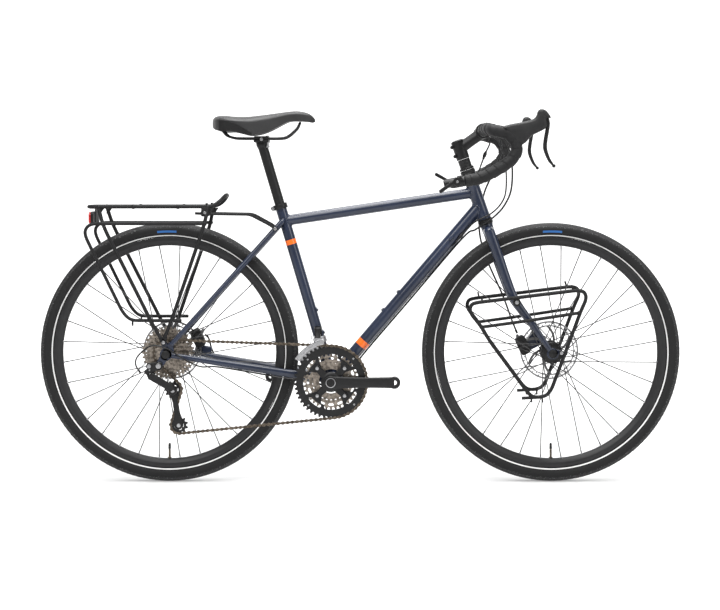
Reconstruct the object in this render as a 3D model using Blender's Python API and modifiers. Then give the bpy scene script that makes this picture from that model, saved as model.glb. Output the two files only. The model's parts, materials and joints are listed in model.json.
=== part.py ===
"""Touring road bicycle with drop bars, disc brakes and luggage racks.

Metres, +X forward, +Y to the rider's left, +Z up. The origin is the centre of
the bottom bracket. The wheels stand at the height of AXLE_Z.
"""
import math

import bmesh
import bpy
import numpy as np
from mathutils import Matrix, Vector

# Clearances
GAP = 0.0003
RUNNING = 0.0005

# Frame geometry
WHEELBASE = 1.036
CHAINSTAY_LENGTH = 0.447
BOTTOM_BRACKET_DROP = 0.075
SEAT_ANGLE = math.radians(73.5)
HEAD_ANGLE = math.radians(70.7)
SEAT_TUBE_LENGTH = 0.497
HEAD_TUBE_LENGTH = 0.127
FORK_REACH = 0.180337
HEAD_FOOT_HEIGHT = 0.436
TOP_TUBE_BELOW_SEAT_TOP = 0.0455
TOP_TUBE_UP_HEAD = 0.0763
DOWN_TUBE_ABOVE_FOOT = 0.037

# Frame tubes, as radii
SEAT_TUBE_RADIUS = 0.0150
TOP_TUBE_RADIUS = 0.0143
DOWN_TUBE_RADIUS = 0.0175
HEAD_TUBE_RADIUS = 0.0180
HEAD_TUBE_BORE = 0.0165
SHELL_RADIUS = 0.0205
SHELL_HALF_WIDTH = 0.034
SHELL_BORE = 0.0172
SEATSTAY_RADIUS = 0.0078
DROPOUT_THICKNESS = 0.006
DROPOUT_RADIUS = 0.0165
SEAT_TUBE_BORE_DEPTH = 0.200
TUBE_SIDES = 10

# Wheels
TYRE_OUTER = 0.351
TYRE_HALF_WIDTH = 0.020
RIM_OUTER = 0.3126
RIM_INNER = 0.289
RIM_HALF_WIDTH = 0.012
SPOKE_COUNT = 32
SPOKE_RADIUS = 0.0010
SPOKE_CROSSES = 3
REAR_HUB_HALF = 0.0675
FRONT_HUB_HALF = 0.050
ROTOR_RADIUS = 0.080
ROTOR_THICKNESS = 0.0018
ROTOR_INSET = 0.0150
FRONT_ROTOR_SHIFT = 0.0045
AXLE_RADIUS = 0.0049
WHEEL_STEPS = 28

# Drivetrain
PITCH = 0.0127
RING_TEETH = (48, 36, 26)
RING_PLANES = (-0.0550, -0.0480, -0.0410)
RING_THICKNESS = 0.0020
COGS = (11, 12, 14, 16, 18, 20, 23, 26, 30, 34)
COG_SPACING = 0.00395
FIRST_COG_PLANE = -0.0605
COG_THICKNESS = 0.0018
CHAIN_COG = 4
PULLEY_TEETH = 11
GUIDE_PULLEY_CENTRE = (-0.424, -0.022)
TENSION_PULLEY_CENTRE = (-0.4092, -0.1177)
CHAIN_HALF_HEIGHT = 0.00365
CHAIN_HALF_WIDTH = 0.0029
CRANK_LENGTH = 0.170
SPINDLE_RADIUS = 0.012
CRANK_INNER_PLANE = 0.0640
CRANK_THICKNESS = 0.0130

# Cockpit
STEERER_RADIUS = 0.0143
SPACER_STACK = 0.0304
STEM_CLAMP_HEIGHT = 0.040
BAR_HALF_WIDTH = 0.220
BAR_RADIUS = 0.0119
BAR_CLAMP_RADIUS = 0.0159
TAPE_RADIUS = 0.0165

# Seat
SEATPOST_RADIUS = 0.0136
RAIL_RADIUS = 0.0035
RAIL_HALF_SPACING = 0.022
RAIL_HEIGHT = 0.6545
RAILS_ABOVE_HEAD = 0.0025

# Racks
RACK_TUBE_RADIUS = 0.0050
LOWRIDER_PLANE = 0.078
RACK_ABOVE_TYRE = 0.044
RACK_DECK_HALF_WIDTH = 0.060
RACK_LOOP_HALF_WIDTH = 0.071

# Worked out from the above
AXLE_Z = BOTTOM_BRACKET_DROP
REAR_AXLE_X = -math.sqrt(CHAINSTAY_LENGTH ** 2 - AXLE_Z ** 2)
FRONT_AXLE_X = REAR_AXLE_X + WHEELBASE
SEAT_DIRECTION = Vector((-math.cos(SEAT_ANGLE), 0, math.sin(SEAT_ANGLE)))
HEAD_DIRECTION = Vector((-math.cos(HEAD_ANGLE), 0, math.sin(HEAD_ANGLE)))
HEAD_FOOT = Vector((FRONT_AXLE_X - FORK_REACH, 0, HEAD_FOOT_HEIGHT))
TOP_TUBE_REAR = SEAT_DIRECTION * SEAT_TUBE_LENGTH * (1 - TOP_TUBE_BELOW_SEAT_TOP
                                                     / (SEAT_TUBE_LENGTH * SEAT_DIRECTION.z))
RACK_DECK_HEIGHT = AXLE_Z + TYRE_OUTER + RACK_ABOVE_TYRE
SEATPOST_HEAD = (0.0031 - (RAIL_HEIGHT - RAILS_ABOVE_HEAD) / math.tan(SEAT_ANGLE),
                 RAIL_HEIGHT - RAILS_ABOVE_HEAD)
Y_AXIS = Vector((0, 1, 0))


def from_foot(*points):
    """Points whose X is given from the foot of the head tube."""
    return tuple((HEAD_FOOT.x + point[0], *point[1:]) for point in points)


BAR_CENTRE, LEVER_PIVOT, SHIFTER_PIVOT = from_foot((-0.0040, 0.675), (0.1470, 0.7060),
                                                   (-0.0840, 0.5365))

PARTS = "touring_road_bike"
WORKBENCH = "workbench"


def clear_scene():
    for obj in list(bpy.data.objects):
        bpy.data.objects.remove(obj)
    for name in (PARTS, WORKBENCH):
        collection = bpy.data.collections.new(name)
        bpy.context.scene.collection.children.link(collection)


def bench(name, data):
    """Link new data as an object on the workbench."""
    obj = bpy.data.objects.new(name, data)
    bpy.data.collections[WORKBENCH].objects.link(obj)
    return obj


def freeze(obj):
    """Replace an object by the welded mesh that its modifiers or curve make, in world space."""
    bpy.context.view_layer.update()
    graph = bpy.context.evaluated_depsgraph_get()
    mesh = bpy.data.meshes.new_from_object(obj.evaluated_get(graph))
    mesh.transform(obj.matrix_world)
    name = obj.name
    bpy.data.objects.remove(obj)
    bm = bmesh.new()
    bm.from_mesh(mesh)
    bmesh.ops.remove_doubles(bm, verts=bm.verts, dist=0.000002)
    bmesh.ops.recalc_face_normals(bm, faces=bm.faces)
    bm.to_mesh(mesh)
    bm.free()
    return bench(name, mesh)


def frame_matrix(origin, axis):
    """A matrix that takes local Z to the axis and the local origin to the given point."""
    turn = Vector(axis).to_track_quat("Z", "Y").to_matrix().to_4x4()
    return Matrix.Translation(Vector(origin)) @ turn


def rod(start, end, radius, end_radius=None, sides=12):
    """A straight round bar or cone between two points."""
    start = Vector(start)
    end = Vector(end)
    span = end - start
    bm = bmesh.new()
    place = frame_matrix((start + end) / 2, span)
    far = radius if end_radius is None else end_radius
    bmesh.ops.create_cone(bm, cap_ends=True, segments=sides, radius1=radius, radius2=far,
                          depth=span.length, matrix=place)
    mesh = bpy.data.meshes.new("rod")
    bm.to_mesh(mesh)
    bm.free()
    return bench("rod", mesh)


def cross_rod(x, z, y0, y1, radius, sides=12):
    """A round bar along Y."""
    return rod((x, min(y0, y1), z), (x, max(y0, y1), z), radius, sides=sides)


def block(centre, size, turn=0.0, bevel=0.0):
    """A box turned about Y, with edges rounded where a bevel is given."""
    bm = bmesh.new()
    place = Matrix.Translation(Vector(centre)) @ Matrix.Rotation(turn, 4, "Y")
    bmesh.ops.create_cube(bm, size=1.0, matrix=place @ Matrix.Diagonal((*size, 1)))
    mesh = bpy.data.meshes.new("block")
    bm.to_mesh(mesh)
    bm.free()
    obj = bench("block", mesh)
    if bevel:
        round_edges(obj, bevel)
        obj = freeze(obj)
    return obj


def round_edges(obj, width, segments=1, angle=40):
    mod = obj.modifiers.new("round", "BEVEL")
    mod.width = width
    mod.segments = segments
    mod.limit_method = "ANGLE"
    mod.angle_limit = math.radians(angle)
    return obj


def tube(points, radius, sides=8, radii=None, squash=1.0, closed=False):
    """A round bar along a run of points; squash narrows its section along Y."""
    data = bpy.data.curves.new("tube", "CURVE")
    data.dimensions = "3D"
    data.bevel_depth = radius
    data.bevel_resolution = (sides - 4) // 2
    data.use_fill_caps = not closed
    spline = data.splines.new("POLY")
    spline.points.add(len(points) - 1)
    for i, point in enumerate(points):
        x, y, z = point
        spline.points[i].co = (x, y / squash, z, 1)
        spline.points[i].radius = radii[i] / radius if radii is not None else 1.0
    spline.use_cyclic_u = closed
    obj = bench("tube", data)
    obj.scale = (1, squash, 1)
    return freeze(obj)


def turn_between(a, b, c):
    """The angle by which a run turns at its middle point."""
    return (Vector(b) - Vector(a)).angle(Vector(c) - Vector(b))


def smooth(points, bend=math.radians(24)):
    """The given points, with one more on the smooth curve (Catmull-Rom) in each bent span."""
    p = [np.array(point, dtype=float) for point in points]
    p = [2 * p[0] - p[1]] + p + [2 * p[-1] - p[-2]]
    out = []
    for i in range(len(p) - 3):
        a, b, c, d = p[i:i + 4]
        out.append(tuple(b))
        if turn_between(a, b, c) + turn_between(b, c, d) > bend:
            out.append(tuple((9 * (b + c) - a - d) / 16))
    out.append(tuple(p[-2]))
    return out


def turned(profile, origin, axis, steps=24, ring=False):
    """A turned shape: (radius, height) pairs down its outer side, spun about the axis."""
    mesh = bpy.data.meshes.new("turned")
    count = len(profile)
    edges = [(i, i + 1) for i in range(count - 1)]
    if ring:
        edges.append((count - 1, 0))
    mesh.from_pydata([(r, 0, h) for r, h in profile], edges, [])
    obj = bench("turned", mesh)
    mod = obj.modifiers.new("screw", "SCREW")
    mod.steps = steps
    mod.render_steps = steps
    mod.use_merge_vertices = True
    mod.merge_threshold = 0.00001
    obj.matrix_world = frame_matrix(origin, axis)
    return freeze(obj)


def around(radius, sides):
    """The corner radius of a bore with so many sides whose flats stand at the given radius."""
    return radius / math.cos(math.pi / sides)


def sleeve(radius, sides):
    """The corner radius of a bore whose flats clear those of a bar with as many sides."""
    return radius + GAP / math.cos(math.pi / sides)


def cross_directions(points):
    """Two directions across a run at each of its points, carried along without twist."""
    run = [Vector(point) for point in points]
    found = []
    across = None
    for i in range(len(run)):
        ahead = (run[min(i + 1, len(run) - 1)] - run[max(i - 1, 0)]).normalized()
        if across is None:
            across = ahead.orthogonal()
        across = (across - ahead * across.dot(ahead)).normalized()
        found.append((across, ahead.cross(across)))
    return found


def swept(points, outer, inner=None, sides=8, first=0, last=None):
    """A bar, or a sleeve where inner radii are given, along part of a run of points.

    Bars and sleeves on one run share the same facets, so one fits round the other.
    """
    across = cross_directions(points)
    kept = range(first, len(points) if last is None else last)
    bm = bmesh.new()
    skins = []
    for radii in (outer, inner):
        if radii is None:
            continue
        rings = []
        for i in kept:
            a, b = across[i]
            spots = ring_points((0, 0), radii[i], sides)
            rings.append([bm.verts.new(Vector(points[i]) + a * u + b * v) for u, v in spots])
        skins.append(rings)
        for near, far in zip(rings, rings[1:]):
            for k in range(sides):
                n = (k + 1) % sides
                bm.faces.new((near[k], near[n], far[n]))
                bm.faces.new((near[k], far[n], far[k]))
    for end in (0, -1):
        if inner is None:
            bm.faces.new(skins[0][end])
            continue
        for k in range(sides):
            n = (k + 1) % sides
            bm.faces.new((skins[0][end][k], skins[0][end][n], skins[1][end][n], skins[1][end][k]))
    mesh = bpy.data.meshes.new("swept")
    bm.to_mesh(mesh)
    bm.free()
    return freeze(bench("swept", mesh))


def plate(outline, y, thickness, holes=()):
    """A flat plate in the XZ plane, centred on y, from an outline and its holes."""
    data = bpy.data.curves.new("plate", "CURVE")
    data.dimensions = "2D"
    data.fill_mode = "BOTH"
    data.extrude = thickness / 2
    for loop in (outline, *holes):
        spline = data.splines.new("POLY")
        spline.points.add(len(loop) - 1)
        for point, (x, z) in zip(spline.points, loop):
            point.co = (x, z, 0, 1)
        spline.use_cyclic_u = True
    obj = bench("plate", data)
    obj.matrix_world = Matrix.Translation((0, y, 0)) @ Matrix.Rotation(math.pi / 2, 4, "X")
    return freeze(obj)


def ring_points(centre, radius, count, start=0.0):
    return [(centre[0] + radius * math.cos(start + 2 * math.pi * i / count),
             centre[1] + radius * math.sin(start + 2 * math.pi * i / count))
            for i in range(count)]


def arc_points(centre, radius, start, end, count):
    """Points of an arc in the XZ plane, angles in degrees, both ends included."""
    angles = np.radians(np.linspace(start, end, count))
    return [(centre[0] + radius * math.cos(a), centre[1] + radius * math.sin(a)) for a in angles]


def capsule(a, b, radius_a, radius_b, count=6):
    """The outline round two circles of the XZ plane."""
    heading = math.degrees(math.atan2(b[1] - a[1], b[0] - a[0]))
    return (arc_points(a, radius_a, heading + 90, heading + 270, count)
            + arc_points(b, radius_b, heading - 90, heading + 90, count))


def outline_round(discs, count):
    """The tight outline (convex hull) round several circles of the XZ plane."""
    spots = sorted(spot for centre, radius in discs for spot in ring_points(centre, radius, count))
    chains = []
    for run in (spots, spots[::-1]):
        chain = []
        for x, z in run:
            while len(chain) > 1:
                (x1, z1), (x2, z2) = chain[-2:]
                if (x2 - x1) * (z - z1) - (z2 - z1) * (x - x1) > 0.000000001:
                    break
                chain.pop()
            chain.append((x, z))
        chains.append(chain[:-1])
    return chains[0] + chains[1]


def combine(target, others, operation):
    for other in others:
        mod = target.modifiers.new(operation.lower(), "BOOLEAN")
        mod.operation = operation
        mod.solver = "EXACT"
        mod.object = other
    result = freeze(target)
    for other in others:
        bpy.data.objects.remove(other)
    return result


def fuse(target, *others):
    return combine(target, others, "UNION")


def cut(target, *others):
    return combine(target, others, "DIFFERENCE")


MATERIALS = {
    "navy_paint": ((0.028, 0.034, 0.052), 0.32, 0.25),
    "black_metal": ((0.018, 0.018, 0.019), 0.42, 0.60),
    "black_plastic": ((0.020, 0.020, 0.021), 0.55, 0.0),
    "silver_metal": ((0.62, 0.61, 0.59), 0.28, 1.0),
    "chain_metal": ((0.42, 0.37, 0.31), 0.35, 1.0),
    "black_rubber": ((0.030, 0.030, 0.031), 0.80, 0.0),
    "tape": ((0.035, 0.035, 0.036), 0.70, 0.0),
    "saddle_cover": ((0.030, 0.030, 0.031), 0.60, 0.0),
    "red_lens": ((0.35, 0.006, 0.010), 0.15, 0.0),
    "cable_black": ((0.015, 0.015, 0.015), 0.45, 0.0),
}


def material(name):
    found = bpy.data.materials.get(name)
    if found:
        return found
    colour, roughness, metallic = MATERIALS[name]
    made = bpy.data.materials.new(name)
    made.use_nodes = True
    shader = made.node_tree.nodes["Principled BSDF"]
    shader.inputs["Base Color"].default_value = (*colour, 1)
    shader.inputs["Roughness"].default_value = roughness
    shader.inputs["Metallic"].default_value = metallic
    made.diffuse_color = (*colour, 1)
    return made


def part(name, obj, finish, pivot=None):
    """Name a finished piece, give it its material and put its origin on its joint's axis."""
    mesh = obj.data
    mesh.materials.clear()
    mesh.materials.append(material(finish))
    mesh.shade_smooth()
    mesh.set_sharp_from_angle(angle=math.radians(35))
    bpy.data.collections[WORKBENCH].objects.unlink(obj)
    bpy.data.collections[PARTS].objects.link(obj)
    obj.name = name
    mesh.name = name
    if pivot is not None:
        mesh.transform(Matrix.Translation(-Vector(pivot)))
        obj.location = pivot
    return obj


def along_head(distance, y=0.0):
    """A point on the steering axis, measured up from the foot of the head tube."""
    point = HEAD_FOOT + HEAD_DIRECTION * distance
    return Vector((point.x, y, point.z))


def along_seat(distance):
    return SEAT_DIRECTION * distance


# Frame

CHAINSTAY_PATH = ((-0.012, 0.021), (-0.060, 0.0295), (-0.150, 0.0425), (-0.425, 0.0703))
CHAINSTAY_RADII = (0.0110, 0.0110, 0.0105, 0.0070)
SEATSTAY_TOP = (TOP_TUBE_REAR.x - 0.0053, 0.018, TOP_TUBE_REAR.z - 0.0010)
SEATSTAY_FOOT = (-0.4275, 0.0703, 0.100)
HANGER_BOLT = (-0.4593, 0.0457)
HANGER_RADIUS = 0.0095
HANGER_BORE = 0.0045
RACK_EYELET = (-0.4460, 0.1080)
EYELET_RADIUS = 0.0055
BOSS_RADIUS = 0.0055
DOWN_TUBE_BOSSES = (0.235, 0.299)
SEAT_TUBE_BOSSES = (0.130, 0.194)
CABLE_STOP_AT = 0.503
CABLE_STOP_RADIUS = 0.0052
CABLE_STOP_BORE = 0.0028
STAY_BRAZE_ON = 0.060
BRAZE_ON_REACH = SEATSTAY_RADIUS + 0.006
CALIPER_TURN = math.radians(-25.0)
REAR_CALIPER = (-0.3700, 0.1080)
FRONT_CALIPER = from_foot((0.1080, 0.0900))[0]


def chainstay_height(x):
    return 0.002 + (AXLE_Z - 0.002) * (x / REAR_AXLE_X)


def seatstay_point(share, side):
    top = Vector(SEATSTAY_TOP)
    foot = Vector(SEATSTAY_FOOT)
    point = top.lerp(foot, share)
    return Vector((point.x, side * point.y, point.z))


def down_tube_ends():
    head = along_head(DOWN_TUBE_ABOVE_FOOT)
    return Vector((0, 0, 0)), head


def cable_stop(side):
    """The middle of the cable stop on one side of the down tube."""
    low, high = down_tube_ends()
    down = (high - low).normalized()
    up = Vector((-down.z, 0, down.x))
    return down * CABLE_STOP_AT + Vector((0, side * (DOWN_TUBE_RADIUS + 0.0030), 0)) + up * 0.004


def rear_mount():
    """Centre, size and turn of the brake's mount on the left chainstay."""
    plane = REAR_HUB_HALF - ROTOR_INSET + 0.009
    return ((REAR_CALIPER[0] + 0.014, plane, REAR_CALIPER[1] - 0.032), (0.046, 0.012, 0.020),
            math.radians(10))


def frame_side(side):
    """Chainstay, seatstay and dropout of one side; side is +1 on the left, -1 on the right."""
    stay = [(x, side * y, chainstay_height(x)) for x, y in CHAINSTAY_PATH]
    pieces = [tube(stay, CHAINSTAY_RADII[0], 8, CHAINSTAY_RADII, squash=0.85)]
    pieces.append(rod(seatstay_point(0, side), seatstay_point(1, side), SEATSTAY_RADIUS,
                      SEATSTAY_RADIUS * 0.85, sides=8))
    drop_plane = side * (REAR_HUB_HALF + DROPOUT_THICKNESS / 2)
    near = drop_plane - DROPOUT_THICKNESS / 2
    far = drop_plane + DROPOUT_THICKNESS / 2
    pieces.append(cross_rod(REAR_AXLE_X, AXLE_Z, near, far, DROPOUT_RADIUS, sides=10))
    foot = SEATSTAY_FOOT
    web = [(foot[0] + 0.006, foot[2] + 0.012), (foot[0] - 0.006, foot[2] + 0.006),
           (REAR_AXLE_X - 0.012, AXLE_Z), (REAR_AXLE_X, AXLE_Z - 0.012),
           (-0.423, 0.0665), (-0.419, 0.0790)]
    pieces.append(plate(web, drop_plane, DROPOUT_THICKNESS - 0.0006))
    eyelet = capsule((REAR_AXLE_X, AXLE_Z), RACK_EYELET, 0.008, EYELET_RADIUS, 3)
    pieces.append(plate(eyelet, drop_plane, DROPOUT_THICKNESS - 0.0010))
    return pieces, drop_plane


def make_frame():
    down_low, down_high = down_tube_ends()
    shell = cross_rod(0, 0, -SHELL_HALF_WIDTH, SHELL_HALF_WIDTH, SHELL_RADIUS, sides=12)
    pieces = [
        rod((0, 0, 0), along_seat(SEAT_TUBE_LENGTH), SEAT_TUBE_RADIUS, sides=TUBE_SIDES),
        rod(TOP_TUBE_REAR, along_head(TOP_TUBE_UP_HEAD), TOP_TUBE_RADIUS, sides=8),
        rod(down_low, down_high, DOWN_TUBE_RADIUS, sides=TUBE_SIDES),
        rod(along_head(0), along_head(HEAD_TUBE_LENGTH), HEAD_TUBE_RADIUS, sides=12),
    ]
    for side in (1, -1):
        made, drop_plane = frame_side(side)
        pieces += made
    hanger = capsule((REAR_AXLE_X, AXLE_Z), HANGER_BOLT, 0.011, HANGER_RADIUS, 5)
    pieces.append(plate(hanger, drop_plane, DROPOUT_THICKNESS - 0.0014))
    bridge = seatstay_point(0.20, 1)
    pieces.append(cross_rod(bridge.x, bridge.z, -bridge.y, bridge.y, 0.0055, sides=6))
    pieces.append(cross_rod(-0.066, chainstay_height(-0.066), -0.029, 0.029, 0.0055, sides=6))
    down = (down_high - down_low).normalized()
    up = Vector((-down.z, 0, down.x))
    for distance in DOWN_TUBE_BOSSES:
        base = down * distance
        pieces.append(rod(base, base + up * (DOWN_TUBE_RADIUS + 0.0035), BOSS_RADIUS, sides=6))
    for distance in SEAT_TUBE_BOSSES:
        base = along_seat(distance)
        ahead = Vector((SEAT_DIRECTION.z, 0, -SEAT_DIRECTION.x))
        pieces.append(rod(base, base + ahead * (SEAT_TUBE_RADIUS + 0.0035), BOSS_RADIUS, sides=6))
    cutters = [
        cross_rod(0, 0, -0.05, 0.05, SHELL_BORE, sides=12),
        rod(along_seat(SEAT_TUBE_LENGTH - SEAT_TUBE_BORE_DEPTH), along_seat(SEAT_TUBE_LENGTH + 0.02),
            sleeve(SEATPOST_RADIUS, TUBE_SIDES), sides=TUBE_SIDES),
        rod(along_head(-0.02), along_head(HEAD_TUBE_LENGTH + 0.02), HEAD_TUBE_BORE, sides=12),
        cross_rod(REAR_AXLE_X, AXLE_Z, -0.09, 0.09, AXLE_RADIUS + 2 * GAP, sides=10),
        cross_rod(*HANGER_BOLT, -0.09, -0.05, HANGER_BORE, sides=8),
    ]
    for side in (1, -1):
        stop = cable_stop(side)
        pieces.append(rod(stop - down * 0.006, stop + down * 0.006, CABLE_STOP_RADIUS, sides=6))
        cutters.append(rod(stop - down * 0.010, stop + down * 0.010, CABLE_STOP_BORE, sides=6))
        eyelet = seatstay_point(STAY_BRAZE_ON, side)
        out = Vector((0, side, 0))
        pieces.append(rod(eyelet, eyelet + out * BRAZE_ON_REACH, 0.0045, sides=6))
    pieces.append(block(*rear_mount()))
    body = fuse(shell, *pieces)
    body = cut(body, *cutters)
    return part("frame", body, "navy_paint")


# Pieces on the frame

SEAT_CLAMP_RADIUS = 0.0190
SEAT_CLAMP_HEIGHT = 0.014
CUP_RADIUS = 0.0205
UPPER_CUP_HEIGHT = 0.0140
LOWER_CUP_HEIGHT = 0.0155
CUP_SKIRT = 0.010
BB_CUP_RADIUS = 0.0225
BB_CUP_WIDTH = 0.0085
SKEWER_HEAD_RADIUS = 0.0115
SKEWER_HEAD_WIDTH = 0.0060


def make_seat_clamp():
    low = along_seat(SEAT_TUBE_LENGTH - SEAT_CLAMP_HEIGHT)
    high = along_seat(SEAT_TUBE_LENGTH - 0.0005)
    ring = rod(low, high, SEAT_CLAMP_RADIUS, sides=TUBE_SIDES)
    middle = (low + high) / 2
    ahead = Vector((SEAT_DIRECTION.z, 0, -SEAT_DIRECTION.x))
    turn = math.pi / 2 - SEAT_ANGLE
    for way in (-1, 1):
        ear = middle + ahead * way * (SEAT_CLAMP_RADIUS + 0.002)
        ring = fuse(ring, block(ear, (0.011, 0.017, 0.011), -turn),
                    cross_rod(ear.x + way * 0.002, ear.z, -0.0115, 0.0115, 0.0045, sides=6))
    bore = rod(low - SEAT_DIRECTION * 0.01, high + SEAT_DIRECTION * 0.01,
               sleeve(SEAT_TUBE_RADIUS, TUBE_SIDES), sides=TUBE_SIDES)
    return part("seat_clamp", cut(ring, bore), "black_metal")


def make_headset_cup(name, face, direction, height):
    """A cup outside one end of the head tube, with its skirt pressed inside the end."""
    bore = around(STEERER_RADIUS + RUNNING, 10)
    skirt = HEAD_TUBE_BORE * math.cos(math.pi / 12) - GAP
    profile = [(bore, height), (CUP_RADIUS, height), (CUP_RADIUS, height * 0.35),
               (skirt, 0), (skirt, -CUP_SKIRT), (bore, -CUP_SKIRT)]
    cup = turned(profile, face + direction * GAP, direction, 10, ring=True)
    return part(name, cup, "black_metal")


def make_bottom_bracket():
    """Sleeve through the shell with a bearing cup outside each end."""
    bore = around(SPINDLE_RADIUS + GAP, 12)
    inner = SHELL_BORE * math.cos(math.pi / 12) - GAP
    face = SHELL_HALF_WIDTH + GAP
    end = face + BB_CUP_WIDTH
    profile = [(bore, end), (BB_CUP_RADIUS, end), (BB_CUP_RADIUS, face), (inner, face),
               (inner, -face), (BB_CUP_RADIUS, -face), (BB_CUP_RADIUS, -end), (bore, -end)]
    return part("bottom_bracket", turned(profile, (0, 0, 0), Y_AXIS, 12, ring=True), "black_metal")


def make_axle(name, x, half_width):
    """A through axle with a round head against the outside of each dropout."""
    face = half_width + DROPOUT_THICKNESS + GAP
    end = face + SKEWER_HEAD_WIDTH
    profile = [(0, end), (SKEWER_HEAD_RADIUS * 0.8, end), (SKEWER_HEAD_RADIUS, end - 0.0015),
               (SKEWER_HEAD_RADIUS, face), (AXLE_RADIUS, face), (AXLE_RADIUS, -face),
               (SKEWER_HEAD_RADIUS, -face), (SKEWER_HEAD_RADIUS, -end), (0, -end)]
    return part(name, turned(profile, (x, 0, AXLE_Z), Y_AXIS, 10), "black_metal")


# Wheels

HUB_BARREL = 0.0125
FLANGE_RADIUS = 0.0290
FLANGE_THICKNESS = 0.0050
REAR_FLANGES = (0.0345, -0.0205)
FRONT_FLANGES = (0.0230, -0.0330)
ROTOR_SEAT_RADIUS = 0.0215
FREEHUB_CORE = 0.0100
VALVE_LENGTH = 0.040
ROTOR_ARM_COUNT = 6
ROTOR_SIDES = 24
ROTOR_BORE = 0.0165
ROTOR_TRACK = 0.0145


def make_tyre(name, x):
    """A carcass in the shape of an arch standing on the rim's edges."""
    middle = TYRE_OUTER - TYRE_HALF_WIDTH
    foot = RIM_OUTER + GAP
    arch = []
    for angle in np.linspace(45, -45, 4):
        arch.append((TYRE_HALF_WIDTH * math.sin(math.radians(angle * 2)),
                     middle + TYRE_HALF_WIDTH * math.cos(math.radians(angle * 2))))
    profile = [(foot, 0.0095), (foot + 0.009, 0.0172)]
    profile += [(r, h) for h, r in arch]
    profile += [(foot + 0.009, -0.0172), (foot, -0.0095)]
    return part(name, turned(profile, (x, 0, AXLE_Z), Y_AXIS, WHEEL_STEPS, ring=True),
                "black_rubber", (x, 0, AXLE_Z))


def make_rim(name, x):
    half = RIM_HALF_WIDTH
    profile = [(RIM_OUTER, half), (RIM_OUTER, -half), (RIM_OUTER - 0.012, -half),
               (RIM_INNER, -0.0045), (RIM_INNER, 0.0045), (RIM_OUTER - 0.012, half)]
    rim = turned(profile, (x, 0, AXLE_Z), Y_AXIS, WHEEL_STEPS, ring=True)
    top = AXLE_Z - RIM_INNER
    valve = rod((x, 0, top - 0.004), (x, 0, top + VALVE_LENGTH), 0.0028, sides=8)
    return part(name, fuse(rim, valve), "black_metal", (x, 0, AXLE_Z))


def spoke_ends(flange, index, head_side):
    """Start at the flange and end at the rim of one spoke, in the wheel's own XZ plane."""
    per_flange = SPOKE_COUNT // 2
    hole = 2 * math.pi * index / per_flange
    lean = 2 * math.pi * SPOKE_CROSSES * 2 / SPOKE_COUNT
    way = 1 if index % 2 else -1
    at_rim = hole + way * lean + math.pi / SPOKE_COUNT * (1 if flange > 0 else -1)
    radius = FLANGE_RADIUS - 0.004
    start = (radius * math.cos(hole), flange + head_side * way, radius * math.sin(hole))
    reach = RIM_INNER * math.cos(math.pi / WHEEL_STEPS) - 2 * GAP
    side = 0.0016 if flange > 0 else -0.0016
    end = (reach * math.cos(at_rim), side, reach * math.sin(at_rim))
    return Vector(start), Vector(end)


def make_hub(name, x, half_width, flanges, rear):
    """Hub shell turned along the axle, with its spokes laced out to the rim."""
    end = half_width - GAP
    bore = around(AXLE_RADIUS + RUNNING, 10)
    half = FLANGE_THICKNESS / 2
    left, right = flanges
    rotor_face = half_width - ROTOR_INSET - ROTOR_THICKNESS / 2 - GAP
    if not rear:
        rotor_face += FRONT_ROTOR_SHIFT
    profile = [(bore, end), (0.0095, end), (0.0095, rotor_face + 0.006),
               (0.0155, rotor_face + 0.006), (0.0155, rotor_face), (ROTOR_SEAT_RADIUS, rotor_face),
               (ROTOR_SEAT_RADIUS, rotor_face - 0.005), (0.014, rotor_face - 0.006)]
    for flange in (left, right):
        profile += [(HUB_BARREL, flange + half + 0.003), (FLANGE_RADIUS, flange + half),
                    (FLANGE_RADIUS, flange - half)]
        if flange == left or not rear:
            profile.append((HUB_BARREL, flange - half - 0.003))
    if rear:
        profile += [(FREEHUB_CORE, right - half), (FREEHUB_CORE, -end), (bore, -end)]
    else:
        profile += [(0.0095, -end + 0.006), (0.0095, -end), (bore, -end)]
    hub = turned(profile, (0, 0, 0), Y_AXIS, 10, ring=True)
    spokes = []
    for flange in flanges:
        for index in range(SPOKE_COUNT // 2):
            start, stop = spoke_ends(flange, index, 0.0014)
            spokes.append(rod(start, stop, SPOKE_RADIUS, sides=3))
    hub = fuse(hub, *spokes)
    hub.data.transform(Matrix.Translation((x, 0, AXLE_Z)))
    return part(name, hub, "black_metal", (x, 0, AXLE_Z))


def make_rotor(name, x, plane):
    """A brake disc: an outer track carried by slanted arms on a centre ring."""
    outline = ring_points((0, 0), ROTOR_RADIUS, ROTOR_SIDES)
    holes = [ring_points((0, 0), ROTOR_BORE, ROTOR_SIDES // 2)]
    inner = ROTOR_RADIUS - ROTOR_TRACK
    step = 360 / ROTOR_ARM_COUNT
    for i in range(ROTOR_ARM_COUNT):
        start = i * step
        holes.append(arc_points((0, 0), inner, start + 5, start + step - 5, 3)
                     + arc_points((0, 0), 0.028, start + step - 26, start + 10, 2))
    disc = plate(outline, plane, ROTOR_THICKNESS, holes)
    disc.data.transform(Matrix.Translation((x, 0, AXLE_Z)))
    return part(name, disc, "silver_metal", (x, 0, AXLE_Z))


def make_wheels():
    for end, x, half, flanges, rear in (("rear", REAR_AXLE_X, REAR_HUB_HALF, REAR_FLANGES, True),
                                        ("front", FRONT_AXLE_X, FRONT_HUB_HALF, FRONT_FLANGES, False)):
        make_axle(end + "_axle", x, half)
        make_tyre(end + "_tyre", x)
        make_rim(end + "_rim", x)
        make_hub(end + "_hub", x, half, flanges, rear)
        plane = half - ROTOR_INSET + (0 if rear else FRONT_ROTOR_SHIFT)
        make_rotor(end + "_rotor", x, plane)


# Drivetrain

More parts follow.
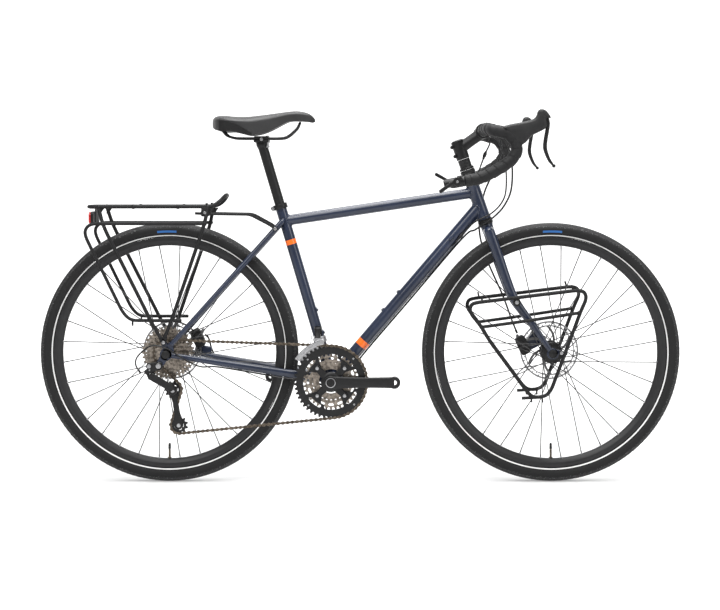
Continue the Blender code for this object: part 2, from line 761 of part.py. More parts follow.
TOOTH_RISE = 0.0026
TOOTH_DROP = 0.0042
BOLT_CIRCLE = 0.0520
INNER_BOLT_CIRCLE = 0.0320
PLAIN_RING_SIDES = 18
RING_BOLT_RADIUS = 0.0042
RING_ARM_ANGLES = (45, 135, 225, 315)
CASSETTE_BORE = FREEHUB_CORE + RUNNING
CHAIN_GROOVE_HALF = RING_THICKNESS / 2 + 0.0004
CHAIN_LEAD_START = -0.380
MAX_BELT_STEP = math.radians(22)
COG_STEPS = 9
GROOVE_SIDES = 24


def pitch_radius(teeth):
    return PITCH / (2 * math.sin(math.pi / teeth))


def toothed_outline(centre, teeth, turn=0.0):
    """A zigzag outline: a point on each tooth's tip and one in each gap between teeth."""
    r = pitch_radius(teeth)
    points = []
    for i in range(teeth * 2):
        a = math.pi * i / teeth + turn
        reach = r + TOOTH_RISE if i % 2 else r - TOOTH_DROP
        points.append((centre[0] + reach * math.cos(a), centre[1] + reach * math.sin(a)))
    return points


def make_ring(name, teeth, plane, bolts, hole):
    """One chainring; only the outer one, which carries the chain, shows its teeth."""
    if teeth == RING_TEETH[0]:
        outline = toothed_outline((0, 0), teeth)
    else:
        outline = ring_points((0, 0), pitch_radius(teeth) + TOOTH_RISE / 2, PLAIN_RING_SIDES)
    holes = [ring_points((0, 0), hole, 12)]
    for angle in RING_ARM_ANGLES:
        a = math.radians(angle)
        at = (bolts * math.cos(a), bolts * math.sin(a))
        holes.append(ring_points(at, around(RING_BOLT_RADIUS + GAP, 6), 6))
    ring = plate(outline, plane, RING_THICKNESS, holes)
    return part(name, ring, "black_metal" if teeth == RING_TEETH[0] else "chain_metal", (0, 0, 0))


def make_rings():
    outer, middle, inner = RING_TEETH
    make_ring("chainring_outer", outer, RING_PLANES[0], BOLT_CIRCLE, 0.0440)
    make_ring("chainring_middle", middle, RING_PLANES[1], BOLT_CIRCLE, 0.0440)
    make_ring("chainring_inner", inner, RING_PLANES[2], INNER_BOLT_CIRCLE, 0.0260)


def crank_arm(side, way):
    """One crank arm: a thick bar from the spindle's boss to the pedal's eye."""
    inner = side * CRANK_INNER_PLANE
    outer = inner + side * CRANK_THICKNESS
    middle = (inner + outer) / 2
    end = (way * CRANK_LENGTH, 0)
    arm = plate(capsule((0, 0), end, 0.0165, 0.0125, 3), middle, CRANK_THICKNESS)
    boss = cross_rod(0, 0, inner - side * 0.0015, outer + side * 0.002, 0.0175, sides=10)
    return fuse(round_freeze(arm, 0.003), boss), outer


def round_freeze(obj, width):
    return freeze(round_edges(obj, width))


def make_crank_right():
    """Right arm with its spindle, the four spider arms and their bolts."""
    arm, outer = crank_arm(-1, 1)
    spider_face = RING_PLANES[0] - RING_THICKNESS / 2 - GAP
    spider_back = spider_face - 0.0050
    pieces = [cross_rod(0, 0, spider_face - 0.0007, spider_back - 0.005, 0.027, sides=10),
              cross_rod(0, 0, -0.070, CRANK_INNER_PLANE + CRANK_THICKNESS - 0.004, SPINDLE_RADIUS,
                        sides=12)]
    for angle in RING_ARM_ANGLES:
        a = math.radians(angle)
        tip = (BOLT_CIRCLE * math.cos(a), BOLT_CIRCLE * math.sin(a))
        hub = (0.018 * math.cos(a), 0.018 * math.sin(a))
        pieces.append(plate(capsule(hub, tip, 0.0100, 0.0075, 2), (spider_face + spider_back) / 2,
                            spider_face - spider_back))
        pieces.append(cross_rod(*tip, RING_PLANES[1] + RING_THICKNESS / 2 + 0.0012,
                                spider_back - 0.001, RING_BOLT_RADIUS, sides=6))
        low = (INNER_BOLT_CIRCLE * math.cos(a), INNER_BOLT_CIRCLE * math.sin(a))
        pieces.append(cross_rod(*low, RING_PLANES[2] + RING_THICKNESS / 2 + 0.0012,
                                spider_back + 0.001, RING_BOLT_RADIUS, sides=6))
    body = fuse(arm, *pieces)
    eye = cross_rod(CRANK_LENGTH, 0, -0.1, -0.05, 0.0070, sides=8)
    return part("crank_right", cut(body, eye), "black_metal", (0, 0, 0))


def make_crank_left():
    arm, outer = crank_arm(1, -1)
    bore = cross_rod(0, 0, 0.04, CRANK_INNER_PLANE + CRANK_THICKNESS - 0.004 + GAP,
                     around(SPINDLE_RADIUS + GAP, 12), sides=12)
    eye = cross_rod(-CRANK_LENGTH, 0, 0.05, 0.1, 0.0070, sides=8)
    return part("crank_left", cut(arm, bore, eye), "black_metal", (0, 0, 0))


def make_cassette():
    """Ten cogs turned in one piece, without their teeth, on a bore round the freehub."""
    half = COG_THICKNESS / 2
    bore = around(CASSETTE_BORE, COG_STEPS)
    last = FIRST_COG_PLANE + COG_SPACING * (len(COGS) - 1)
    profile = [(bore, FIRST_COG_PLANE - half - 0.0010)]
    for i, teeth in enumerate(COGS):
        plane = FIRST_COG_PLANE + COG_SPACING * i
        root = pitch_radius(COGS[max(i - 1, 0)]) - CHAIN_HALF_HEIGHT - TOOTH_RISE
        tip = pitch_radius(teeth) + TOOTH_RISE
        if i in (0, CHAIN_COG, CHAIN_COG + 1):
            profile.append((root, plane - half))
        profile += [(tip, plane - half), (tip, plane + half)]
        if i + 1 < len(COGS):
            profile.append((pitch_radius(teeth) - CHAIN_HALF_HEIGHT - TOOTH_RISE, plane + half))
    profile += [(0.024, last + half), (bore, last + half + 0.0010)]
    body = turned(profile, (REAR_AXLE_X, 0, AXLE_Z), Y_AXIS, COG_STEPS, ring=True)
    return part("cassette", body, "chain_metal", (REAR_AXLE_X, 0, AXLE_Z))


def tangent_run(stops):
    """The closed belt line round circles: (centre, radius, turn) with turn +1 or -1 in the XZ plane."""
    count = len(stops)
    leave = []
    arrive = [None] * count
    for i in range(count):
        (c1, r1, t1), (c2, r2, t2) = stops[i], stops[(i + 1) % count]
        dx, dz = c2[0] - c1[0], c2[1] - c1[1]
        distance = math.hypot(dx, dz)
        heading = math.atan2(dz, dx)
        lean = math.asin((t1 * r1 - t2 * r2) / distance)
        direction = heading + lean
        normal = (-math.sin(direction), math.cos(direction))
        leave.append((c1[0] - normal[0] * t1 * r1, c1[1] - normal[1] * t1 * r1))
        arrive[(i + 1) % count] = (c2[0] - normal[0] * t2 * r2, c2[1] - normal[1] * t2 * r2)
    points = []
    for i, (centre, radius, turn) in enumerate(stops):
        a = math.atan2(arrive[i][1] - centre[1], arrive[i][0] - centre[0])
        b = math.atan2(leave[i][1] - centre[1], leave[i][0] - centre[0])
        sweep = (b - a) * turn % (2 * math.pi)
        steps = max(2, round(sweep / MAX_BELT_STEP))
        for k in range(steps + 1):
            angle = a + turn * sweep * k / steps
            points.append((centre[0] + radius * math.cos(angle), centre[1] + radius * math.sin(angle)))
    return points


def chain_stops():
    cog_centre = (REAR_AXLE_X, AXLE_Z)
    return [((0, 0), pitch_radius(RING_TEETH[0]), 1),
            (cog_centre, pitch_radius(COGS[CHAIN_COG]), 1),
            (GUIDE_PULLEY_CENTRE, pitch_radius(PULLEY_TEETH), -1),
            (TENSION_PULLEY_CENTRE, pitch_radius(PULLEY_TEETH), 1)]


def cog_plane():
    return FIRST_COG_PLANE + COG_SPACING * CHAIN_COG


def split_runs(points, x):
    """Add a corner wherever the closed line crosses the given x."""
    out = []
    for (x1, z1), (x2, z2) in zip(points, points[1:] + points[:1]):
        out.append((x1, z1))
        if (x1 - x) * (x2 - x) < 0:
            out.append((x, z1 + (z2 - z1) * (x - x1) / (x2 - x1)))
    return out


def closed_band(line, half_width, thickness):
    """A band round a closed line of (x, y, z) points: a ribbon along Y with its wall thickened."""
    bm = bmesh.new()
    verts = [bm.verts.new((x, y - half_width, z)) for x, y, z in line]
    for i, vert in enumerate(verts):
        bm.edges.new((vert, verts[(i + 1) % len(verts)]))
    drawn = bmesh.ops.extrude_edge_only(bm, edges=bm.edges[:])
    moved = [item for item in drawn["geom"] if isinstance(item, bmesh.types.BMVert)]
    bmesh.ops.translate(bm, verts=moved, vec=(0, 2 * half_width, 0))
    mesh = bpy.data.meshes.new("band")
    bm.to_mesh(mesh)
    bm.free()
    obj = bench("band", mesh)
    wall = obj.modifiers.new("wall", "SOLIDIFY")
    wall.thickness = thickness
    wall.offset = 0
    wall.use_even_offset = True
    return freeze(obj)


def make_chain():
    """The chain's band, led sideways from the cog to the ring, grooved where teeth reach in."""
    rear = cog_plane()
    front = RING_PLANES[0]
    line = []
    for x, z in split_runs(tangent_run(chain_stops()), CHAIN_LEAD_START):
        share = min(1, max(0, 1 - x / CHAIN_LEAD_START))
        line.append((x, rear + (front - rear) * share, z))
    band = closed_band(line, CHAIN_HALF_WIDTH, 2 * CHAIN_HALF_HEIGHT)
    grooves = []
    for (centre, radius, turn), plane in zip(chain_stops(), (front, rear, rear, rear)):
        reach = radius + TOOTH_RISE + GAP
        grooves.append(cross_rod(*centre, plane - CHAIN_GROOVE_HALF, plane + CHAIN_GROOVE_HALF,
                                 reach / math.cos(math.pi / GROOVE_SIDES), sides=GROOVE_SIDES))
    return part("chain", cut(band, *grooves), "chain_metal")


# Fork

CROWN_RADIUS = 0.0145
CROWN_HALF_WIDTH = 0.046
RACE_RADIUS = 0.0185
RACE_THICKNESS = 0.003
CROWN_AT = -(LOWER_CUP_HEIGHT + GAP + RUNNING + RACE_THICKNESS + CROWN_RADIUS - 0.001)
BLADE_LINE = from_foot((0.0350, 0.0410, 0.3360), (0.0580, 0.0430, 0.2700), (0.0820, 0.0455, 0.2150),
                       (0.1310, 0.0500, 0.1470), (0.1735, 0.0552, 0.0845))
BLADE_START = 0.0400
BLADE_RADII = (0.0140, 0.0140, 0.0130, 0.0118, 0.0090, 0.0065)
BLADE_SQUASH = 0.72
FORK_DROPOUT_RADIUS = 0.0155
FORK_BOSS, FORK_EYELET = from_foot((0.0820, 0.2150), (0.2010, 0.0800))
FORK_BOSS_FACE = 0.0580
SPACER_FOOT = HEAD_TUBE_LENGTH + GAP + UPPER_CUP_HEIGHT + RUNNING
STEM_FOOT = SPACER_FOOT + SPACER_STACK + GAP
STEM_TOP = STEM_FOOT + STEM_CLAMP_HEIGHT
STEM_CAP = 0.004
CALIPER_SIZE = (0.030, 0.0220, 0.054)
FRONT_ROTOR_PLANE = FRONT_HUB_HALF - ROTOR_INSET + FRONT_ROTOR_SHIFT
CALIPER_TAB = from_foot((0.1400, 0.1350), (0.1680, 0.0930), (0.1290, 0.0730), (0.1180, 0.1050))
CALIPER_TAB_THICKNESS = 0.0055


def make_fork():
    """Crown and steerer with two curved blades, their dropouts, bosses and the brake's tab."""
    crown = along_head(CROWN_AT)
    race_top = -(LOWER_CUP_HEIGHT + GAP + RUNNING)
    body = cross_rod(crown.x, crown.z, -CROWN_HALF_WIDTH, CROWN_HALF_WIDTH, CROWN_RADIUS, sides=10)
    pieces = [
        rod(crown, along_head(STEM_TOP - STEM_CAP - 2 * GAP), STEERER_RADIUS, sides=12),
        rod(along_head(race_top - RACE_THICKNESS - 0.002), along_head(race_top), RACE_RADIUS, sides=10),
    ]
    cutters = []
    for side in (1, -1):
        line = [(crown.x, side * BLADE_START, crown.z)] + [(x, side * y, z) for x, y, z in BLADE_LINE]
        pieces.append(tube(line, BLADE_RADII[0], 8, BLADE_RADII, squash=BLADE_SQUASH))
        inner = side * FRONT_HUB_HALF
        outer = side * (FRONT_HUB_HALF + DROPOUT_THICKNESS)
        pieces.append(cross_rod(FRONT_AXLE_X, AXLE_Z, inner, outer, FORK_DROPOUT_RADIUS, sides=8))
        eyelet = capsule((FRONT_AXLE_X, AXLE_Z), FORK_EYELET, 0.010, EYELET_RADIUS, 3)
        pieces.append(plate(eyelet, (inner + outer) / 2, DROPOUT_THICKNESS - 0.001))
        pieces.append(cross_rod(*FORK_BOSS, side * BLADE_LINE[2][1], side * FORK_BOSS_FACE, 0.0065,
                                sides=6))
    tab = FRONT_ROTOR_PLANE + CALIPER_SIZE[1] / 2 + GAP + CALIPER_TAB_THICKNESS / 2
    pieces.append(plate(CALIPER_TAB, tab, CALIPER_TAB_THICKNESS))
    hole = around(AXLE_RADIUS + GAP, 10)
    cutters.append(cross_rod(FRONT_AXLE_X, AXLE_Z, -0.08, 0.08, hole, sides=10))
    return part("fork", cut(fuse(body, *pieces), *cutters), "navy_paint", HEAD_FOOT)


# Stem and handlebar

STEM_RADIUS = 0.0180
STEM_ARM_RADII = (0.0160, 0.0150)
STEM_BAR_RADIUS = 0.0205
STEM_BAR_HALF_WIDTH = 0.021
BAR_SIDE_LINE = from_foot((-0.0040, 0.0300, 0.6750), (-0.0040, 0.0460, 0.6750),
                          (-0.0040, 0.0560, 0.6750), (-0.0040, 0.1700, 0.6750),
                          (0.0090, 0.2120, 0.6700), (0.0250, 0.2200, 0.6660), (0.0480, 0.2200, 0.6590),
                          (0.0656, 0.2200, 0.6390), (0.0695, 0.2200, 0.6170), (0.0567, 0.2200, 0.5940),
                          (0.0260, 0.2200, 0.5710), (-0.0232, 0.2200, 0.5464),
                          (-0.0630, 0.2200, 0.5385))
TAPE_STARTS = 2
GRIP_CORNERS = 8


def make_spacers():
    """The bearing's cover and the spacers on the steerer, as one stack."""
    bore = around(STEERER_RADIUS + GAP, 12)
    top = SPACER_STACK
    profile = [(bore, top), (0.0165, top), (0.0165, 0.0045), (0.0200, 0.0025), (0.0200, 0), (bore, 0)]
    stack = turned(profile, along_head(SPACER_FOOT), HEAD_DIRECTION, 12, ring=True)
    return part("headset_spacers", stack, "black_metal", HEAD_FOOT)


def make_stem():
    bar = (BAR_CENTRE[0], 0, BAR_CENTRE[1])
    body = rod(along_head(STEM_FOOT), along_head(STEM_TOP), STEM_RADIUS, sides=12)
    ahead = Vector((HEAD_DIRECTION.z, 0, -HEAD_DIRECTION.x))
    pieces = [rod(along_head(STEM_FOOT + 0.024), bar, *STEM_ARM_RADII, sides=8),
              cross_rod(*BAR_CENTRE, -STEM_BAR_HALF_WIDTH, STEM_BAR_HALF_WIDTH, STEM_BAR_RADIUS, sides=12),
              block((bar[0] + 0.018, 0, bar[2] + 0.001), (0.010, 0.036, 0.036), math.radians(-20))]
    for height in (0.010, 0.030):
        at = along_head(STEM_FOOT + height) - ahead * (STEM_RADIUS + 0.001)
        pieces.append(cross_rod(at.x, at.z, -0.012, 0.012, 0.0048, sides=6))
    cap = along_head(STEM_TOP)
    pieces.append(rod(cap - HEAD_DIRECTION * 0.001, cap + HEAD_DIRECTION * 0.0025, 0.0150, sides=8))
    cutters = [rod(along_head(STEM_FOOT - 0.01), along_head(STEM_TOP - STEM_CAP),
                   around(STEERER_RADIUS + GAP, 12), sides=12),
               cross_rod(*BAR_CENTRE, -0.03, 0.03, around(BAR_CLAMP_RADIUS + GAP, 12), sides=12)]
    return part("stem", cut(fuse(body, *pieces), *cutters), "black_metal", HEAD_FOOT)


def bar_line():
    """The whole handlebar's centreline, from its right end to its left end."""
    right = [(x, -y, z) for x, y, z in reversed(BAR_SIDE_LINE)]
    return right + list(BAR_SIDE_LINE)


def tape_span(side):
    """First and last index of the taped points of one side along the bar's centreline."""
    half = len(BAR_SIDE_LINE)
    if side > 0:
        return half + TAPE_STARTS, 2 * half
    return 0, half - TAPE_STARTS


def make_handlebar():
    line = bar_line()
    radii = [BAR_CLAMP_RADIUS if abs(y) < BAR_SIDE_LINE[TAPE_STARTS][1] else BAR_RADIUS
             for x, y, z in line]
    bar = swept(line, radii, sides=GRIP_CORNERS)
    return part("handlebar", bar, "black_metal", HEAD_FOOT)


def make_bar_tape(name, side):
    line = bar_line()
    first, last = tape_span(side)
    sleeve = swept(line, [TAPE_RADIUS] * len(line), [BAR_RADIUS + GAP] * len(line), GRIP_CORNERS,
                   first, last)
    return part(name, sleeve, "tape", HEAD_FOOT)


# Brake levers

HOOD_OUTLINE = from_foot((0.0320, 0.6769), (0.0498, 0.6838), (0.1110, 0.6976), (0.1249, 0.7193),
                         (0.1348, 0.7237), (0.1466, 0.7183), (0.1575, 0.7015), (0.1466, 0.6996),
                         (0.1456, 0.6759), (0.1110, 0.6561), (0.0804, 0.6324), (0.0419, 0.6680))
HOOD_HALF_WIDTH = 0.0155
HOOD_SLOT_HALF = 0.0070
HOOD_SLOT_BACK = HEAD_FOOT.x + 0.1200
HOOD_SLOT_FOOT = 0.6450
LEVER_BOSS_RADIUS = 0.0050
LEVER_PIN_RADIUS = 0.0025
LEVER_PIN_HALF = 0.0115
LEVER_LINE = from_foot((0.1470, 0.7060), (0.1502, 0.6840), (0.1440, 0.6440), (0.1427, 0.6245),
                       (0.1466, 0.6087), (0.1545, 0.5909), (0.1664, 0.5761))
LEVER_RADII = (0.0046, 0.0046, 0.0042, 0.0042, 0.0042, 0.0042, 0.0036)
LEVER_BLADE_SQUASH = 1.35


def make_brake_hood(name, side):
    """The lever's body, standing on the tape, forked at the front for the blade."""
    plane = side * BAR_HALF_WIDTH
    body = plate(HOOD_OUTLINE, plane, 2 * HOOD_HALF_WIDTH)
    line = bar_line()
    first, last = tape_span(side)
    taped = swept(line, [TAPE_RADIUS + GAP] * len(line), None, GRIP_CORNERS, first, last)
    top = LEVER_PIVOT[1] + LEVER_BOSS_RADIUS + 2 * RUNNING
    front = HOOD_SLOT_BACK + 0.060
    slot = block(((HOOD_SLOT_BACK + front) / 2, plane, (HOOD_SLOT_FOOT + top) / 2),
                 (front - HOOD_SLOT_BACK, 2 * HOOD_SLOT_HALF, top - HOOD_SLOT_FOOT))
    pin = cross_rod(*LEVER_PIVOT, plane - LEVER_PIN_HALF - RUNNING, plane + LEVER_PIN_HALF + RUNNING,
                    around(LEVER_PIN_RADIUS + GAP, 8), sides=8)
    return part(name, cut(body, taped, slot, pin), "black_rubber", HEAD_FOOT)


def make_brake_lever(name, side):
    plane = side * BAR_HALF_WIDTH
    pivot = (LEVER_PIVOT[0], plane, LEVER_PIVOT[1])
    blade = tube([(x, plane, z) for x, z in LEVER_LINE], LEVER_RADII[0], 6, LEVER_RADII,
                 squash=LEVER_BLADE_SQUASH)
    boss = cross_rod(*LEVER_PIVOT, plane - 0.0062, plane + 0.0062, LEVER_BOSS_RADIUS, sides=8)
    pin = cross_rod(*LEVER_PIVOT, plane - LEVER_PIN_HALF, plane + LEVER_PIN_HALF, LEVER_PIN_RADIUS,
                    sides=6)
    return part(name, fuse(blade, boss, pin), "black_metal", pivot)


# Bar-end shifters

POD_RADIUS = 0.0135
POD_LENGTH = 0.040
SHIFTER_BOSS_RADIUS = 0.0100
SHIFTER_FACE = BAR_HALF_WIDTH + 0.0145
SHIFTER_DISC_RADIUS = 0.0110
SHIFTER_DISC_THICKNESS = 0.0060
SHIFTER_BLADES = {-1: from_foot((-0.0900, 0.5360), (-0.1150, 0.5230), (-0.1290, 0.5100)),
                  1: from_foot((-0.0890, 0.5400), (-0.1090, 0.5510), (-0.1270, 0.5610))}


def make_shifter_pod(name, side):
    end = Vector(BAR_SIDE_LINE[-1])
    before = Vector(BAR_SIDE_LINE[-2])
    back = (end - before).normalized()
    start = end + back * RUNNING
    start.y = side * BAR_HALF_WIDTH
    body = rod(start, start + back * POD_LENGTH, POD_RADIUS, POD_RADIUS * 0.86, sides=8)
    boss = cross_rod(*SHIFTER_PIVOT, start.y, side * SHIFTER_FACE, SHIFTER_BOSS_RADIUS, sides=8)
    return part(name, fuse(body, boss), "black_plastic", HEAD_FOOT)


def make_shift_lever(name, side):
    inner = side * (SHIFTER_FACE + RUNNING)
    outer = inner + side * SHIFTER_DISC_THICKNESS
    disc = cross_rod(*SHIFTER_PIVOT, inner, outer, SHIFTER_DISC_RADIUS, sides=8)
    plane = (inner + outer) / 2
    blade = tube([(x, plane, z) for x, z in SHIFTER_BLADES[side]], 0.0048, 6,
                 (0.0048, 0.0048, 0.0036), squash=0.56)
    pivot = (SHIFTER_PIVOT[0], plane, SHIFTER_PIVOT[1])
    return part(name, fuse(disc, blade), "black_metal", pivot)


def make_cockpit():
    make_fork()
    make_spacers()
    make_stem()
    make_handlebar()
    for word, side in (("left", 1), ("right", -1)):
        make_bar_tape("bar_tape_" + word, side)
        make_brake_hood("brake_hood_" + word, side)
        make_brake_lever("brake_lever_" + word, side)
        make_shifter_pod("shifter_pod_" + word, side)
        make_shift_lever("shift_lever_" + word, side)


# Seat

SEATPOST_INSERTED = 0.120
SEAT_CLAMP_BLOCK = (0.040, 0.056, 0.0170)
RAIL_BORE_REACH = 0.060
CLAMP_BOLT_AHEAD = 0.016
CLAMP_BOLT_SPAN = 0.022
CLAMP_BOLT_RADIUS = 0.0042
CLAMP_BOLT_OUT = 0.009
# X is given from the seatpost's head and Z from the straight run of the rails
RAIL_SIDE_LINE = ((-0.1050, 0.0260, 0.0215), (-0.0920, 0.0240, 0.0075), (-0.0740, 0.0220, 0.0015),
                  (-0.0550, 0.0220, 0.0000), (0.0500, 0.0220, 0.0000), (0.0720, 0.0180, 0.0055),
                  (0.0950, 0.0110, 0.0255), (0.1020, 0.0070, 0.0385), (0.1040, 0.0000, 0.0425))
SADDLE_STATIONS = ((-0.1340, 0.0520, 0.0535, 0.0335, 0.0375),
                   (-0.1160, 0.0760, 0.0635, 0.0115, 0.0275),
                   (-0.0650, 0.0760, 0.0640, 0.0075, 0.0235),
                   (-0.0100, 0.0500, 0.0600, 0.0185, 0.0265), (0.0350, 0.0340, 0.0625, 0.0275, 0.0305),
                   (0.0820, 0.0250, 0.0745, 0.0355, 0.0365), (0.1220, 0.0200, 0.0735, 0.0405, 0.0405),
                   (0.1460, 0.0100, 0.0625, 0.0485, 0.0485))


def make_seatpost():
    """Post with a clamp head bored for both rails and two clamp bolts."""
    x, z = SEATPOST_HEAD
    top = along_seat(z / SEAT_DIRECTION.z)
    foot = along_seat(SEAT_TUBE_LENGTH - SEATPOST_INSERTED)
    body = rod(foot, top, SEATPOST_RADIUS, sides=TUBE_SIDES)
    head = block((x, 0, z), SEAT_CLAMP_BLOCK)
    bolts = []
    bores = []
    for side in (1, -1):
        ahead = x + CLAMP_BOLT_AHEAD
        out = side * CLAMP_BOLT_OUT
        bolts.append(rod((ahead, out, z - CLAMP_BOLT_SPAN), (ahead, out, z), CLAMP_BOLT_RADIUS, sides=6))
        rail = side * RAIL_HALF_SPACING
        bores.append(rod((x - RAIL_BORE_REACH, rail, RAIL_HEIGHT), (x + RAIL_BORE_REACH, rail, RAIL_HEIGHT),
                         around(RAIL_RADIUS + GAP, 8), sides=8))
    return part("seatpost", cut(fuse(body, head, *bolts), *bores), "black_metal", tuple(top))


def rail_line():
    left = [(SEATPOST_HEAD[0] + x, y, RAIL_HEIGHT + z) for x, y, z in RAIL_SIDE_LINE]
    return left + [(x, -y, z) for x, y, z in reversed(left[:-1])]


def make_saddle_rails():
    """One wire bent round under the nose, its two ends held in the rear of the shell."""
    wire = tube(rail_line(), RAIL_RADIUS, 6)
    return part("saddle_rails", wire, "black_metal")


def saddle_section(x, half, top, edge, under):
    """One closed section of the cushion: crowned on top, drawn in below, hollow underneath."""
    rise = top - edge
    right = [(0.66 * half, top - 0.03 * rise), (1.00 * half, top - 0.30 * rise),
             (0.90 * half, edge), (0.50 * half, under)]
    ring = [(0, top)] + right + [(0, under)] + [(-y, z) for y, z in reversed(right)]
    return [Vector((SEATPOST_HEAD[0] + x, y, RAIL_HEIGHT + z)) for y, z in ring]


def make_saddle():
    """A cushion lofted through its sections, with sockets for the rails."""
    bm = bmesh.new()
    rings = [[bm.verts.new(v) for v in saddle_section(*station)] for station in SADDLE_STATIONS]
    count = len(rings[0])
    for near, far in zip(rings, rings[1:]):
        for i in range(count):
            j = (i + 1) % count
            bm.faces.new((near[i], near[j], far[j], far[i]))
    bm.faces.new(rings[0])
    bm.faces.new(rings[-1])
    mesh = bpy.data.meshes.new("saddle")
    bm.to_mesh(mesh)
    bm.free()
    obj = bench("saddle", mesh)
    soft = obj.modifiers.new("soft", "SUBSURF")
    soft.levels = 1
    soft.render_levels = 1
    body = freeze(obj)
    socket = tube(rail_line(), RAIL_RADIUS + 2 * GAP, 6)
    return part("saddle", cut(body, socket), "saddle_cover")


def make_seat():
    make_seatpost()
    make_saddle_rails()
    make_saddle()


# Rear derailleur

LINK_NEAR = Vector((-0.4780, -0.0730, 0.0180))
LINK_FAR = Vector((-0.4300, -0.0730, -0.0100))
ARM_END = (-0.4905, 0.0295)
LINK_EYE_RADIUS = 0.0065
LINK_HALF_DEPTH = 0.0080
LUG_THICKNESS = 0.0030
LINK_PIN_RADIUS = 0.0025
STRAP_THICKNESS = 0.0040
HANGER_OUTER_FACE = -(REAR_HUB_HALF + DROPOUT_THICKNESS - 0.0007)
CAGE_THICKNESS = 0.0015
CAGE_GAP_HALF = 0.0058
PULLEY_PIN_RADIUS = 0.0030
PULLEY_DISC = 0.0018
KNUCKLE_RADIUS = 0.0100
CAGE_STUB_RADIUS = 0.0038


def link_axes():
    """Along the link from near to far pivot, and the direction its pivot pins point in."""
    along = (LINK_FAR - LINK_NEAR).normalized()
    return along, Vector((-along.z, 0, along.x))


def slanted_block(centre, along, size):
    """A box with one side along a direction of the XZ plane; sizes are (along, Y, across)."""
    return block(centre, size, math.atan2(-along.z, along.x))


def link_lugs(pivot, way):
    """Two lugs, the pin through them and the strap behind, at one end of the link."""
    along, pin = link_axes()
    inner = LINK_HALF_DEPTH + RUNNING
    outer = inner + LUG_THICKNESS
    pieces = [rod(pivot + pin * side * inner, pivot + pin * side * outer, LINK_EYE_RADIUS, sides=6)
              for side in (1, -1)]
    pieces.append(rod(pivot - pin * outer, pivot + pin * outer, LINK_PIN_RADIUS, sides=6))
    back = pivot + along * way * (LINK_EYE_RADIUS + 2 * RUNNING + STRAP_THICKNESS / 2)
    strap = slanted_block(back, along, (STRAP_THICKNESS, 2 * LINK_EYE_RADIUS, 2 * outer))
    for side in (1, -1):
        middle = pivot + pin * side * (inner + outer) / 2 + along * way * LINK_EYE_RADIUS / 2
        pieces.append(slanted_block(middle, along, (LINK_EYE_RADIUS + 0.004, 1.8 * LINK_EYE_RADIUS,
                                                    0.8 * LUG_THICKNESS)))
    return strap, pieces, back


def make_rd_body():
    """The arm on the hanger's bolt that carries the near pivot of the link."""
    strap, pieces = link_lugs(LINK_NEAR, -1)[:2]
    face = HANGER_OUTER_FACE - GAP
    pieces.append(plate(capsule(HANGER_BOLT, ARM_END, 0.0090, 0.0042, 5), face - 0.0036, 0.0072))
    pieces.append(cross_rod(*HANGER_BOLT, face - 0.0095, -REAR_HUB_HALF, HANGER_BORE - GAP, sides=8))
    pieces.append(cross_rod(*HANGER_BOLT, face - 0.0095, face - 0.0060, 0.0075, sides=8))
    return part("rear_derailleur_body", fuse(strap, *pieces), "black_metal")


def make_rd_link():
    """The slanted link: a bar with an eye at each end, drawn flat and stood on its pins' line."""
    along, pin = link_axes()
    length = (LINK_FAR - LINK_NEAR).length
    bore = around(LINK_PIN_RADIUS + GAP, 6)
    flat = plate(capsule((0, 0), (length, 0), LINK_EYE_RADIUS, LINK_EYE_RADIUS, 5), 0,
                 2 * LINK_HALF_DEPTH, [ring_points((0, 0), bore, 6), ring_points((length, 0), bore, 6)])
    stand = Matrix((along, pin, Y_AXIS)).transposed().to_4x4()
    flat.data.transform(Matrix.Translation(LINK_NEAR) @ stand)
    return part("rear_derailleur_link", freeze(flat), "black_metal", LINK_NEAR)


def make_rd_knuckle():
    strap, pieces, back = link_lugs(LINK_FAR, 1)
    along, pin = link_axes()
    outer = LINK_HALF_DEPTH + RUNNING + LUG_THICKNESS
    inboard = cog_plane() - CAGE_GAP_HALF - CAGE_THICKNESS - RUNNING
    start = LINK_FAR.y - LINK_EYE_RADIUS
    end = inboard - 0.0035
    bridge = Vector((back.x, (start + end) / 2, back.z))
    pieces.append(slanted_block(bridge, along, (STRAP_THICKNESS, end - start, 2 * outer)))
    pieces.append(cross_rod(*GUIDE_PULLEY_CENTRE, inboard - 0.0095, inboard, KNUCKLE_RADIUS, sides=8))
    socket = cross_rod(*GUIDE_PULLEY_CENTRE, inboard - 0.0070, inboard + 0.01,
                       around(CAGE_STUB_RADIUS + GAP, 6), sides=6)
    return part("rear_derailleur_knuckle", cut(fuse(strap, *pieces), socket), "black_metal", LINK_FAR)


def make_rd_cage():
    """Two side plates joined by the pulleys' pins, with a stub that turns in the knuckle."""
    plane = cog_plane()
    outline = capsule(GUIDE_PULLEY_CENTRE, TENSION_PULLEY_CENTRE, 0.0095, 0.0110, 4)
    step = CAGE_GAP_HALF + CAGE_THICKNESS / 2
    outer = plate(outline, plane - step, CAGE_THICKNESS)
    pieces = [plate(outline, plane + step, CAGE_THICKNESS)]
    for centre in (GUIDE_PULLEY_CENTRE, TENSION_PULLEY_CENTRE):
        pieces.append(cross_rod(*centre, plane - step, plane + step + 0.0015, PULLEY_PIN_RADIUS, sides=6))
    face = plane - CAGE_GAP_HALF - CAGE_THICKNESS
    pieces.append(cross_rod(*GUIDE_PULLEY_CENTRE, face - 0.0065, face + 0.0005, CAGE_STUB_RADIUS, sides=6))
    pivot = (GUIDE_PULLEY_CENTRE[0], plane, GUIDE_PULLEY_CENTRE[1])
    return part("rear_derailleur_cage", fuse(outer, *pieces), "black_metal", pivot)


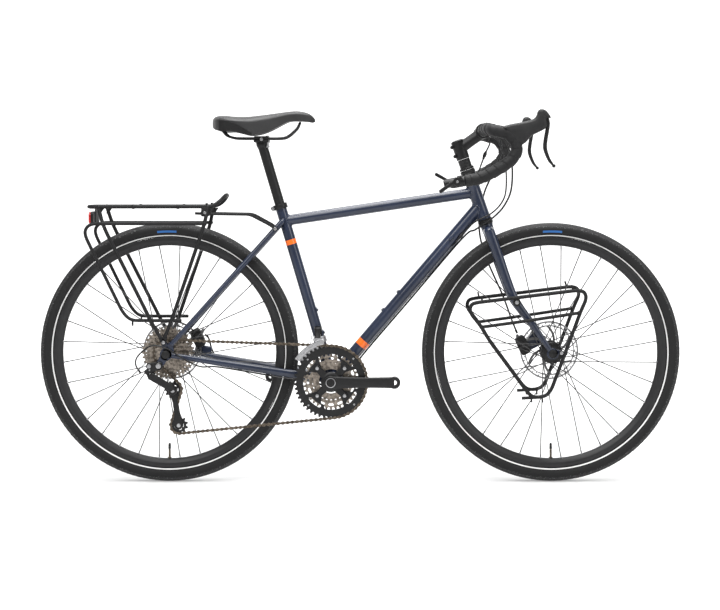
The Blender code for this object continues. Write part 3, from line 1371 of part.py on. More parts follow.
def make_pulley(name, centre):
    plane = cog_plane()
    bore = around(PULLEY_PIN_RADIUS + GAP, 6)
    disc = plate(ring_points(centre, pitch_radius(PULLEY_TEETH) + TOOTH_RISE / 2, 12), plane, PULLEY_DISC)
    half = CAGE_GAP_HALF - 2 * GAP
    hub = cross_rod(*centre, plane - half, plane + half, 0.0070, sides=6)
    hole = cross_rod(*centre, plane - 0.02, plane + 0.02, bore, sides=6)
    return part(name, cut(fuse(disc, hub), hole), "black_plastic", (centre[0], plane, centre[1]))


# Front derailleur

FRONT_CLAMP_SPAN = (0.1045, 0.1205)
FRONT_CLAMP_RADIUS = 0.0185
FRONT_PIVOT = Vector((-0.0360, -0.0340, 0.1400))
FRONT_LINK_LENGTH = 0.0250
FRONT_LINK_LEAN = math.radians(17)
FRONT_LINK_RADIUS = 0.0042
FRONT_LINK_HALF = 0.0070
FRONT_EAR_RADIUS = 0.0055
FRONT_EAR_THICKNESS = 0.0025
FRONT_CHEEK_HEIGHT = 0.0090
FRONT_PIN_RADIUS = 0.0022
FRONT_POST_Y = (-0.0205, -0.0060)
FRONT_POST_RISE = 0.0060
FRONT_POST_HEIGHT = 0.036
FRONT_BACK_HEIGHT = 0.0125
FRONT_BACK_RISE = 0.0010
CAGE_INNER_REACH = RING_TEETH[0] * PITCH / (2 * math.pi) + CHAIN_HALF_HEIGHT + 0.0018
CAGE_OUTER_REACH = CAGE_INNER_REACH + 0.0125
FRONT_CAGE_PLATE = 0.0012
FRONT_CAGE_HALF = 0.0056


def front_link_far():
    lean = FRONT_LINK_LEAN
    return FRONT_PIVOT + Vector((0, -math.sin(lean), -math.cos(lean))) * FRONT_LINK_LENGTH


def front_ears(pivot, root):
    """Two ears on cheeks that reach to the plane y = root, and the pin between them along X."""
    inner = FRONT_LINK_HALF + RUNNING
    outer = inner + FRONT_EAR_THICKNESS
    ahead = Vector((1, 0, 0))
    pieces = [rod(pivot - ahead * outer, pivot + ahead * outer, FRONT_PIN_RADIUS, sides=6)]
    for side in (1, -1):
        pieces.append(rod(pivot + ahead * side * inner, pivot + ahead * side * outer, FRONT_EAR_RADIUS,
                          sides=6))
        cheek = (pivot.x + side * (inner + outer) / 2, (pivot.y + root) / 2, pivot.z)
        pieces.append(block(cheek, (0.8 * FRONT_EAR_THICKNESS, abs(root - pivot.y), FRONT_CHEEK_HEIGHT)))
    return pieces, outer


def make_front_clamp():
    """A band round the seat tube with a post that carries the link's upper ears."""
    low, high = FRONT_CLAMP_SPAN
    band = rod(along_seat(low), along_seat(high), FRONT_CLAMP_RADIUS, sides=TUBE_SIDES)
    ears, outer = front_ears(FRONT_PIVOT, (FRONT_POST_Y[0] + FRONT_POST_Y[1]) / 2)
    x, y, z = FRONT_PIVOT
    post = block((x, (FRONT_POST_Y[0] + FRONT_POST_Y[1]) / 2, z + FRONT_POST_RISE - FRONT_POST_HEIGHT / 2),
                 (2 * outer, FRONT_POST_Y[1] - FRONT_POST_Y[0], FRONT_POST_HEIGHT))
    hole = rod(along_seat(low - 0.02), along_seat(high + 0.06), sleeve(SEAT_TUBE_RADIUS, TUBE_SIDES),
               sides=TUBE_SIDES)
    return part("front_derailleur_clamp", cut(fuse(band, post, *ears), hole), "silver_metal")


def make_front_link():
    far = front_link_far()
    bore = around(FRONT_PIN_RADIUS + GAP, 6)
    ends = ((FRONT_PIVOT.y, FRONT_PIVOT.z), (far.y, far.z))
    flat = plate(capsule(*ends, FRONT_LINK_RADIUS, FRONT_LINK_RADIUS, 4), 0, 2 * FRONT_LINK_HALF,
                 [ring_points(end, bore, 6) for end in ends])
    flat.data.transform(Matrix.Translation((FRONT_PIVOT.x, 0, 0)) @ Matrix.Rotation(math.pi / 2, 4, "Z"))
    return part("front_derailleur_link", freeze(flat), "silver_metal", FRONT_PIVOT)


def band_outline(near, far, start, end, count):
    """The outline of part of a ring round the bottom bracket, angles in degrees."""
    return arc_points((0, 0), far, start, end, count) + arc_points((0, 0), near, end, start, count)


def make_front_cage():
    """Two curved plates over the outer ring, joined by a bridge above and a pin at the tail."""
    plane = RING_PLANES[0]
    step = FRONT_CAGE_HALF + FRONT_CAGE_PLATE / 2
    outer = plate(band_outline(CAGE_INNER_REACH, CAGE_OUTER_REACH, 100, 140, 4), plane - step,
                  FRONT_CAGE_PLATE)
    pieces = [plate(band_outline(CAGE_INNER_REACH - 0.013, CAGE_OUTER_REACH, 100, 140, 4), plane + step,
                    FRONT_CAGE_PLATE),
              plate(band_outline(CAGE_OUTER_REACH - 0.002, CAGE_OUTER_REACH, 100, 112, 3), plane,
                    2 * step)]
    tail = math.radians(136)
    reach = (CAGE_INNER_REACH + CAGE_OUTER_REACH) / 2
    pieces.append(cross_rod(reach * math.cos(tail), reach * math.sin(tail), plane - step, plane + step,
                            0.0020, sides=6))
    far = front_link_far()
    back = far.y - FRONT_LINK_RADIUS - 2 * RUNNING
    inner_face = plane + FRONT_CAGE_HALF
    ears, ear_end = front_ears(far, (back + inner_face) / 2)
    pieces.append(block((far.x, (back + inner_face) / 2, far.z + FRONT_BACK_RISE - FRONT_BACK_HEIGHT / 2),
                        (2 * ear_end, back - inner_face, FRONT_BACK_HEIGHT)))
    return part("front_derailleur_cage", fuse(outer, *pieces, *ears), "silver_metal", far)


def make_derailleurs():
    make_rd_body()
    make_rd_link()
    make_rd_knuckle()
    make_rd_cage()
    make_pulley("guide_pulley", GUIDE_PULLEY_CENTRE)
    make_pulley("tension_pulley", TENSION_PULLEY_CENTRE)
    make_front_clamp()
    make_front_link()
    make_front_cage()


# Disc brakes

REAR_ROTOR_PLANE = REAR_HUB_HALF - ROTOR_INSET
CALIPER_SLOT = 0.0032
ARM_PIN_RADIUS = 0.0030
ARM_LENGTH = 0.0220
ARM_THICKNESS = 0.0035
ARM_BOSS = 0.0056
REAR_ARM_PIVOT = (REAR_CALIPER[0] + 0.001, REAR_CALIPER[1] + 0.002)
REAR_ARM_ANGLE = math.radians(58)
FRONT_ARM_PIVOT = (FRONT_CALIPER[0] - 0.008, FRONT_CALIPER[1] + 0.002)
FRONT_ARM_ANGLE = math.radians(105)


def make_caliper(name, centre, plane, axle_x, pivot, mount=None):
    """The caliper's body, slotted round the disc, with a socket for its arm's pin."""
    body = block((centre[0], plane, centre[1]), CALIPER_SIZE, CALIPER_TURN)
    slot = cross_rod(axle_x, AXLE_Z, plane - CALIPER_SLOT / 2, plane + CALIPER_SLOT / 2,
                     around(ROTOR_RADIUS + 0.0010, 24), sides=24)
    face = plane + CALIPER_SIZE[1] / 2
    socket = cross_rod(*pivot, face - 0.0075, face + 0.01, around(ARM_PIN_RADIUS + GAP, 8), sides=8)
    cutters = [slot, socket]
    if mount is not None:
        place, size, turn = mount
        cutters.append(block(place, [s + 2 * GAP for s in size], turn))
    return part(name, cut(body, *cutters), "black_metal")


def arm_tip(pivot, angle):
    return (pivot[0] + ARM_LENGTH * math.cos(angle), pivot[1] + ARM_LENGTH * math.sin(angle))


def make_brake_arm(name, pivot, angle, plane):
    """The cable's arm outside the caliper, on a pin that turns inside it."""
    face = plane + CALIPER_SIZE[1] / 2
    near = face + ARM_BOSS
    tip = arm_tip(pivot, angle)
    arm = plate(capsule(pivot, tip, 0.0070, 0.0042, 4), near + ARM_THICKNESS / 2, ARM_THICKNESS)
    boss = cross_rod(*pivot, face + RUNNING, near + 0.001, 0.0060, sides=8)
    pin = cross_rod(*pivot, face - 0.0070, face + 0.002, ARM_PIN_RADIUS, sides=8)
    anchor = cross_rod(*tip, near + 0.001, near + ARM_THICKNESS + 0.003, 0.0030, sides=6)
    return part(name, fuse(arm, boss, pin, anchor), "silver_metal", (pivot[0], plane, pivot[1]))


def make_brakes():
    make_caliper("rear_caliper", REAR_CALIPER, REAR_ROTOR_PLANE, REAR_AXLE_X, REAR_ARM_PIVOT,
                 rear_mount())
    make_caliper("front_caliper", FRONT_CALIPER, FRONT_ROTOR_PLANE, FRONT_AXLE_X, FRONT_ARM_PIVOT)
    make_brake_arm("rear_brake_arm", REAR_ARM_PIVOT, REAR_ARM_ANGLE, REAR_ROTOR_PLANE)
    make_brake_arm("front_brake_arm", FRONT_ARM_PIVOT, FRONT_ARM_ANGLE, FRONT_ROTOR_PLANE)


# Cables

HOUSING_RADIUS = 0.0025
SHIFT_HOUSING_RADIUS = 0.0021
WIRE_RADIUS = 0.0009
CABLE_SIDES = 8
UNDER_TUBE = DOWN_TUBE_RADIUS + HOUSING_RADIUS + 2 * GAP
BARE_BELOW_STOP = 0.0115
FRONT_BRAKE_RUN = from_foot((0.0136, 0.0547, 0.6755), (0.0150, 0.0510, 0.6745),
                            (0.0410, 0.0470, 0.6640), (0.0490, 0.0400, 0.6200),
                            (0.0250, 0.0340, 0.5600), (0.0000, 0.0330, 0.5000),
                            (-0.0110, 0.0500, 0.4100), (0.0080, 0.0570, 0.3300),
                            (0.0540, 0.0600, 0.2250), (0.0780, 0.0600, 0.1600))
REAR_BRAKE_RUN = from_foot((0.0136, -0.0547, 0.6755), (0.0150, -0.0510, 0.6745),
                           (0.0470, -0.0490, 0.6600), (0.0700, -0.0430, 0.6000),
                           (0.0710, -0.0330, 0.5200), (0.0500, -0.0290, 0.4700),
                           (0.0150, -0.0300, 0.4350), (-0.0250, -0.0200, 0.4080))
REAR_SHIFT_RUN = from_foot((0.0070, -0.0540, 0.6640), (0.0350, -0.0460, 0.6450),
                           (0.0540, -0.0360, 0.5900), (0.0570, -0.0270, 0.5180),
                           (0.0450, -0.0240, 0.4800), (0.0150, -0.0240, 0.4500),
                           (-0.0250, -0.0255, 0.4300))
FRONT_SHIFT_RUN = from_foot((0.0070, 0.0540, 0.6640), (0.0180, 0.0470, 0.6450),
                            (0.0030, 0.0370, 0.6100), (-0.0170, 0.0290, 0.5500),
                            (-0.0230, 0.0270, 0.4800), (-0.0410, 0.0255, 0.4300))


def down_tube_frame():
    low, high = down_tube_ends()
    down = (high - low).normalized()
    return down, Vector((-down.z, 0, down.x))


def under_down_tube(distance, y):
    """A point on the down tube's underside, so far up from the bottom bracket."""
    down, up = down_tube_frame()
    reach = math.sqrt(UNDER_TUBE ** 2 - y ** 2)
    point = down * distance - up * reach
    return (point.x, y, point.z)


def beside_down_tube(distance, side):
    """A point on the line of the cable stops, on one side of the down tube."""
    point = cable_stop(side) + down_tube_frame()[0] * (distance - CABLE_STOP_AT)
    return tuple(point)


def under_chainstay(x, side, radius):
    """A point just under the chainstay."""
    xs = [p[0] for p in reversed(CHAINSTAY_PATH)]
    y = float(np.interp(x, xs, [p[1] for p in reversed(CHAINSTAY_PATH)]))
    depth = float(np.interp(x, xs, list(reversed(CHAINSTAY_RADII))))
    return (x, side * y, chainstay_height(x) - depth - radius - 2 * RUNNING)


def make_cable(name, line, radius, thin=(), pivot=None):
    """A cable along a smooth run of points; spans of x and z given as thin are bare wire."""
    points = smooth(line, math.radians(50))
    radii = []
    for x, y, z in points:
        bare = any(x0 <= x <= x1 and z0 <= z <= z1 for x0, x1, z0, z1 in thin)
        radii.append(WIRE_RADIUS if bare else radius)
    return part(name, tube(points, radius, CABLE_SIDES, radii), "cable_black", pivot)


def make_cables():
    tip = arm_tip(FRONT_ARM_PIVOT, FRONT_ARM_ANGLE)
    arm_plane = FRONT_ROTOR_PLANE + CALIPER_SIZE[1] / 2 + ARM_BOSS + ARM_THICKNESS / 2
    front_brake = [*FRONT_BRAKE_RUN, (tip[0] - 0.001, arm_plane, tip[1] + 0.008)]
    make_cable("front_brake_housing", front_brake, HOUSING_RADIUS, pivot=HEAD_FOOT)

    tip = arm_tip(REAR_ARM_PIVOT, REAR_ARM_ANGLE)
    arm_plane = REAR_ROTOR_PLANE + CALIPER_SIZE[1] / 2 + ARM_BOSS + ARM_THICKNESS / 2
    rear_brake = list(REAR_BRAKE_RUN)
    rear_brake += [under_down_tube(d, 0.0) for d in (0.520, 0.300, 0.120)]
    rear_brake += [(0.0400, 0.0060, 0.0080), (0.0180, 0.0100, -0.0215), (-0.0110, 0.0140, -0.0260),
                   (-0.0350, 0.0230, -0.0150)]
    rear_brake += [under_chainstay(x, 1, HOUSING_RADIUS) for x in (-0.070, -0.180, -0.290)]
    rear_brake += [(-0.3200, 0.0720, 0.0480), (-0.3350, 0.0770, 0.0750), (-0.3440, 0.0760, 0.1050),
                   (tip[0] + 0.004, arm_plane + 0.003, tip[1] - 0.010)]
    make_cable("rear_brake_housing", rear_brake, HOUSING_RADIUS)

    rear_shift = list(REAR_SHIFT_RUN)
    rear_shift += [beside_down_tube(d, -1) for d in (0.545, 0.520, 0.494, 0.486, 0.250, 0.080)]
    rear_shift += [(0.0360, -0.0180, 0.0060), (0.0140, -0.0130, -0.0230), (-0.0120, -0.0150, -0.0260),
                   (-0.0350, -0.0230, -0.0140)]
    rear_shift += [under_chainstay(x, -1, SHIFT_HOUSING_RADIUS)
                   for x in (-0.070, -0.150, -0.170, -0.300)]
    rear_shift += [(-0.3500, -0.0690, 0.0430), (-0.3950, -0.0790, 0.0660), (-0.4402, -0.0790, 0.0935),
                   (-0.4807, -0.0785, 0.0984), (-0.5147, -0.0785, 0.0712), (-0.5200, -0.0780, 0.0480),
                   (-0.5080, -0.0770, 0.0270)]
    stop = cable_stop(-1)
    bare = (-0.160, stop.x, -0.030, stop.z - BARE_BELOW_STOP)
    make_cable("rear_shift_cable", rear_shift, SHIFT_HOUSING_RADIUS, thin=(bare,))

    front_shift = list(FRONT_SHIFT_RUN)
    front_shift += [beside_down_tube(d, 1) for d in (0.545, 0.520, 0.494, 0.486, 0.250, 0.080)]
    front_shift += [(0.0300, 0.0170, 0.0150), (0.0210, 0.0120, -0.0090), (0.0060, 0.0040, -0.0220),
                    (-0.0100, -0.0020, -0.0205), (-0.0250, -0.0070, -0.0070),
                    (-0.0400, -0.0120, 0.0120), (-0.0480, -0.0170, 0.0500), (-0.0560, -0.0230, 0.0950),
                    (-0.0520, -0.0300, 0.1240)]
    stop = cable_stop(1)
    bare = (-0.080, stop.x, -0.030, stop.z - BARE_BELOW_STOP)
    make_cable("front_shift_cable", front_shift, SHIFT_HOUSING_RADIUS, thin=(bare,))


# Racks

LOWRIDER_LOOP = from_foot((-0.0290, 0.2140), (0.2450, 0.2475), (0.2630, 0.2430), (0.2680, 0.2250),
                          (0.2540, 0.1950), (0.1980, 0.0450), (0.1730, -0.0200), (0.1590, -0.0350),
                          (0.1310, -0.0390), (0.1150, -0.0310), (0.0100, 0.1110), (-0.0120, 0.1490),
                          (-0.0440, 0.1890), (-0.0410, 0.2080))
LOWRIDER_RAIL = from_foot((-0.0120, 0.1490), (0.1040, 0.1650), (0.2490, 0.1870))
LOWRIDER_FOOT_PLATE = from_foot((0.2120, 0.0780))[0]
RACK_SIDES = 6


def from_deck(*points):
    """Points whose last value is given from the height of the rack's deck."""
    return tuple((*point[:-1], RACK_DECK_HEIGHT + point[-1]) for point in points)


RACK_FOOT_PLANE = REAR_HUB_HALF + DROPOUT_THICKNESS + RUNNING + 0.0025
RACK_FOOT_THICKNESS = 0.0050
RACK_DECK_LINE = from_deck((-0.2810, 0.0000, 0.0320), (-0.2850, 0.0360, 0.0280),
                           (-0.3000, 0.0540, 0.0150), (-0.3250, 0.0600, 0.0010),
                           (-0.6380, 0.0600, 0.0000), (-0.6530, 0.0460, 0.0000))
RACK_CROSS_BARS = (-0.4100, -0.5294)
RACK_FRONT_LEG = (*from_deck((-0.3300, 0.060, -0.0010), (-0.3370, 0.071, -0.0450)),
                  (-0.4230, 0.073, 0.1730), (-0.4420, 0.076, 0.1240))
RACK_REAR_LEG = (*from_deck((-0.6230, 0.060, -0.0010), (-0.6090, 0.071, -0.0500)),
                 (-0.4700, 0.074, 0.1450), (-0.4540, 0.076, 0.1200))
RACK_SIDE_LOOP = (*from_deck((-0.3370, -0.0450), (-0.6400, -0.0450), (-0.6560, -0.0580),
                             (-0.6570, -0.0770)),
                  (-0.5560, 0.1870), (-0.5340, 0.1660), (-0.3990, 0.1660))
RACK_STAY = (*from_deck((-0.3300, 0.060, -0.0010), (-0.3050, 0.058, -0.0160), (-0.2180, 0.047, -0.0200)),
             (-0.1640, 0.039, 0.4200))
STAY_EYE_THICKNESS = 0.0045
STAY_EYE_RADIUS = 0.0065
REFLECTOR_FACE = -0.6400
REFLECTOR_SIZE = (0.0130, 0.092, 0.034)
REFLECTOR_SHELF = (0.0160, 0.036, 0.0030)
REFLECTOR_PLATE = (0.0020, 0.044, 0.0400)


def make_lowrider(name, side):
    """A closed loop and a rail in one plane, on one bolt to the blade and one at the dropout."""
    plane = side * LOWRIDER_PLANE
    loop = tube([(x, plane, z) for x, z in LOWRIDER_LOOP], RACK_TUBE_RADIUS, RACK_SIDES, closed=True)
    pieces = [tube([(x, plane, z) for x, z in LOWRIDER_RAIL], RACK_TUBE_RADIUS * 0.9, RACK_SIDES)]
    pieces.append(cross_rod(*FORK_BOSS, side * (FORK_BOSS_FACE + GAP), plane + side * 0.003, 0.0055,
                            sides=6))
    pieces.append(cross_rod(*FORK_BOSS, plane - side * 0.0022, plane + side * 0.0022, 0.0105, sides=8))
    eyelet_face = FRONT_HUB_HALF + DROPOUT_THICKNESS - 0.0005
    pieces.append(cross_rod(*FORK_EYELET, side * (eyelet_face + GAP), plane + side * 0.003, 0.0048,
                            sides=6))
    pieces.append(plate(capsule(FORK_EYELET, LOWRIDER_FOOT_PLATE, 0.0075, 0.0060, 3), plane, 0.0044))
    return part(name, fuse(loop, *pieces), "black_metal", HEAD_FOOT)


def rack_side(side):
    """The legs, pannier rail, forward stay and feet of one side."""
    def placed(line):
        return [(x, side * y, z) for x, y, z in line]

    pieces = [tube(placed(RACK_FRONT_LEG), RACK_TUBE_RADIUS, RACK_SIDES),
              tube(placed(RACK_REAR_LEG), RACK_TUBE_RADIUS, RACK_SIDES),
              tube([(x, side * RACK_LOOP_HALF_WIDTH, z) for x, z in RACK_SIDE_LOOP],
                   RACK_TUBE_RADIUS * 0.9, RACK_SIDES)]
    discs = [(RACK_EYELET, 0.0068)]
    discs += [((leg[-1][0], leg[-1][2] + 0.004), 0.0052) for leg in (RACK_FRONT_LEG, RACK_REAR_LEG)]
    pieces.append(plate(outline_round(discs, 8), side * RACK_FOOT_PLANE, RACK_FOOT_THICKNESS))
    eye = seatstay_point(STAY_BRAZE_ON, side)
    plane = side * (abs(eye.y) + BRAZE_ON_REACH + GAP + STAY_EYE_THICKNESS / 2)
    stay = placed(RACK_STAY) + [(eye.x - 0.004, plane, eye.z + 0.003)]
    pieces.append(tube(stay, RACK_TUBE_RADIUS * 0.9, RACK_SIDES))
    pieces.append(cross_rod(eye.x, eye.z, plane - STAY_EYE_THICKNESS / 2, plane + STAY_EYE_THICKNESS / 2,
                            STAY_EYE_RADIUS, sides=6))
    return pieces


def make_rear_rack():
    right = [(x, -y, z) for x, y, z in reversed(RACK_DECK_LINE[1:])]
    deck = tube(list(RACK_DECK_LINE) + right, RACK_TUBE_RADIUS, RACK_SIDES, closed=True)
    pieces = rack_side(1) + rack_side(-1)
    for x in RACK_CROSS_BARS:
        pieces.append(cross_rod(x, RACK_DECK_HEIGHT - 0.0009, -RACK_DECK_HALF_WIDTH - 0.0007,
                                RACK_DECK_HALF_WIDTH + 0.0007, 0.0039, sides=5))
    pieces.append(block((REFLECTOR_FACE - 0.0062, 0, RACK_DECK_HEIGHT - 0.0045), REFLECTOR_SHELF))
    pieces.append(block((REFLECTOR_FACE + REFLECTOR_PLATE[0] / 2, 0, RACK_DECK_HEIGHT - 0.0240),
                        REFLECTOR_PLATE))
    return part("rear_rack", fuse(deck, *pieces), "black_metal")


def make_reflector():
    centre = (REFLECTOR_FACE - GAP - REFLECTOR_SIZE[0] / 2, 0, RACK_DECK_HEIGHT - 0.0300)
    return part("rack_reflector", block(centre, REFLECTOR_SIZE, bevel=0.003), "red_lens")


def make_racks():
    make_lowrider("lowrider_left", 1)
    make_lowrider("lowrider_right", -1)
    make_rear_rack()
    make_reflector()


def main():
    clear_scene()
    make_frame()
    make_seat_clamp()
    make_headset_cup("headset_upper_cup", along_head(HEAD_TUBE_LENGTH), HEAD_DIRECTION, UPPER_CUP_HEIGHT)
    make_headset_cup("headset_lower_cup", along_head(0), -HEAD_DIRECTION, LOWER_CUP_HEIGHT)
    make_bottom_bracket()
    make_wheels()
    make_rings()
    make_crank_right()
    make_crank_left()
    make_cassette()
    make_chain()
    make_cockpit()
    make_seat()
    make_derailleurs()
    make_brakes()
    make_cables()
    make_racks()
    workbench = bpy.data.collections[WORKBENCH]
    for obj in list(workbench.objects):
        bpy.data.objects.remove(obj)
    bpy.data.collections.remove(workbench)


if __name__ == "__main__":
    main()
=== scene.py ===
"""Touring road bicycle: the visible pieces and their finishes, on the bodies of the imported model.

Metres, +X forward, +Y to the rider's left, +Z up, with the origin at the centre of
the bottom bracket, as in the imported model.
"""
import json
import math

import bmesh
import bpy
import numpy as np
from mathutils import Matrix

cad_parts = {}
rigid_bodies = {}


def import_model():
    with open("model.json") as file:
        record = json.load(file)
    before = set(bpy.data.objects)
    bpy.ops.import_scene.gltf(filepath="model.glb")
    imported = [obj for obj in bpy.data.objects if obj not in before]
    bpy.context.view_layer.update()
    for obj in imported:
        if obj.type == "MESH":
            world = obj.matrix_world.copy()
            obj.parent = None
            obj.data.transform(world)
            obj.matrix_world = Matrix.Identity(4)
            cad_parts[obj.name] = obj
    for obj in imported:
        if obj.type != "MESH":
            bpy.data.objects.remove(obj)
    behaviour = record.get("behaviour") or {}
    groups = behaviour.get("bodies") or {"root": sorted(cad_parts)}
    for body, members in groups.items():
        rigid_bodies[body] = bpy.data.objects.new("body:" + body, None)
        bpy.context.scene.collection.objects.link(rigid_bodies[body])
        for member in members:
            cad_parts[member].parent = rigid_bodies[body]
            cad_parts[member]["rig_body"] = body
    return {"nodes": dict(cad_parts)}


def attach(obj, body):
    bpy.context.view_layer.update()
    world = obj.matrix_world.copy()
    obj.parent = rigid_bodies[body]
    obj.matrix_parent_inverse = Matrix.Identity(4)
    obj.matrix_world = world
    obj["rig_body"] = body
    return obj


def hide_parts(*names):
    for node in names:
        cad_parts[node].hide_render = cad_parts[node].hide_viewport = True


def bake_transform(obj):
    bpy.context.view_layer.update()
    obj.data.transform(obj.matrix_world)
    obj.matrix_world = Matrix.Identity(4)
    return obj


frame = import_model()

bl_info = {
    "name": "Touring Road Bicycle",
    "version": (1, 0, 0),
    "blender": (4, 5, 0),
    "location": "View3D > Sidebar > Bicycle",
    "description": "Builds the pieces of a touring road bicycle on its moving bodies",
    "category": "Add Mesh",
}

X_AXIS = np.array((1.0, 0.0, 0.0))
Y_AXIS = np.array((0.0, 1.0, 0.0))
Z_AXIS = np.array((0.0, 0.0, 1.0))


# Arrays

def unit(v):
    """Each vector divided by its own length."""
    v = np.asarray(v, float)
    return v / np.maximum(np.linalg.norm(v, axis=-1, keepdims=True), 1e-12)


def basis(axis):
    """Two unit vectors across an axis, and the axis itself."""
    axis = unit(axis)
    helper = Z_AXIS if abs(axis[2]) < 0.9 else X_AXIS
    across = unit(np.cross(helper, axis))
    return across, np.cross(axis, across), axis


def turns(count):
    """Even steps round a full turn, in radians."""
    return 2 * np.pi * np.arange(count) / count


def circle(angle):
    """Points of the unit circle at the given angles."""
    return np.stack([np.cos(angle), np.sin(angle)], axis=1)


def ring(sides):
    """Points of the unit circle at even steps."""
    return circle(turns(sides))


def oblong(half_a, half_b, corner, count):
    """A rectangle across a path whose corners are quarter circles."""
    turn = np.linspace(0, np.pi / 2, count)
    quarter = [(sa * (half_a - corner), sb * (half_b - corner), at)
               for sa, sb, at in ((1, 1, 0), (-1, 1, 1), (-1, -1, 2), (1, -1, 3))]
    parts = [np.stack([a + corner * np.cos(turn + k * np.pi / 2),
                       b + corner * np.sin(turn + k * np.pi / 2)], axis=1) for a, b, k in quarter]
    return np.concatenate(parts)


def eased(line, reach, count, closed):
    """Each corner replaced by a parabola from a point on one side of it to a point on the other."""
    p = np.asarray(line, float)
    before = np.roll(p, 1, axis=0) - p
    after = np.roll(p, -1, axis=0) - p
    reach_a = np.minimum(reach, 0.48 * np.linalg.norm(before, axis=1))[:, None]
    reach_b = np.minimum(reach, 0.48 * np.linalg.norm(after, axis=1))[:, None]
    a = p + unit(before) * reach_a
    b = p + unit(after) * reach_b
    t = np.linspace(0, 1, count)[:, None, None]
    bends = (1 - t) ** 2 * a + 2 * t * (1 - t) * p + t ** 2 * b
    bends = bends.transpose(1, 0, 2)
    if closed:
        return bends.reshape(-1, p.shape[1])
    inner = bends[1:-1].reshape(-1, p.shape[1])
    return np.concatenate([p[:1], inner, p[-1:]])


def spline(points, per, closed=False):
    """The smooth curve (Catmull-Rom) through all the points, with so many steps in each span."""
    p = np.asarray(points, float)
    if closed:
        a, b, c, d = np.roll(p, 1, 0), p, np.roll(p, -1, 0), np.roll(p, -2, 0)
    else:
        full = np.concatenate([2 * p[:1] - p[1:2], p, 2 * p[-1:] - p[-2:-1]])
        a, b, c, d = full[:-3], full[1:-2], full[2:-1], full[3:]
    t = (np.arange(per) / per)[None, :, None]
    a, b, c, d = (v[:, None, :] for v in (a, b, c, d))
    out = 0.5 * (2 * b + (c - a) * t + (2 * a - 5 * b + 4 * c - d) * t ** 2
                 + (3 * b - a - 3 * c + d) * t ** 3)
    out = out.reshape(-1, p.shape[1])
    return out if closed else np.concatenate([out, p[-1:]])


def spaced(path, step, closed=False):
    """Points at even distances along a path."""
    p = np.asarray(path, float)
    if closed:
        p = np.concatenate([p, p[:1]])
    along = np.concatenate([[0], np.cumsum(np.linalg.norm(np.diff(p, axis=0), axis=1))])
    count = max(2, int(round(along[-1] / step)))
    wanted = np.linspace(0, along[-1], count + 1)
    out = np.stack([np.interp(wanted, along, p[:, k]) for k in range(p.shape[1])], axis=1)
    return out[:-1] if closed else out


def arc(centre, radius, start, end, count):
    """An arc in the XZ plane as pairs, angles in degrees."""
    return np.add(centre, radius * circle(np.radians(np.linspace(start, end, count))))


def polar(radius, angle, y):
    """A point at a radius and an angle about Y, from +X towards +Z, and a place along Y."""
    return np.array((radius * np.cos(angle), y, radius * np.sin(angle)))


def at_y(outline, y):
    """Pairs of the XZ plane as points at a place along Y."""
    return np.insert(np.asarray(outline, float), 1, y, axis=1)


def around(angle, centre, part):
    """Degrees from an angle in radians to the nearest of the marks that repeat after each part."""
    return (np.degrees(angle) - centre + part / 2) % part - part / 2


def mirrored(profile):
    """A turned profile and its mirror image; a point at height zero is not repeated."""
    return [*profile, *[(r, -h) for r, h in reversed(profile) if h]]


def capsule(a, b, radius_a, radius_b, count=12):
    """The outline round two circles of the XZ plane."""
    heading = math.degrees(math.atan2(b[1] - a[1], b[0] - a[0]))
    return np.concatenate([arc(a, radius_a, heading + 90, heading + 270, count),
                           arc(b, radius_b, heading - 90, heading + 90, count)])


def drawn_in(loop, by):
    """A closed outline with every side moved inwards by the same distance."""
    ahead = unit(np.roll(loop, -1, 0) - loop)
    behind = unit(loop - np.roll(loop, 1, 0))
    area = np.sum(loop[:, 0] * np.roll(loop[:, 1], -1) - np.roll(loop[:, 0], -1) * loop[:, 1])
    way = 1.0 if area > 0 else -1.0
    normal = unit(np.stack([-(ahead + behind)[:, 1], (ahead + behind)[:, 0]], axis=1)) * way
    lean = np.maximum(np.sum(ahead * unit(ahead + behind), axis=1), 0.5)
    return loop + normal * (by / lean)[:, None]


def bump(x, centre, half, soft):
    """A smooth rise to 1 within half of the centre, falling to 0 over the soft distance."""
    t = np.clip((half + soft - np.abs(x - centre)) / soft, 0, 1)
    return t * t * (3 - 2 * t)


# Pieces

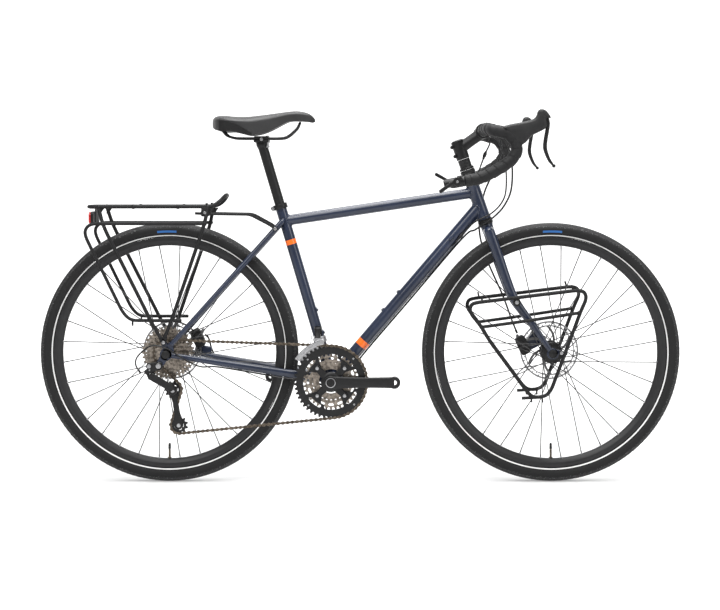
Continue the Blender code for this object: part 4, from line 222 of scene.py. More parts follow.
class Shape:
    """The points and faces of one piece, added one computed surface at a time."""

    def __init__(self):
        self.points = []
        self.faces = []
        self.skins = []
        self.count = 0

    def grid(self, points, close_u=False, close_v=True, caps=True, skin=0):
        """Joins each point of an array over (u, v) to its neighbours.

        A closed direction meets itself. Caps close the first and the last row by one face.
        """
        rows, columns = points.shape[:2]
        index = np.arange(rows * columns).reshape(rows, columns) + self.count
        wide = np.vstack([index, index[:1]]) if close_u else index
        wide = np.hstack([wide, wide[:, :1]]) if close_v else wide
        quads = np.stack([wide[:-1, :-1], wide[:-1, 1:], wide[1:, 1:], wide[1:, :-1]], axis=-1)
        made = quads.reshape(-1, 4).tolist()
        if caps and not close_u:
            made.append(index[0].tolist())
            made.append(index[-1].tolist())
        self.faces.extend(made)
        self.skins.extend([skin] * len(made))
        self.points.append(points.reshape(-1, 3))
        self.count += rows * columns
        return self

    def turned(self, profile, centre, axis, steps, closed=False, caps=True, skin=0):
        """Pairs of radius and height turned about an axis through the centre."""
        profile = np.asarray(profile, float)
        across, over, axis = basis(axis)
        spot = ring(steps)
        spokes = spot[:, :1] * across + spot[:, 1:] * over
        points = (np.asarray(centre, float) + profile[:, 1, None, None] * axis
                  + profile[:, 0, None, None] * spokes[None])
        return self.grid(points, close_u=closed, caps=caps, skin=skin)

    def carried(self, path, section, scale, ref=None, closed=False, skin=0):
        """A section of (side, up) pairs carried along a path and scaled at each of its points.

        The side is across both the path and a reference direction; up is across path and side.
        """
        path = np.asarray(path, float)
        ahead = np.roll(path, -1, 0) - np.roll(path, 1, 0) if closed else np.gradient(path, axis=0)
        ahead = unit(ahead)
        if ref is None:
            choices = unit([(1, 0, 0), (0, 1, 0), (0, 0, 1), (1, 1, 1), (1, -1, 1), (-1, 1, 1), (1, 1, -1)])
            ref = choices[np.argmin(np.abs(ahead @ choices.T).max(axis=0))]
        side = unit(np.cross(ahead, ref))
        up = np.cross(side, ahead)
        scale = np.asarray(scale, float)
        if scale.ndim < 2:
            pair = scale if scale.shape == (2,) else scale.reshape(-1, 1)
            scale = np.broadcast_to(pair, (len(path), 2))
        section = np.asarray(section, float)
        points = (path[:, None, :]
                  + (section[:, 0] * scale[:, :1])[..., None] * side[:, None, :]
                  + (section[:, 1] * scale[:, 1:])[..., None] * up[:, None, :])
        return self.grid(points, close_u=closed, skin=skin)

    def bar(self, start, end, radius, end_radius=None, sides=32, dome=0.0, skin=0):
        """A straight round bar whose end edges are quarter circles of the dome's radius."""
        start = np.asarray(start, float)
        end = np.asarray(end, float)
        length = np.linalg.norm(end - start)
        far = radius if end_radius is None else end_radius
        t = np.linspace(0, np.pi / 2, 5 if dome else 1)
        near = np.stack([radius - dome + dome * np.sin(t), dome * (1 - np.cos(t))], axis=1)
        tip = np.stack([far - dome + dome * np.cos(t), length - dome * (1 - np.sin(t))], axis=1)
        return self.turned(np.concatenate([near, tip]), start, end - start, sides, skin=skin)

    def pipe(self, path, radius, sides, closed=False, skin=0):
        """A round section carried along a path; the radius may change along it."""
        radii = np.broadcast_to(radius, (len(path),))
        return self.carried(path, ring(sides), radii, closed=closed, skin=skin)

    def slab(self, outline, y0, y1, edge):
        """A plate across Y: its outline, drawn in by the edge's width at both faces."""
        y0, y1 = min(y0, y1), max(y0, y1)
        inset = drawn_in(np.asarray(outline, float), edge)
        rows = [(inset, y0), (outline, y0 + edge), (outline, y1 - edge), (inset, y1)]
        return self.grid(np.stack([at_y(loop, y) for loop, y in rows]))

    def band(self, inner, outer, y0, y1, edge):
        """A plate across Y with one opening: two outlines of as many points, joined point to point."""
        near = drawn_in(outer, edge)
        bore = drawn_in(inner, -edge)
        rows = [(inner, y0 + edge), (bore, y0), (near, y0), (outer, y0 + edge), (outer, y1 - edge),
                (near, y1), (bore, y1), (inner, y1 - edge)]
        return self.grid(np.stack([at_y(loop, y) for loop, y in rows]), close_u=True)

    def annulus(self, centre, inner, outer, y0, y1, edge, count):
        """A flat ring about a place in the XZ plane; each edge is one radius, or one at every angle."""
        spot = ring(count)
        near, far = (np.add(centre, spot * np.reshape(radius, (-1, 1))) for radius in (inner, outer))
        return self.band(near, far, y0, y1, edge)

    def block(self, centre, size, turn, edge):
        """A box with eased corners, turned about Y."""
        half = np.asarray(size, float) / 2
        c, s = math.cos(turn), math.sin(turn)
        loop = oblong(half[0], half[2], min(edge * 2, 0.45 * min(half[0], half[2])) + 1e-5, 4)
        outline = np.stack([centre[0] + c * loop[:, 0] + s * loop[:, 1],
                            centre[2] - s * loop[:, 0] + c * loop[:, 1]], axis=1)
        return self.slab(outline, centre[1] - half[1], centre[1] + half[1], edge)

    def bolt(self, centre, axis, radius, height, skin=0):
        """A round bolt's head with a hexagonal socket sunk in its face."""
        r, h = radius, height
        rim = [(r, 0), (r, h * 0.7), (r * 0.94, h * 0.92), (r * 0.84, h)]
        self.turned(rim, centre, axis, 24, caps=False, skin=skin)
        across, over, axis = basis(axis)
        outer = ring(24)
        a = np.arange(24) * np.pi / 12
        reach = 0.52 / np.cos((a + np.pi / 6) % (np.pi / 3) - np.pi / 6)
        hexagon = outer * reach[:, None]
        rows = [(outer * 0.84, h), (hexagon, h), (hexagon * 0.98, h * 0.45)]
        points = np.stack([np.asarray(centre) + r * (loop[:, :1] * across + loop[:, 1:] * over) + axis * z
                           for loop, z in rows])
        first = self.count
        self.grid(points, caps=False, skin=skin)
        self.faces.append([first + 48 + i for i in range(24)])
        self.skins.append(skin)
        return self

    def copies(self, other, matrices):
        """Another shape's points moved by each of an array of 4 by 4 matrices."""
        points = np.concatenate(other.points)
        moved = np.einsum("nij,kj->nki", matrices[:, :3, :3], points) + matrices[:, None, :3, 3]
        for k in range(len(matrices)):
            self.faces.extend([[i + self.count + k * len(points) for i in face] for face in other.faces])
            self.skins.extend(other.skins)
        self.points.append(moved.reshape(-1, 3))
        self.count += len(matrices) * len(points)
        return self

    def piece(self, name, finishes, slot, nodes=None, rides=None, sharp=35):
        """Makes the mesh, closes its seams, turns its faces out and puts it on its node's body.

        It stands for the node of its own name, if no other nodes are given.
        """
        nodes = [name] if nodes is None else nodes
        mesh = bpy.data.meshes.new(name)
        mesh.from_pydata(np.concatenate(self.points).tolist(), [], self.faces)
        mesh.polygons.foreach_set("material_index", np.array(self.skins, np.int32))
        bm = bmesh.new()
        bm.from_mesh(mesh)
        bmesh.ops.remove_doubles(bm, verts=bm.verts, dist=0.000001)
        bmesh.ops.recalc_face_normals(bm, faces=bm.faces)
        bm.to_mesh(mesh)
        bm.free()
        for finish in finishes:
            mesh.materials.append(FINISHES[finish])
        mesh.shade_smooth()
        mesh.set_sharp_from_angle(angle=math.radians(sharp))
        obj = bpy.data.objects.new(name, mesh)
        bpy.context.scene.collection.objects.link(obj)
        if nodes:
            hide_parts(*nodes)
        if rides != "later":
            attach(obj, frame["nodes"][rides or nodes[0]]["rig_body"])
        return obj


FINISHES = {}


def place(position, rotation):
    """A 4 by 4 matrix from a position and a 3 by 3 rotation."""
    out = np.eye(4)
    out[:3, :3] = rotation
    out[:3, 3] = position
    return out


def about_y(angle):
    """The rotation that turns X towards Z by an angle, as the wheels are numbered."""
    c = math.cos(angle)
    s = math.sin(angle)
    return np.array(((c, 0, -s), (0, 1, 0), (s, 0, c)))


def weld_line(start, direction, radius, main, axis, main_radius):
    """Where a tube meets a larger tube: each line of its wall followed until it stands on the other."""
    across, over, direction = basis(direction)
    spot = ring(72) * radius
    main = np.asarray(main, float)
    base = np.asarray(start, float) + spot[:, :1] * across + spot[:, 1:] * over - main
    axis = unit(axis)
    flat_base = base - (base @ axis)[:, None] * axis
    flat_way = direction - (direction @ axis) * axis
    b = flat_base @ flat_way
    c = np.sum(flat_base ** 2, axis=1) - main_radius ** 2
    a = flat_way @ flat_way
    t = (-b + np.sqrt(np.maximum(b * b - a * c, 0))) / a
    return base + main + t[:, None] * direction


# Finishes

class Value:
    """A shader socket whose arithmetic adds Math nodes."""

    def __init__(self, finish, socket):
        self.finish = finish
        self.socket = socket

    def math(self, operation, *others):
        sockets = dict(enumerate((self,) + others))
        return self.finish.node("Math", {"operation": operation}, sockets)

    def __add__(self, other):
        return self.math("ADD", other)

    def __sub__(self, other):
        return self.math("SUBTRACT", other)

    def __rsub__(self, other):
        return self.finish.node("Math", {"operation": "SUBTRACT"}, {0: other, 1: self})

    def __mul__(self, other):
        return self.math("MULTIPLY", other)

    __radd__ = __add__
    __rmul__ = __mul__

    def above(self, edge, soft):
        """0 below the edge, 1 above it, changing over the soft distance."""
        return self.finish.node("MapRange", {"interpolation_type": "SMOOTHSTEP"},
                                {0: self, 1: edge - soft, 2: edge + soft, 3: 0.0, 4: 1.0})

    def inside(self, low, high, soft):
        """1 between two values and 0 outside them."""
        return self.above(low, soft) * (1 - self.above(high, soft))


class Finish:
    """One material, its nodes written as expressions on places of the piece."""

    def __init__(self, name, **constants):
        self.material = bpy.data.materials.new(name)
        self.material.use_nodes = True
        self.tree = self.material.node_tree
        self.tree.nodes.clear()
        self.shader = self.tree.nodes.new("ShaderNodeBsdfPrincipled")
        output = self.tree.nodes.new("ShaderNodeOutputMaterial")
        self.tree.links.new(self.shader.outputs[0], output.inputs[0])
        for key, value in constants.items():
            self.shader.inputs[key.replace("_", " ")].default_value = value
        self.place = self.node("TexCoord", output="Object")
        FINISHES[name] = self.material

    def node(self, kind, settings=(), sockets=(), output=0):
        """Adds a node: its settings first, then the values or links of its sockets."""
        made = self.tree.nodes.new("ShaderNode" + kind)
        for key, value in dict(settings).items():
            setattr(made, key, value)
        for key, value in dict(sockets).items():
            if isinstance(value, Value):
                self.tree.links.new(value.socket, made.inputs[key])
            else:
                made.inputs[key].default_value = value
        return Value(self, made.outputs[output])

    def mix(self, factor, a, b):
        """A colour between two colours."""
        return self.node("Mix", {"data_type": "RGBA"}, {0: factor, 6: a, 7: b}, output=2)

    def shades(self, factor, colour, low, high):
        """A colour between two shades of one colour."""
        return self.mix(factor, tinted(colour, low), tinted(colour, high))

    def noise(self, scale, detail, stretch=(1.0, 1.0, 1.0)):
        """Noise of so many waves a metre, stretched along the piece's axes."""
        at = self.node("Mapping", (), {0: self.place, 3: stretch})
        return self.node("TexNoise", (), {"Vector": at, "Scale": scale, "Detail": detail})

    def axes(self):
        """The place's three coordinates."""
        split = self.node("SeparateXYZ", (), {0: self.place})
        outs = split.socket.node.outputs
        return tuple(Value(self, outs[k]) for k in range(3))

    def along(self, start, direction):
        """The distance of a place along a line from its start."""
        local = self.node("VectorMath", {"operation": "SUBTRACT"}, {0: self.place, 1: tuple(start)})
        return self.node("VectorMath", {"operation": "DOT_PRODUCT"}, {0: local, 1: tuple(direction)},
                         output="Value")

    def off_axis(self, centre):
        """The distance of a place from an axis that runs across through the centre."""
        x, _, z = self.axes()
        dx = x - centre[0]
        dz = z - centre[1]
        return (dx * dx + dz * dz).math("SQRT")

    def wear(self):
        """1 along raised edges and 0 elsewhere."""
        sharp = self.node("NewGeometry", output="Pointiness")
        return sharp.above(0.62, 0.05)

    def colour(self, value):
        self.link(value, "Base Color")
        return self

    def rough(self, value):
        self.link(value, "Roughness")
        return self

    def cells(self, scale, settings=(), **sockets):
        """Cells of so many a metre, by the distance from their centres."""
        return self.node("TexVoronoi", settings, {"Vector": self.place, "Scale": scale, **sockets})

    def relief(self, height, distance, strength):
        """Raises the surface by the height times the distance."""
        normal = self.node("Bump", (), {"Strength": strength, "Distance": distance, "Height": height})
        self.link(normal, "Normal")
        return self

    def link(self, value, name):
        self.tree.links.new(value.socket, self.shader.inputs[name])


def tinted(colour, by):
    """The colour made lighter or darker by a factor."""
    return tuple(min(1.0, channel * by) for channel in tuple(colour)[:3]) + (1.0,)


def painted_band(paint, direction, centre, half, across, low, high):
    """1 on a band round a tube: within half of its centre along the tube, and low to high across it."""
    along = paint.along((0, 0, 0), direction).inside(centre - half, centre + half, 0.0002)
    return along * paint.along((0, 0, 0), across).inside(low, high, 0.001)


def off_axles(paint):
    """The distance of a place from the nearer of the two wheel axles."""
    return paint.off_axis((REAR_AXLE_X, AXLE_Z)).math("MINIMUM", paint.off_axis((FRONT_AXLE_X, AXLE_Z)))


def frame_paint(colours):
    """Dark navy lacquer over tubes: fine orange peel, slight mottling, two orange bands."""
    paint = Finish("frame_paint", Coat_Weight=0.5, Coat_Roughness=0.14, Specular_IOR_Level=0.25)
    cloud = paint.noise(7.0, 3.0)
    base = paint.shades(cloud.above(0.5, 0.22), colours.frame_paint, 0.82, 1.22)
    down_tube = painted_band(paint, DOWN_DIRECTION, BAND_DOWN_TUBE, 0.009, DOWN_UP, -0.024, 0.024)
    seat_tube = painted_band(paint, SEAT_DIRECTION, BAND_SEAT_TUBE, 0.0066, SEAT_AHEAD, -0.0156, 0.022)
    chips = paint.noise(900.0, 2.0).above(0.71, 0.01)
    paint.colour(paint.mix(down_tube.math("MAXIMUM", seat_tube), base, tuple(colours.band)))
    paint.rough(0.24 + cloud * 0.1 + chips * 0.2)
    return paint.relief(paint.noise(420.0, 2.0), 0.00002, 0.15)


def black_metal(colours):
    """Satin black anodised or powder-coated metal with a fine grain and lighter edges."""
    paint = Finish("black_metal", Specular_IOR_Level=0.3)
    cloud = paint.noise(30.0, 4.0)
    base = paint.shades(cloud, colours.black, 0.75, 1.35)
    paint.colour(paint.mix(paint.wear() * 0.15, base, tinted(colours.black, 2.6)))
    return paint.rough(0.34 + cloud * 0.16).relief(paint.noise(1400.0, 2.0), 0.00003, 0.5)


def rack_coat(colours):
    """Matt black powder coat, slightly pebbled, rubbed lighter in small scattered patches."""
    paint = Finish("rack_coat", Specular_IOR_Level=0.26)
    cloud = paint.noise(22.0, 5.0)
    base = paint.shades(cloud, colours.black, 0.9, 1.7)
    rubbed = paint.noise(160.0, 3.0).above(0.68, 0.03) * 0.35
    paint.colour(paint.mix(rubbed, base, tinted(colours.black, 3.4)))
    return paint.rough(0.5 + cloud * 0.18).relief(paint.noise(1900.0, 2.0), 0.00006, 0.6)


def silver_metal(colours):
    """Polished aluminium and steel: fine brushing, darker specks scattered at random."""
    paint = Finish("silver_metal", Metallic=1.0)
    brushed = paint.noise(60.0, 3.0, stretch=(1.0, 14.0, 1.0))
    dirt = paint.noise(240.0, 5.0).above(0.6, 0.09)
    base = paint.shades(brushed, colours.silver, 0.72, 1.12)
    paint.colour(paint.mix(dirt * 0.55, base, tinted(colours.silver, 0.35)))
    return paint.rough(0.22 + brushed * 0.16 + dirt * 0.2).relief(brushed, 0.00003, 0.5)


def spoke_steel(colours):
    """Drawn steel wire, dark, with faint brighter stretches."""
    paint = Finish("spoke_steel", Metallic=0.5, Specular_IOR_Level=0.2)
    dull = paint.noise(90.0, 3.0)
    paint.colour(paint.shades(dull, colours.silver, 0.09, 0.18))
    return paint.rough(0.22 + dull * 0.22)


def rotor_steel(colours):
    """Brake rotor: bright swept track with fine circles, duller arms inside it."""
    paint = Finish("rotor_steel", Metallic=1.0)
    nearer = off_axles(paint)
    swept = nearer.above(ROTOR_RADIUS - ROTOR_TRACK, 0.0006)
    lines = paint.node("TexNoise", {"noise_dimensions": "1D"},
                       {"W": nearer * 100.0, "Scale": 26.0, "Detail": 4.0})
    track = paint.shades(lines, colours.silver, 0.42, 0.85)
    dull = paint.shades(paint.noise(70.0, 4.0), colours.silver, 0.24, 0.42)
    paint.colour(paint.mix(swept, dull, track))
    return paint.rough(0.46 - swept * 0.2 + lines * 0.06).relief(lines, 0.00003, 0.5)


def chain_metal(colours):
    """Oiled steel under a patchy brown film."""
    paint = Finish("chain_metal", Metallic=0.85)
    film = paint.noise(170.0, 5.0)
    paint.colour(paint.shades(film.above(0.5, 0.14), colours.chain, 0.45, 1.25))
    return paint.rough(0.3 + film * 0.28).relief(film, 0.00006, 0.5)


def cog_metal(colours):
    """Nickel-plated cogs: warm grey under a patchy brown film."""
    paint = Finish("cog_metal", Metallic=0.9)
    film = paint.noise(120.0, 5.0)
    paint.colour(paint.shades(film.above(0.5, 0.16), colours.cogs, 0.45, 1.35))
    return paint.rough(0.28 + film * 0.24).relief(film, 0.00004, 0.5)


def tyre_rubber(colours):
    """Dark rubber, greyer on the rubbed tread; a thin pale line low on the sidewall and one blue bar."""
    paint = Finish("tyre_rubber", Specular_IOR_Level=0.2)
    radius = off_axles(paint)
    x, _, z = paint.axes()
    dust = paint.noise(55.0, 5.0)
    side = paint.shades(dust, colours.rubber, 0.78, 1.2)
    top = paint.shades(paint.noise(300.0, 4.0), colours.rubber, 1.2, 3.4)
    base = paint.mix(radius.above(TREAD_FROM, 0.0012), side, top)
    grooves = radius.inside(0.3375, 0.3445, 0.0004) * paint.noise(330.0, 2.0).above(0.62, 0.015)
    base = paint.mix(grooves * 0.55, base, tuple(colours.tyre_mark))
    line = radius.inside(LINE_RADIUS - 0.0014, LINE_RADIUS + 0.0014, 0.0002)
    base = paint.mix(line * 0.92, base, tuple(colours.tyre_line))
    bar = radius.inside(BLUE_RADIUS - 0.0028, BLUE_RADIUS + 0.0028, 0.0003)
    rear_bar = (x - REAR_AXLE_X).inside(-0.031, 0.021, 0.0004)
    front_bar = (x - FRONT_AXLE_X).inside(-0.023, 0.029, 0.0004)
    bar = bar * rear_bar.math("MAXIMUM", front_bar) * z.above(AXLE_Z, 0.01)
    paint.colour(paint.mix(bar, base, tuple(colours.blue_bar)))
    return paint.rough(0.56 + dust * 0.16).relief(paint.noise(1300.0, 3.0) + dust, 0.00008, 0.5)


def hood_rubber(colours):
    """Moulded rubber: a fine matt skin with small pores."""
    paint = Finish("hood_rubber", Specular_IOR_Level=0.28, Sheen_Weight=0.03)
    cloud = paint.noise(40.0, 4.0)
    paint.colour(paint.shades(cloud, colours.rubber, 0.8, 1.25))
    return paint.rough(0.46 + cloud * 0.14).relief(paint.cells(1500.0), 0.00012, 0.45)


def plastic_finish(name, shade, colours):
    """Moulded plastic with a fine spark-eroded grain."""
    paint = Finish(name, Specular_IOR_Level=0.32)
    cloud = paint.noise(60.0, 4.0)
    base = paint.shades(cloud, colours.black, 0.8 * shade, 1.4 * shade)
    # Raised edges mixed lighter: edge wear, and on the rim a painted highlight of light caught on its edges.
    paint.colour(paint.mix(paint.wear() * 0.35, base, tinted(colours.black, 4.0)))
    return paint.rough(0.36 + cloud * 0.12).relief(paint.noise(2600.0, 2.0), 0.00005, 0.5)


def tape_finish(colours):
    """Cork-blend tape: small pits, matt, its wound edges a little lighter."""
    paint = Finish("tape", Specular_IOR_Level=0.26, Sheen_Weight=0.05)
    cloud = paint.noise(90.0, 4.0)
    base = paint.shades(cloud, colours.tape, 0.8, 1.35)
    paint.colour(paint.mix(paint.wear() * 0.5, base, tinted(colours.tape, 2.2)))
    return paint.rough(0.52 + cloud * 0.18).relief(paint.cells(1100.0), 0.00016, 0.6)


def saddle_finish(colours):
    """Matt synthetic leather: a pebbled grain, shinier where it is sat on, and a painted sheen that makes the
    cover outside the side panel lighter.

    The side panel lies below its seam, which falls and curves with the distance behind its end.
    """
    paint = Finish("saddle_cover", Specular_IOR_Level=0.3, Sheen_Weight=0.04)
    grain = paint.cells(900.0, {"feature": "SMOOTH_F1"}, Smoothness=0.6)
    cloud = paint.noise(18.0, 4.0)
    # Painted sheen: outside the side panel the cover is 1.5 to 2.4 times its own colour, standing for light on the
    # saddle's top; the darker side panel is the cover's own second tone.
    upper = paint.shades(cloud, colours.saddle, 1.5, 2.4)
    x, y, z = paint.axes()
    behind = x + 0.2882
    over_seam = z - (0.7042 - behind * 0.2537 - behind * behind * 3.25)
    side = y.math("ABSOLUTE").above(0.02, 0.002) * x.inside(-0.3, -0.213, 0.001)
    panel = side * (1 - over_seam.above(0.0, 0.0008))
    seam = side * over_seam.inside(-0.0009, 0.0009, 0.0007)
    paint.colour(paint.mix(panel, upper, tinted(colours.saddle, 0.35)))
    paint.rough(0.4 + cloud * 0.16 + panel * 0.14)
    return paint.relief(grain + paint.noise(2200.0, 2.0) * 0.3 - seam * 9.0, 0.00018, 0.8)


def reflector_lens(colours):
    """Clear red plastic over a grid of small prisms."""
    paint = Finish("red_lens", Specular_IOR_Level=0.7, Coat_Weight=0.6, Coat_Roughness=0.04)
    prisms = paint.cells(420.0, {"feature": "F1", "distance": "CHEBYCHEV"}, Randomness=0.0)
    paint.colour(paint.shades(prisms, colours.reflector, 1.5, 0.35))
    return paint.rough(0.1 + prisms * 0.18).relief(prisms, 0.0004, 0.8)


def cable_jacket(colours):
    """Smooth black jacket of a cable housing, a little dulled by handling."""
    paint = Finish("cable_black", Specular_IOR_Level=0.34)
    dull = paint.noise(80.0, 3.0)
    paint.colour(paint.shades(dull, colours.black, 0.8, 1.8))
    return paint.rough(0.26 + dull * 0.2).relief(paint.noise(700.0, 2.0), 0.00003, 0.4)


def cable_wire(colours):
    """Bare stranded steel wire; its strands wind round it."""
    paint = Finish("cable_wire", Metallic=1.0)
    strands = paint.noise(800.0, 1.0, stretch=(1.0, 6.0, 1.0))
    paint.colour(paint.shades(strands, colours.silver, 0.22, 0.6))
    return paint.rough(0.3 + strands * 0.1)


def floor_finish(colours):
    """Pale studio paper with an even, faint grain."""
    paint = Finish("studio_paper", Specular_IOR_Level=0.1, Emission_Strength=1.0)
    behind = paint.axes()[1].above(2.2, 1.6)
    glow = paint.mix(behind, (0.24, 0.24, 0.24, 1.0), (0.95, 0.95, 0.95, 1.0))
    paint.link(glow, "Emission Color")
    paint.colour(paint.shades(paint.noise(500.0, 2.0), colours.floor, 0.995, 1.0))
    return paint.rough(0.9 + paint.noise(40.0, 2.0) * 0.05)


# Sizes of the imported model

GAP = 0.0003
AXLE_Z = 0.075
REAR_AXLE_X = -0.440663
FRONT_AXLE_X = 0.595337
REAR_AXLE = np.array((REAR_AXLE_X, 0.0, AXLE_Z))
FRONT_AXLE = np.array((FRONT_AXLE_X, 0.0, AXLE_Z))
SEAT_DIRECTION = np.array((-0.284015, 0.0, 0.95882))
SEAT_AHEAD = np.array((SEAT_DIRECTION[2], 0, -SEAT_DIRECTION[0]))
HEAD_DIRECTION = np.array((-0.330514, 0.0, 0.943801))
HEAD_FOOT = np.array((0.415, 0.0, 0.436))
SEAT_TUBE_LENGTH = 0.497
HEAD_TUBE_LENGTH = 0.127
UPPER_CUP = 0.014
LOWER_CUP = 0.0155
SPACER_FOOT = HEAD_TUBE_LENGTH + GAP + UPPER_CUP + 0.0005
TOP_TUBE = np.array(((-0.1277, 0.0, 0.431), (0.3898, 0.0, 0.508)))
DOWN_TUBE_END = np.array((0.402771, 0.0, 0.470921))
DOWN_DIRECTION = np.array((0.649977, 0.0, 0.759954))
DOWN_UP = np.array((-0.759954, 0.0, 0.649977))
SEAT_RADIUS = 0.015
TOP_RADIUS = 0.0143
DOWN_RADIUS = 0.0175
HEAD_RADIUS = 0.018
SHELL_RADIUS = 0.0205
SHELL_HALF = 0.034
BAND_DOWN_TUBE = 0.1295
BAND_SEAT_TUBE = 0.3898
ROTOR_RADIUS = 0.08
ROTOR_TRACK = 0.0145
TREAD_FROM = 0.34
LINE_RADIUS = 0.3165
BLUE_RADIUS = 0.3275
HANGER = (-0.4593, 0.0457)
RACK_EYELET = (-0.446, 0.108)


def along_seat(distance, out=0.0):
    """A point up the seat tube, set forward of its line by a distance."""
    return SEAT_DIRECTION * distance + SEAT_AHEAD * out


def along_head(distance):
    return HEAD_FOOT + HEAD_DIRECTION * distance


def along_down(distance, y=0.0, up=0.0):
    """A point up the down tube, moved sideways and square to it."""
    return DOWN_DIRECTION * distance + DOWN_UP * up + np.array((0, y, 0))


def bottle_marks(height):
    """Places and directions of the four bottle bosses, at a height over their tubes."""
    return [*[(along_down(distance, up=DOWN_RADIUS + height), DOWN_UP) for distance in (0.235, 0.299)],
            *[(along_seat(distance, SEAT_RADIUS + height), SEAT_AHEAD) for distance in (0.13, 0.194)]]


def weld_bead(shape, start, direction, radius, main, axis, main_radius):
    """A smooth fillet along the line where one tube's wall stands on another's."""
    line = weld_line(start, direction, radius, main, axis, main_radius)
    wave = 1 + 0.1 * np.cos(np.arange(len(line)) * np.pi)
    shape.pipe(line, 0.0022 * wave, sides=8, closed=True)


# Frame

def frame_shape():
    """The frame's tubes: each a round profile along its line, with fillets where they meet."""
    s = Shape()
    s.bar(along_seat(0), along_seat(SEAT_TUBE_LENGTH), SEAT_RADIUS, sides=48, dome=0.0006)
    s.bar(TOP_TUBE[0], TOP_TUBE[1], TOP_RADIUS, sides=48)
    s.bar((0, 0, 0), DOWN_TUBE_END, DOWN_RADIUS, sides=56)
    lip = HEAD_RADIUS + 0.0012
    rim = [(HEAD_RADIUS, 0.0), (lip, 0.0008), (lip, 0.006), (HEAD_RADIUS, 0.008)]
    rim += [(r, HEAD_TUBE_LENGTH - h) for r, h in reversed(rim)]
    s.turned(rim, HEAD_FOOT, HEAD_DIRECTION, 56)
    s.bar((0, -SHELL_HALF, 0), (0, SHELL_HALF, 0), SHELL_RADIUS, sides=56, dome=0.0012)
    shell = (np.zeros(3), Y_AXIS, SHELL_RADIUS)
    head = (HEAD_FOOT, HEAD_DIRECTION, HEAD_RADIUS)
    along_top = TOP_TUBE[1] - TOP_TUBE[0]
    weld_bead(s, (0, 0, 0), SEAT_DIRECTION, SEAT_RADIUS, *shell)
    weld_bead(s, (0, 0, 0), DOWN_DIRECTION, DOWN_RADIUS, *shell)
    weld_bead(s, TOP_TUBE[0], along_top, TOP_RADIUS, along_seat(0), SEAT_DIRECTION, SEAT_RADIUS)
    weld_bead(s, TOP_TUBE[1], -along_top, TOP_RADIUS, *head)
    weld_bead(s, DOWN_TUBE_END, -DOWN_DIRECTION, DOWN_RADIUS, *head)
    for side in (1, -1):
        rear_stays(s, side)
        dropout(s, side)
        stop = along_down(0.503, side * 0.0205, 0.004)
        barrel = [(0.003, -0.0062), (0.0046, -0.0058), (0.0052, -0.0035), (0.0052, 0.0045), (0.004, 0.006)]
        s.turned(barrel, stop, DOWN_DIRECTION, 24)
        s.block(stop - np.array((0, side * 0.004, 0)), (0.009, 0.006, 0.006), -0.863, 0.0008)
    for at, way in bottle_marks(-0.001):
        boss(s, at, way)
    bridge = stay_point(0.2)
    s.bar(bridge, bridge * (1, -1, 1), 0.0055, sides=24)
    s.bar((-0.066, -0.029, 0.0128), (-0.066, 0.029, 0.0128), 0.0055, sides=24)
    s.block((-0.356, 0.0615, 0.076), (0.046, 0.012, 0.02), math.radians(10), 0.003)
    return s


def boss(s, at, direction):
    """A low threaded boss with an eased rim."""
    s.turned([(0.006, 0.0), (0.0058, 0.0026), (0.0052, 0.0034), (0.0026, 0.0034), (0.0024, 0.0016)],
             at, direction, 28)


def stay_point(share):
    """A point on the left seatstay, as a share of its length from the top."""
    top = np.array((-0.133, 0.018, 0.43))
    foot = np.array((-0.4275, 0.0703, 0.1))
    return top + (foot - top) * share


def rear_stays(s, side):
    """One chainstay, flattened and tapered along its bends, and one tapered seatstay."""
    marks = [(-0.012, 0.021), (-0.06, 0.0295), (-0.15, 0.0425), (-0.3, 0.0585), (-0.425, 0.0703)]
    path = np.array([(x, side * y, 0.002 + 0.073 * x / REAR_AXLE_X) for x, y in marks])
    path = spline(path, 8)
    radii = np.interp(-path[:, 0], (0.012, 0.06, 0.15, 0.425), (0.011, 0.011, 0.0105, 0.007))
    s.carried(path, ring(32), np.stack([radii * 0.85, radii], axis=1), ref=Z_AXIS)
    stay = np.linspace(stay_point(0), stay_point(1), 9) * (1, side, 1)
    radii = np.linspace(0.0078, 0.0078 * 0.85, 9)
    s.pipe(stay, radii, 32)
    s.turned([(0.0074, 0.0), (0.0055, 0.005), (0.002, 0.008)], stay[0], stay[0] - stay[1], 24)
    eye = stay_point(0.06) * (1, side, 1)
    s.bar(eye, eye + np.array((0, side * 0.0138, 0)), 0.005, 0.0045, sides=24, dome=0.0008)


def dropout(s, side):
    """A forged dropout: a rounded plate with an eyelet above and, on the right, the hanger."""
    y0, y1 = side * 0.0675, side * 0.0735
    web = [(-0.4215, 0.112), (-0.4335, 0.106), (REAR_AXLE_X - 0.012, 0.075), (REAR_AXLE_X, 0.063),
           (-0.423, 0.0665), (-0.419, 0.079)]
    s.slab(eased(web, 0.004, 5, closed=True), y0, y1, 0.0012)
    s.slab(arc((REAR_AXLE_X, AXLE_Z), 0.0165, 0, 352, 45), y0, y1, 0.0012)
    s.slab(capsule((REAR_AXLE_X, AXLE_Z + 0.014), RACK_EYELET, 0.0085, 0.0068), y0, y1, 0.001)
    if side < 0:
        s.slab(capsule((REAR_AXLE_X, AXLE_Z), HANGER, 0.012, 0.0095), y0, y1, 0.0012)


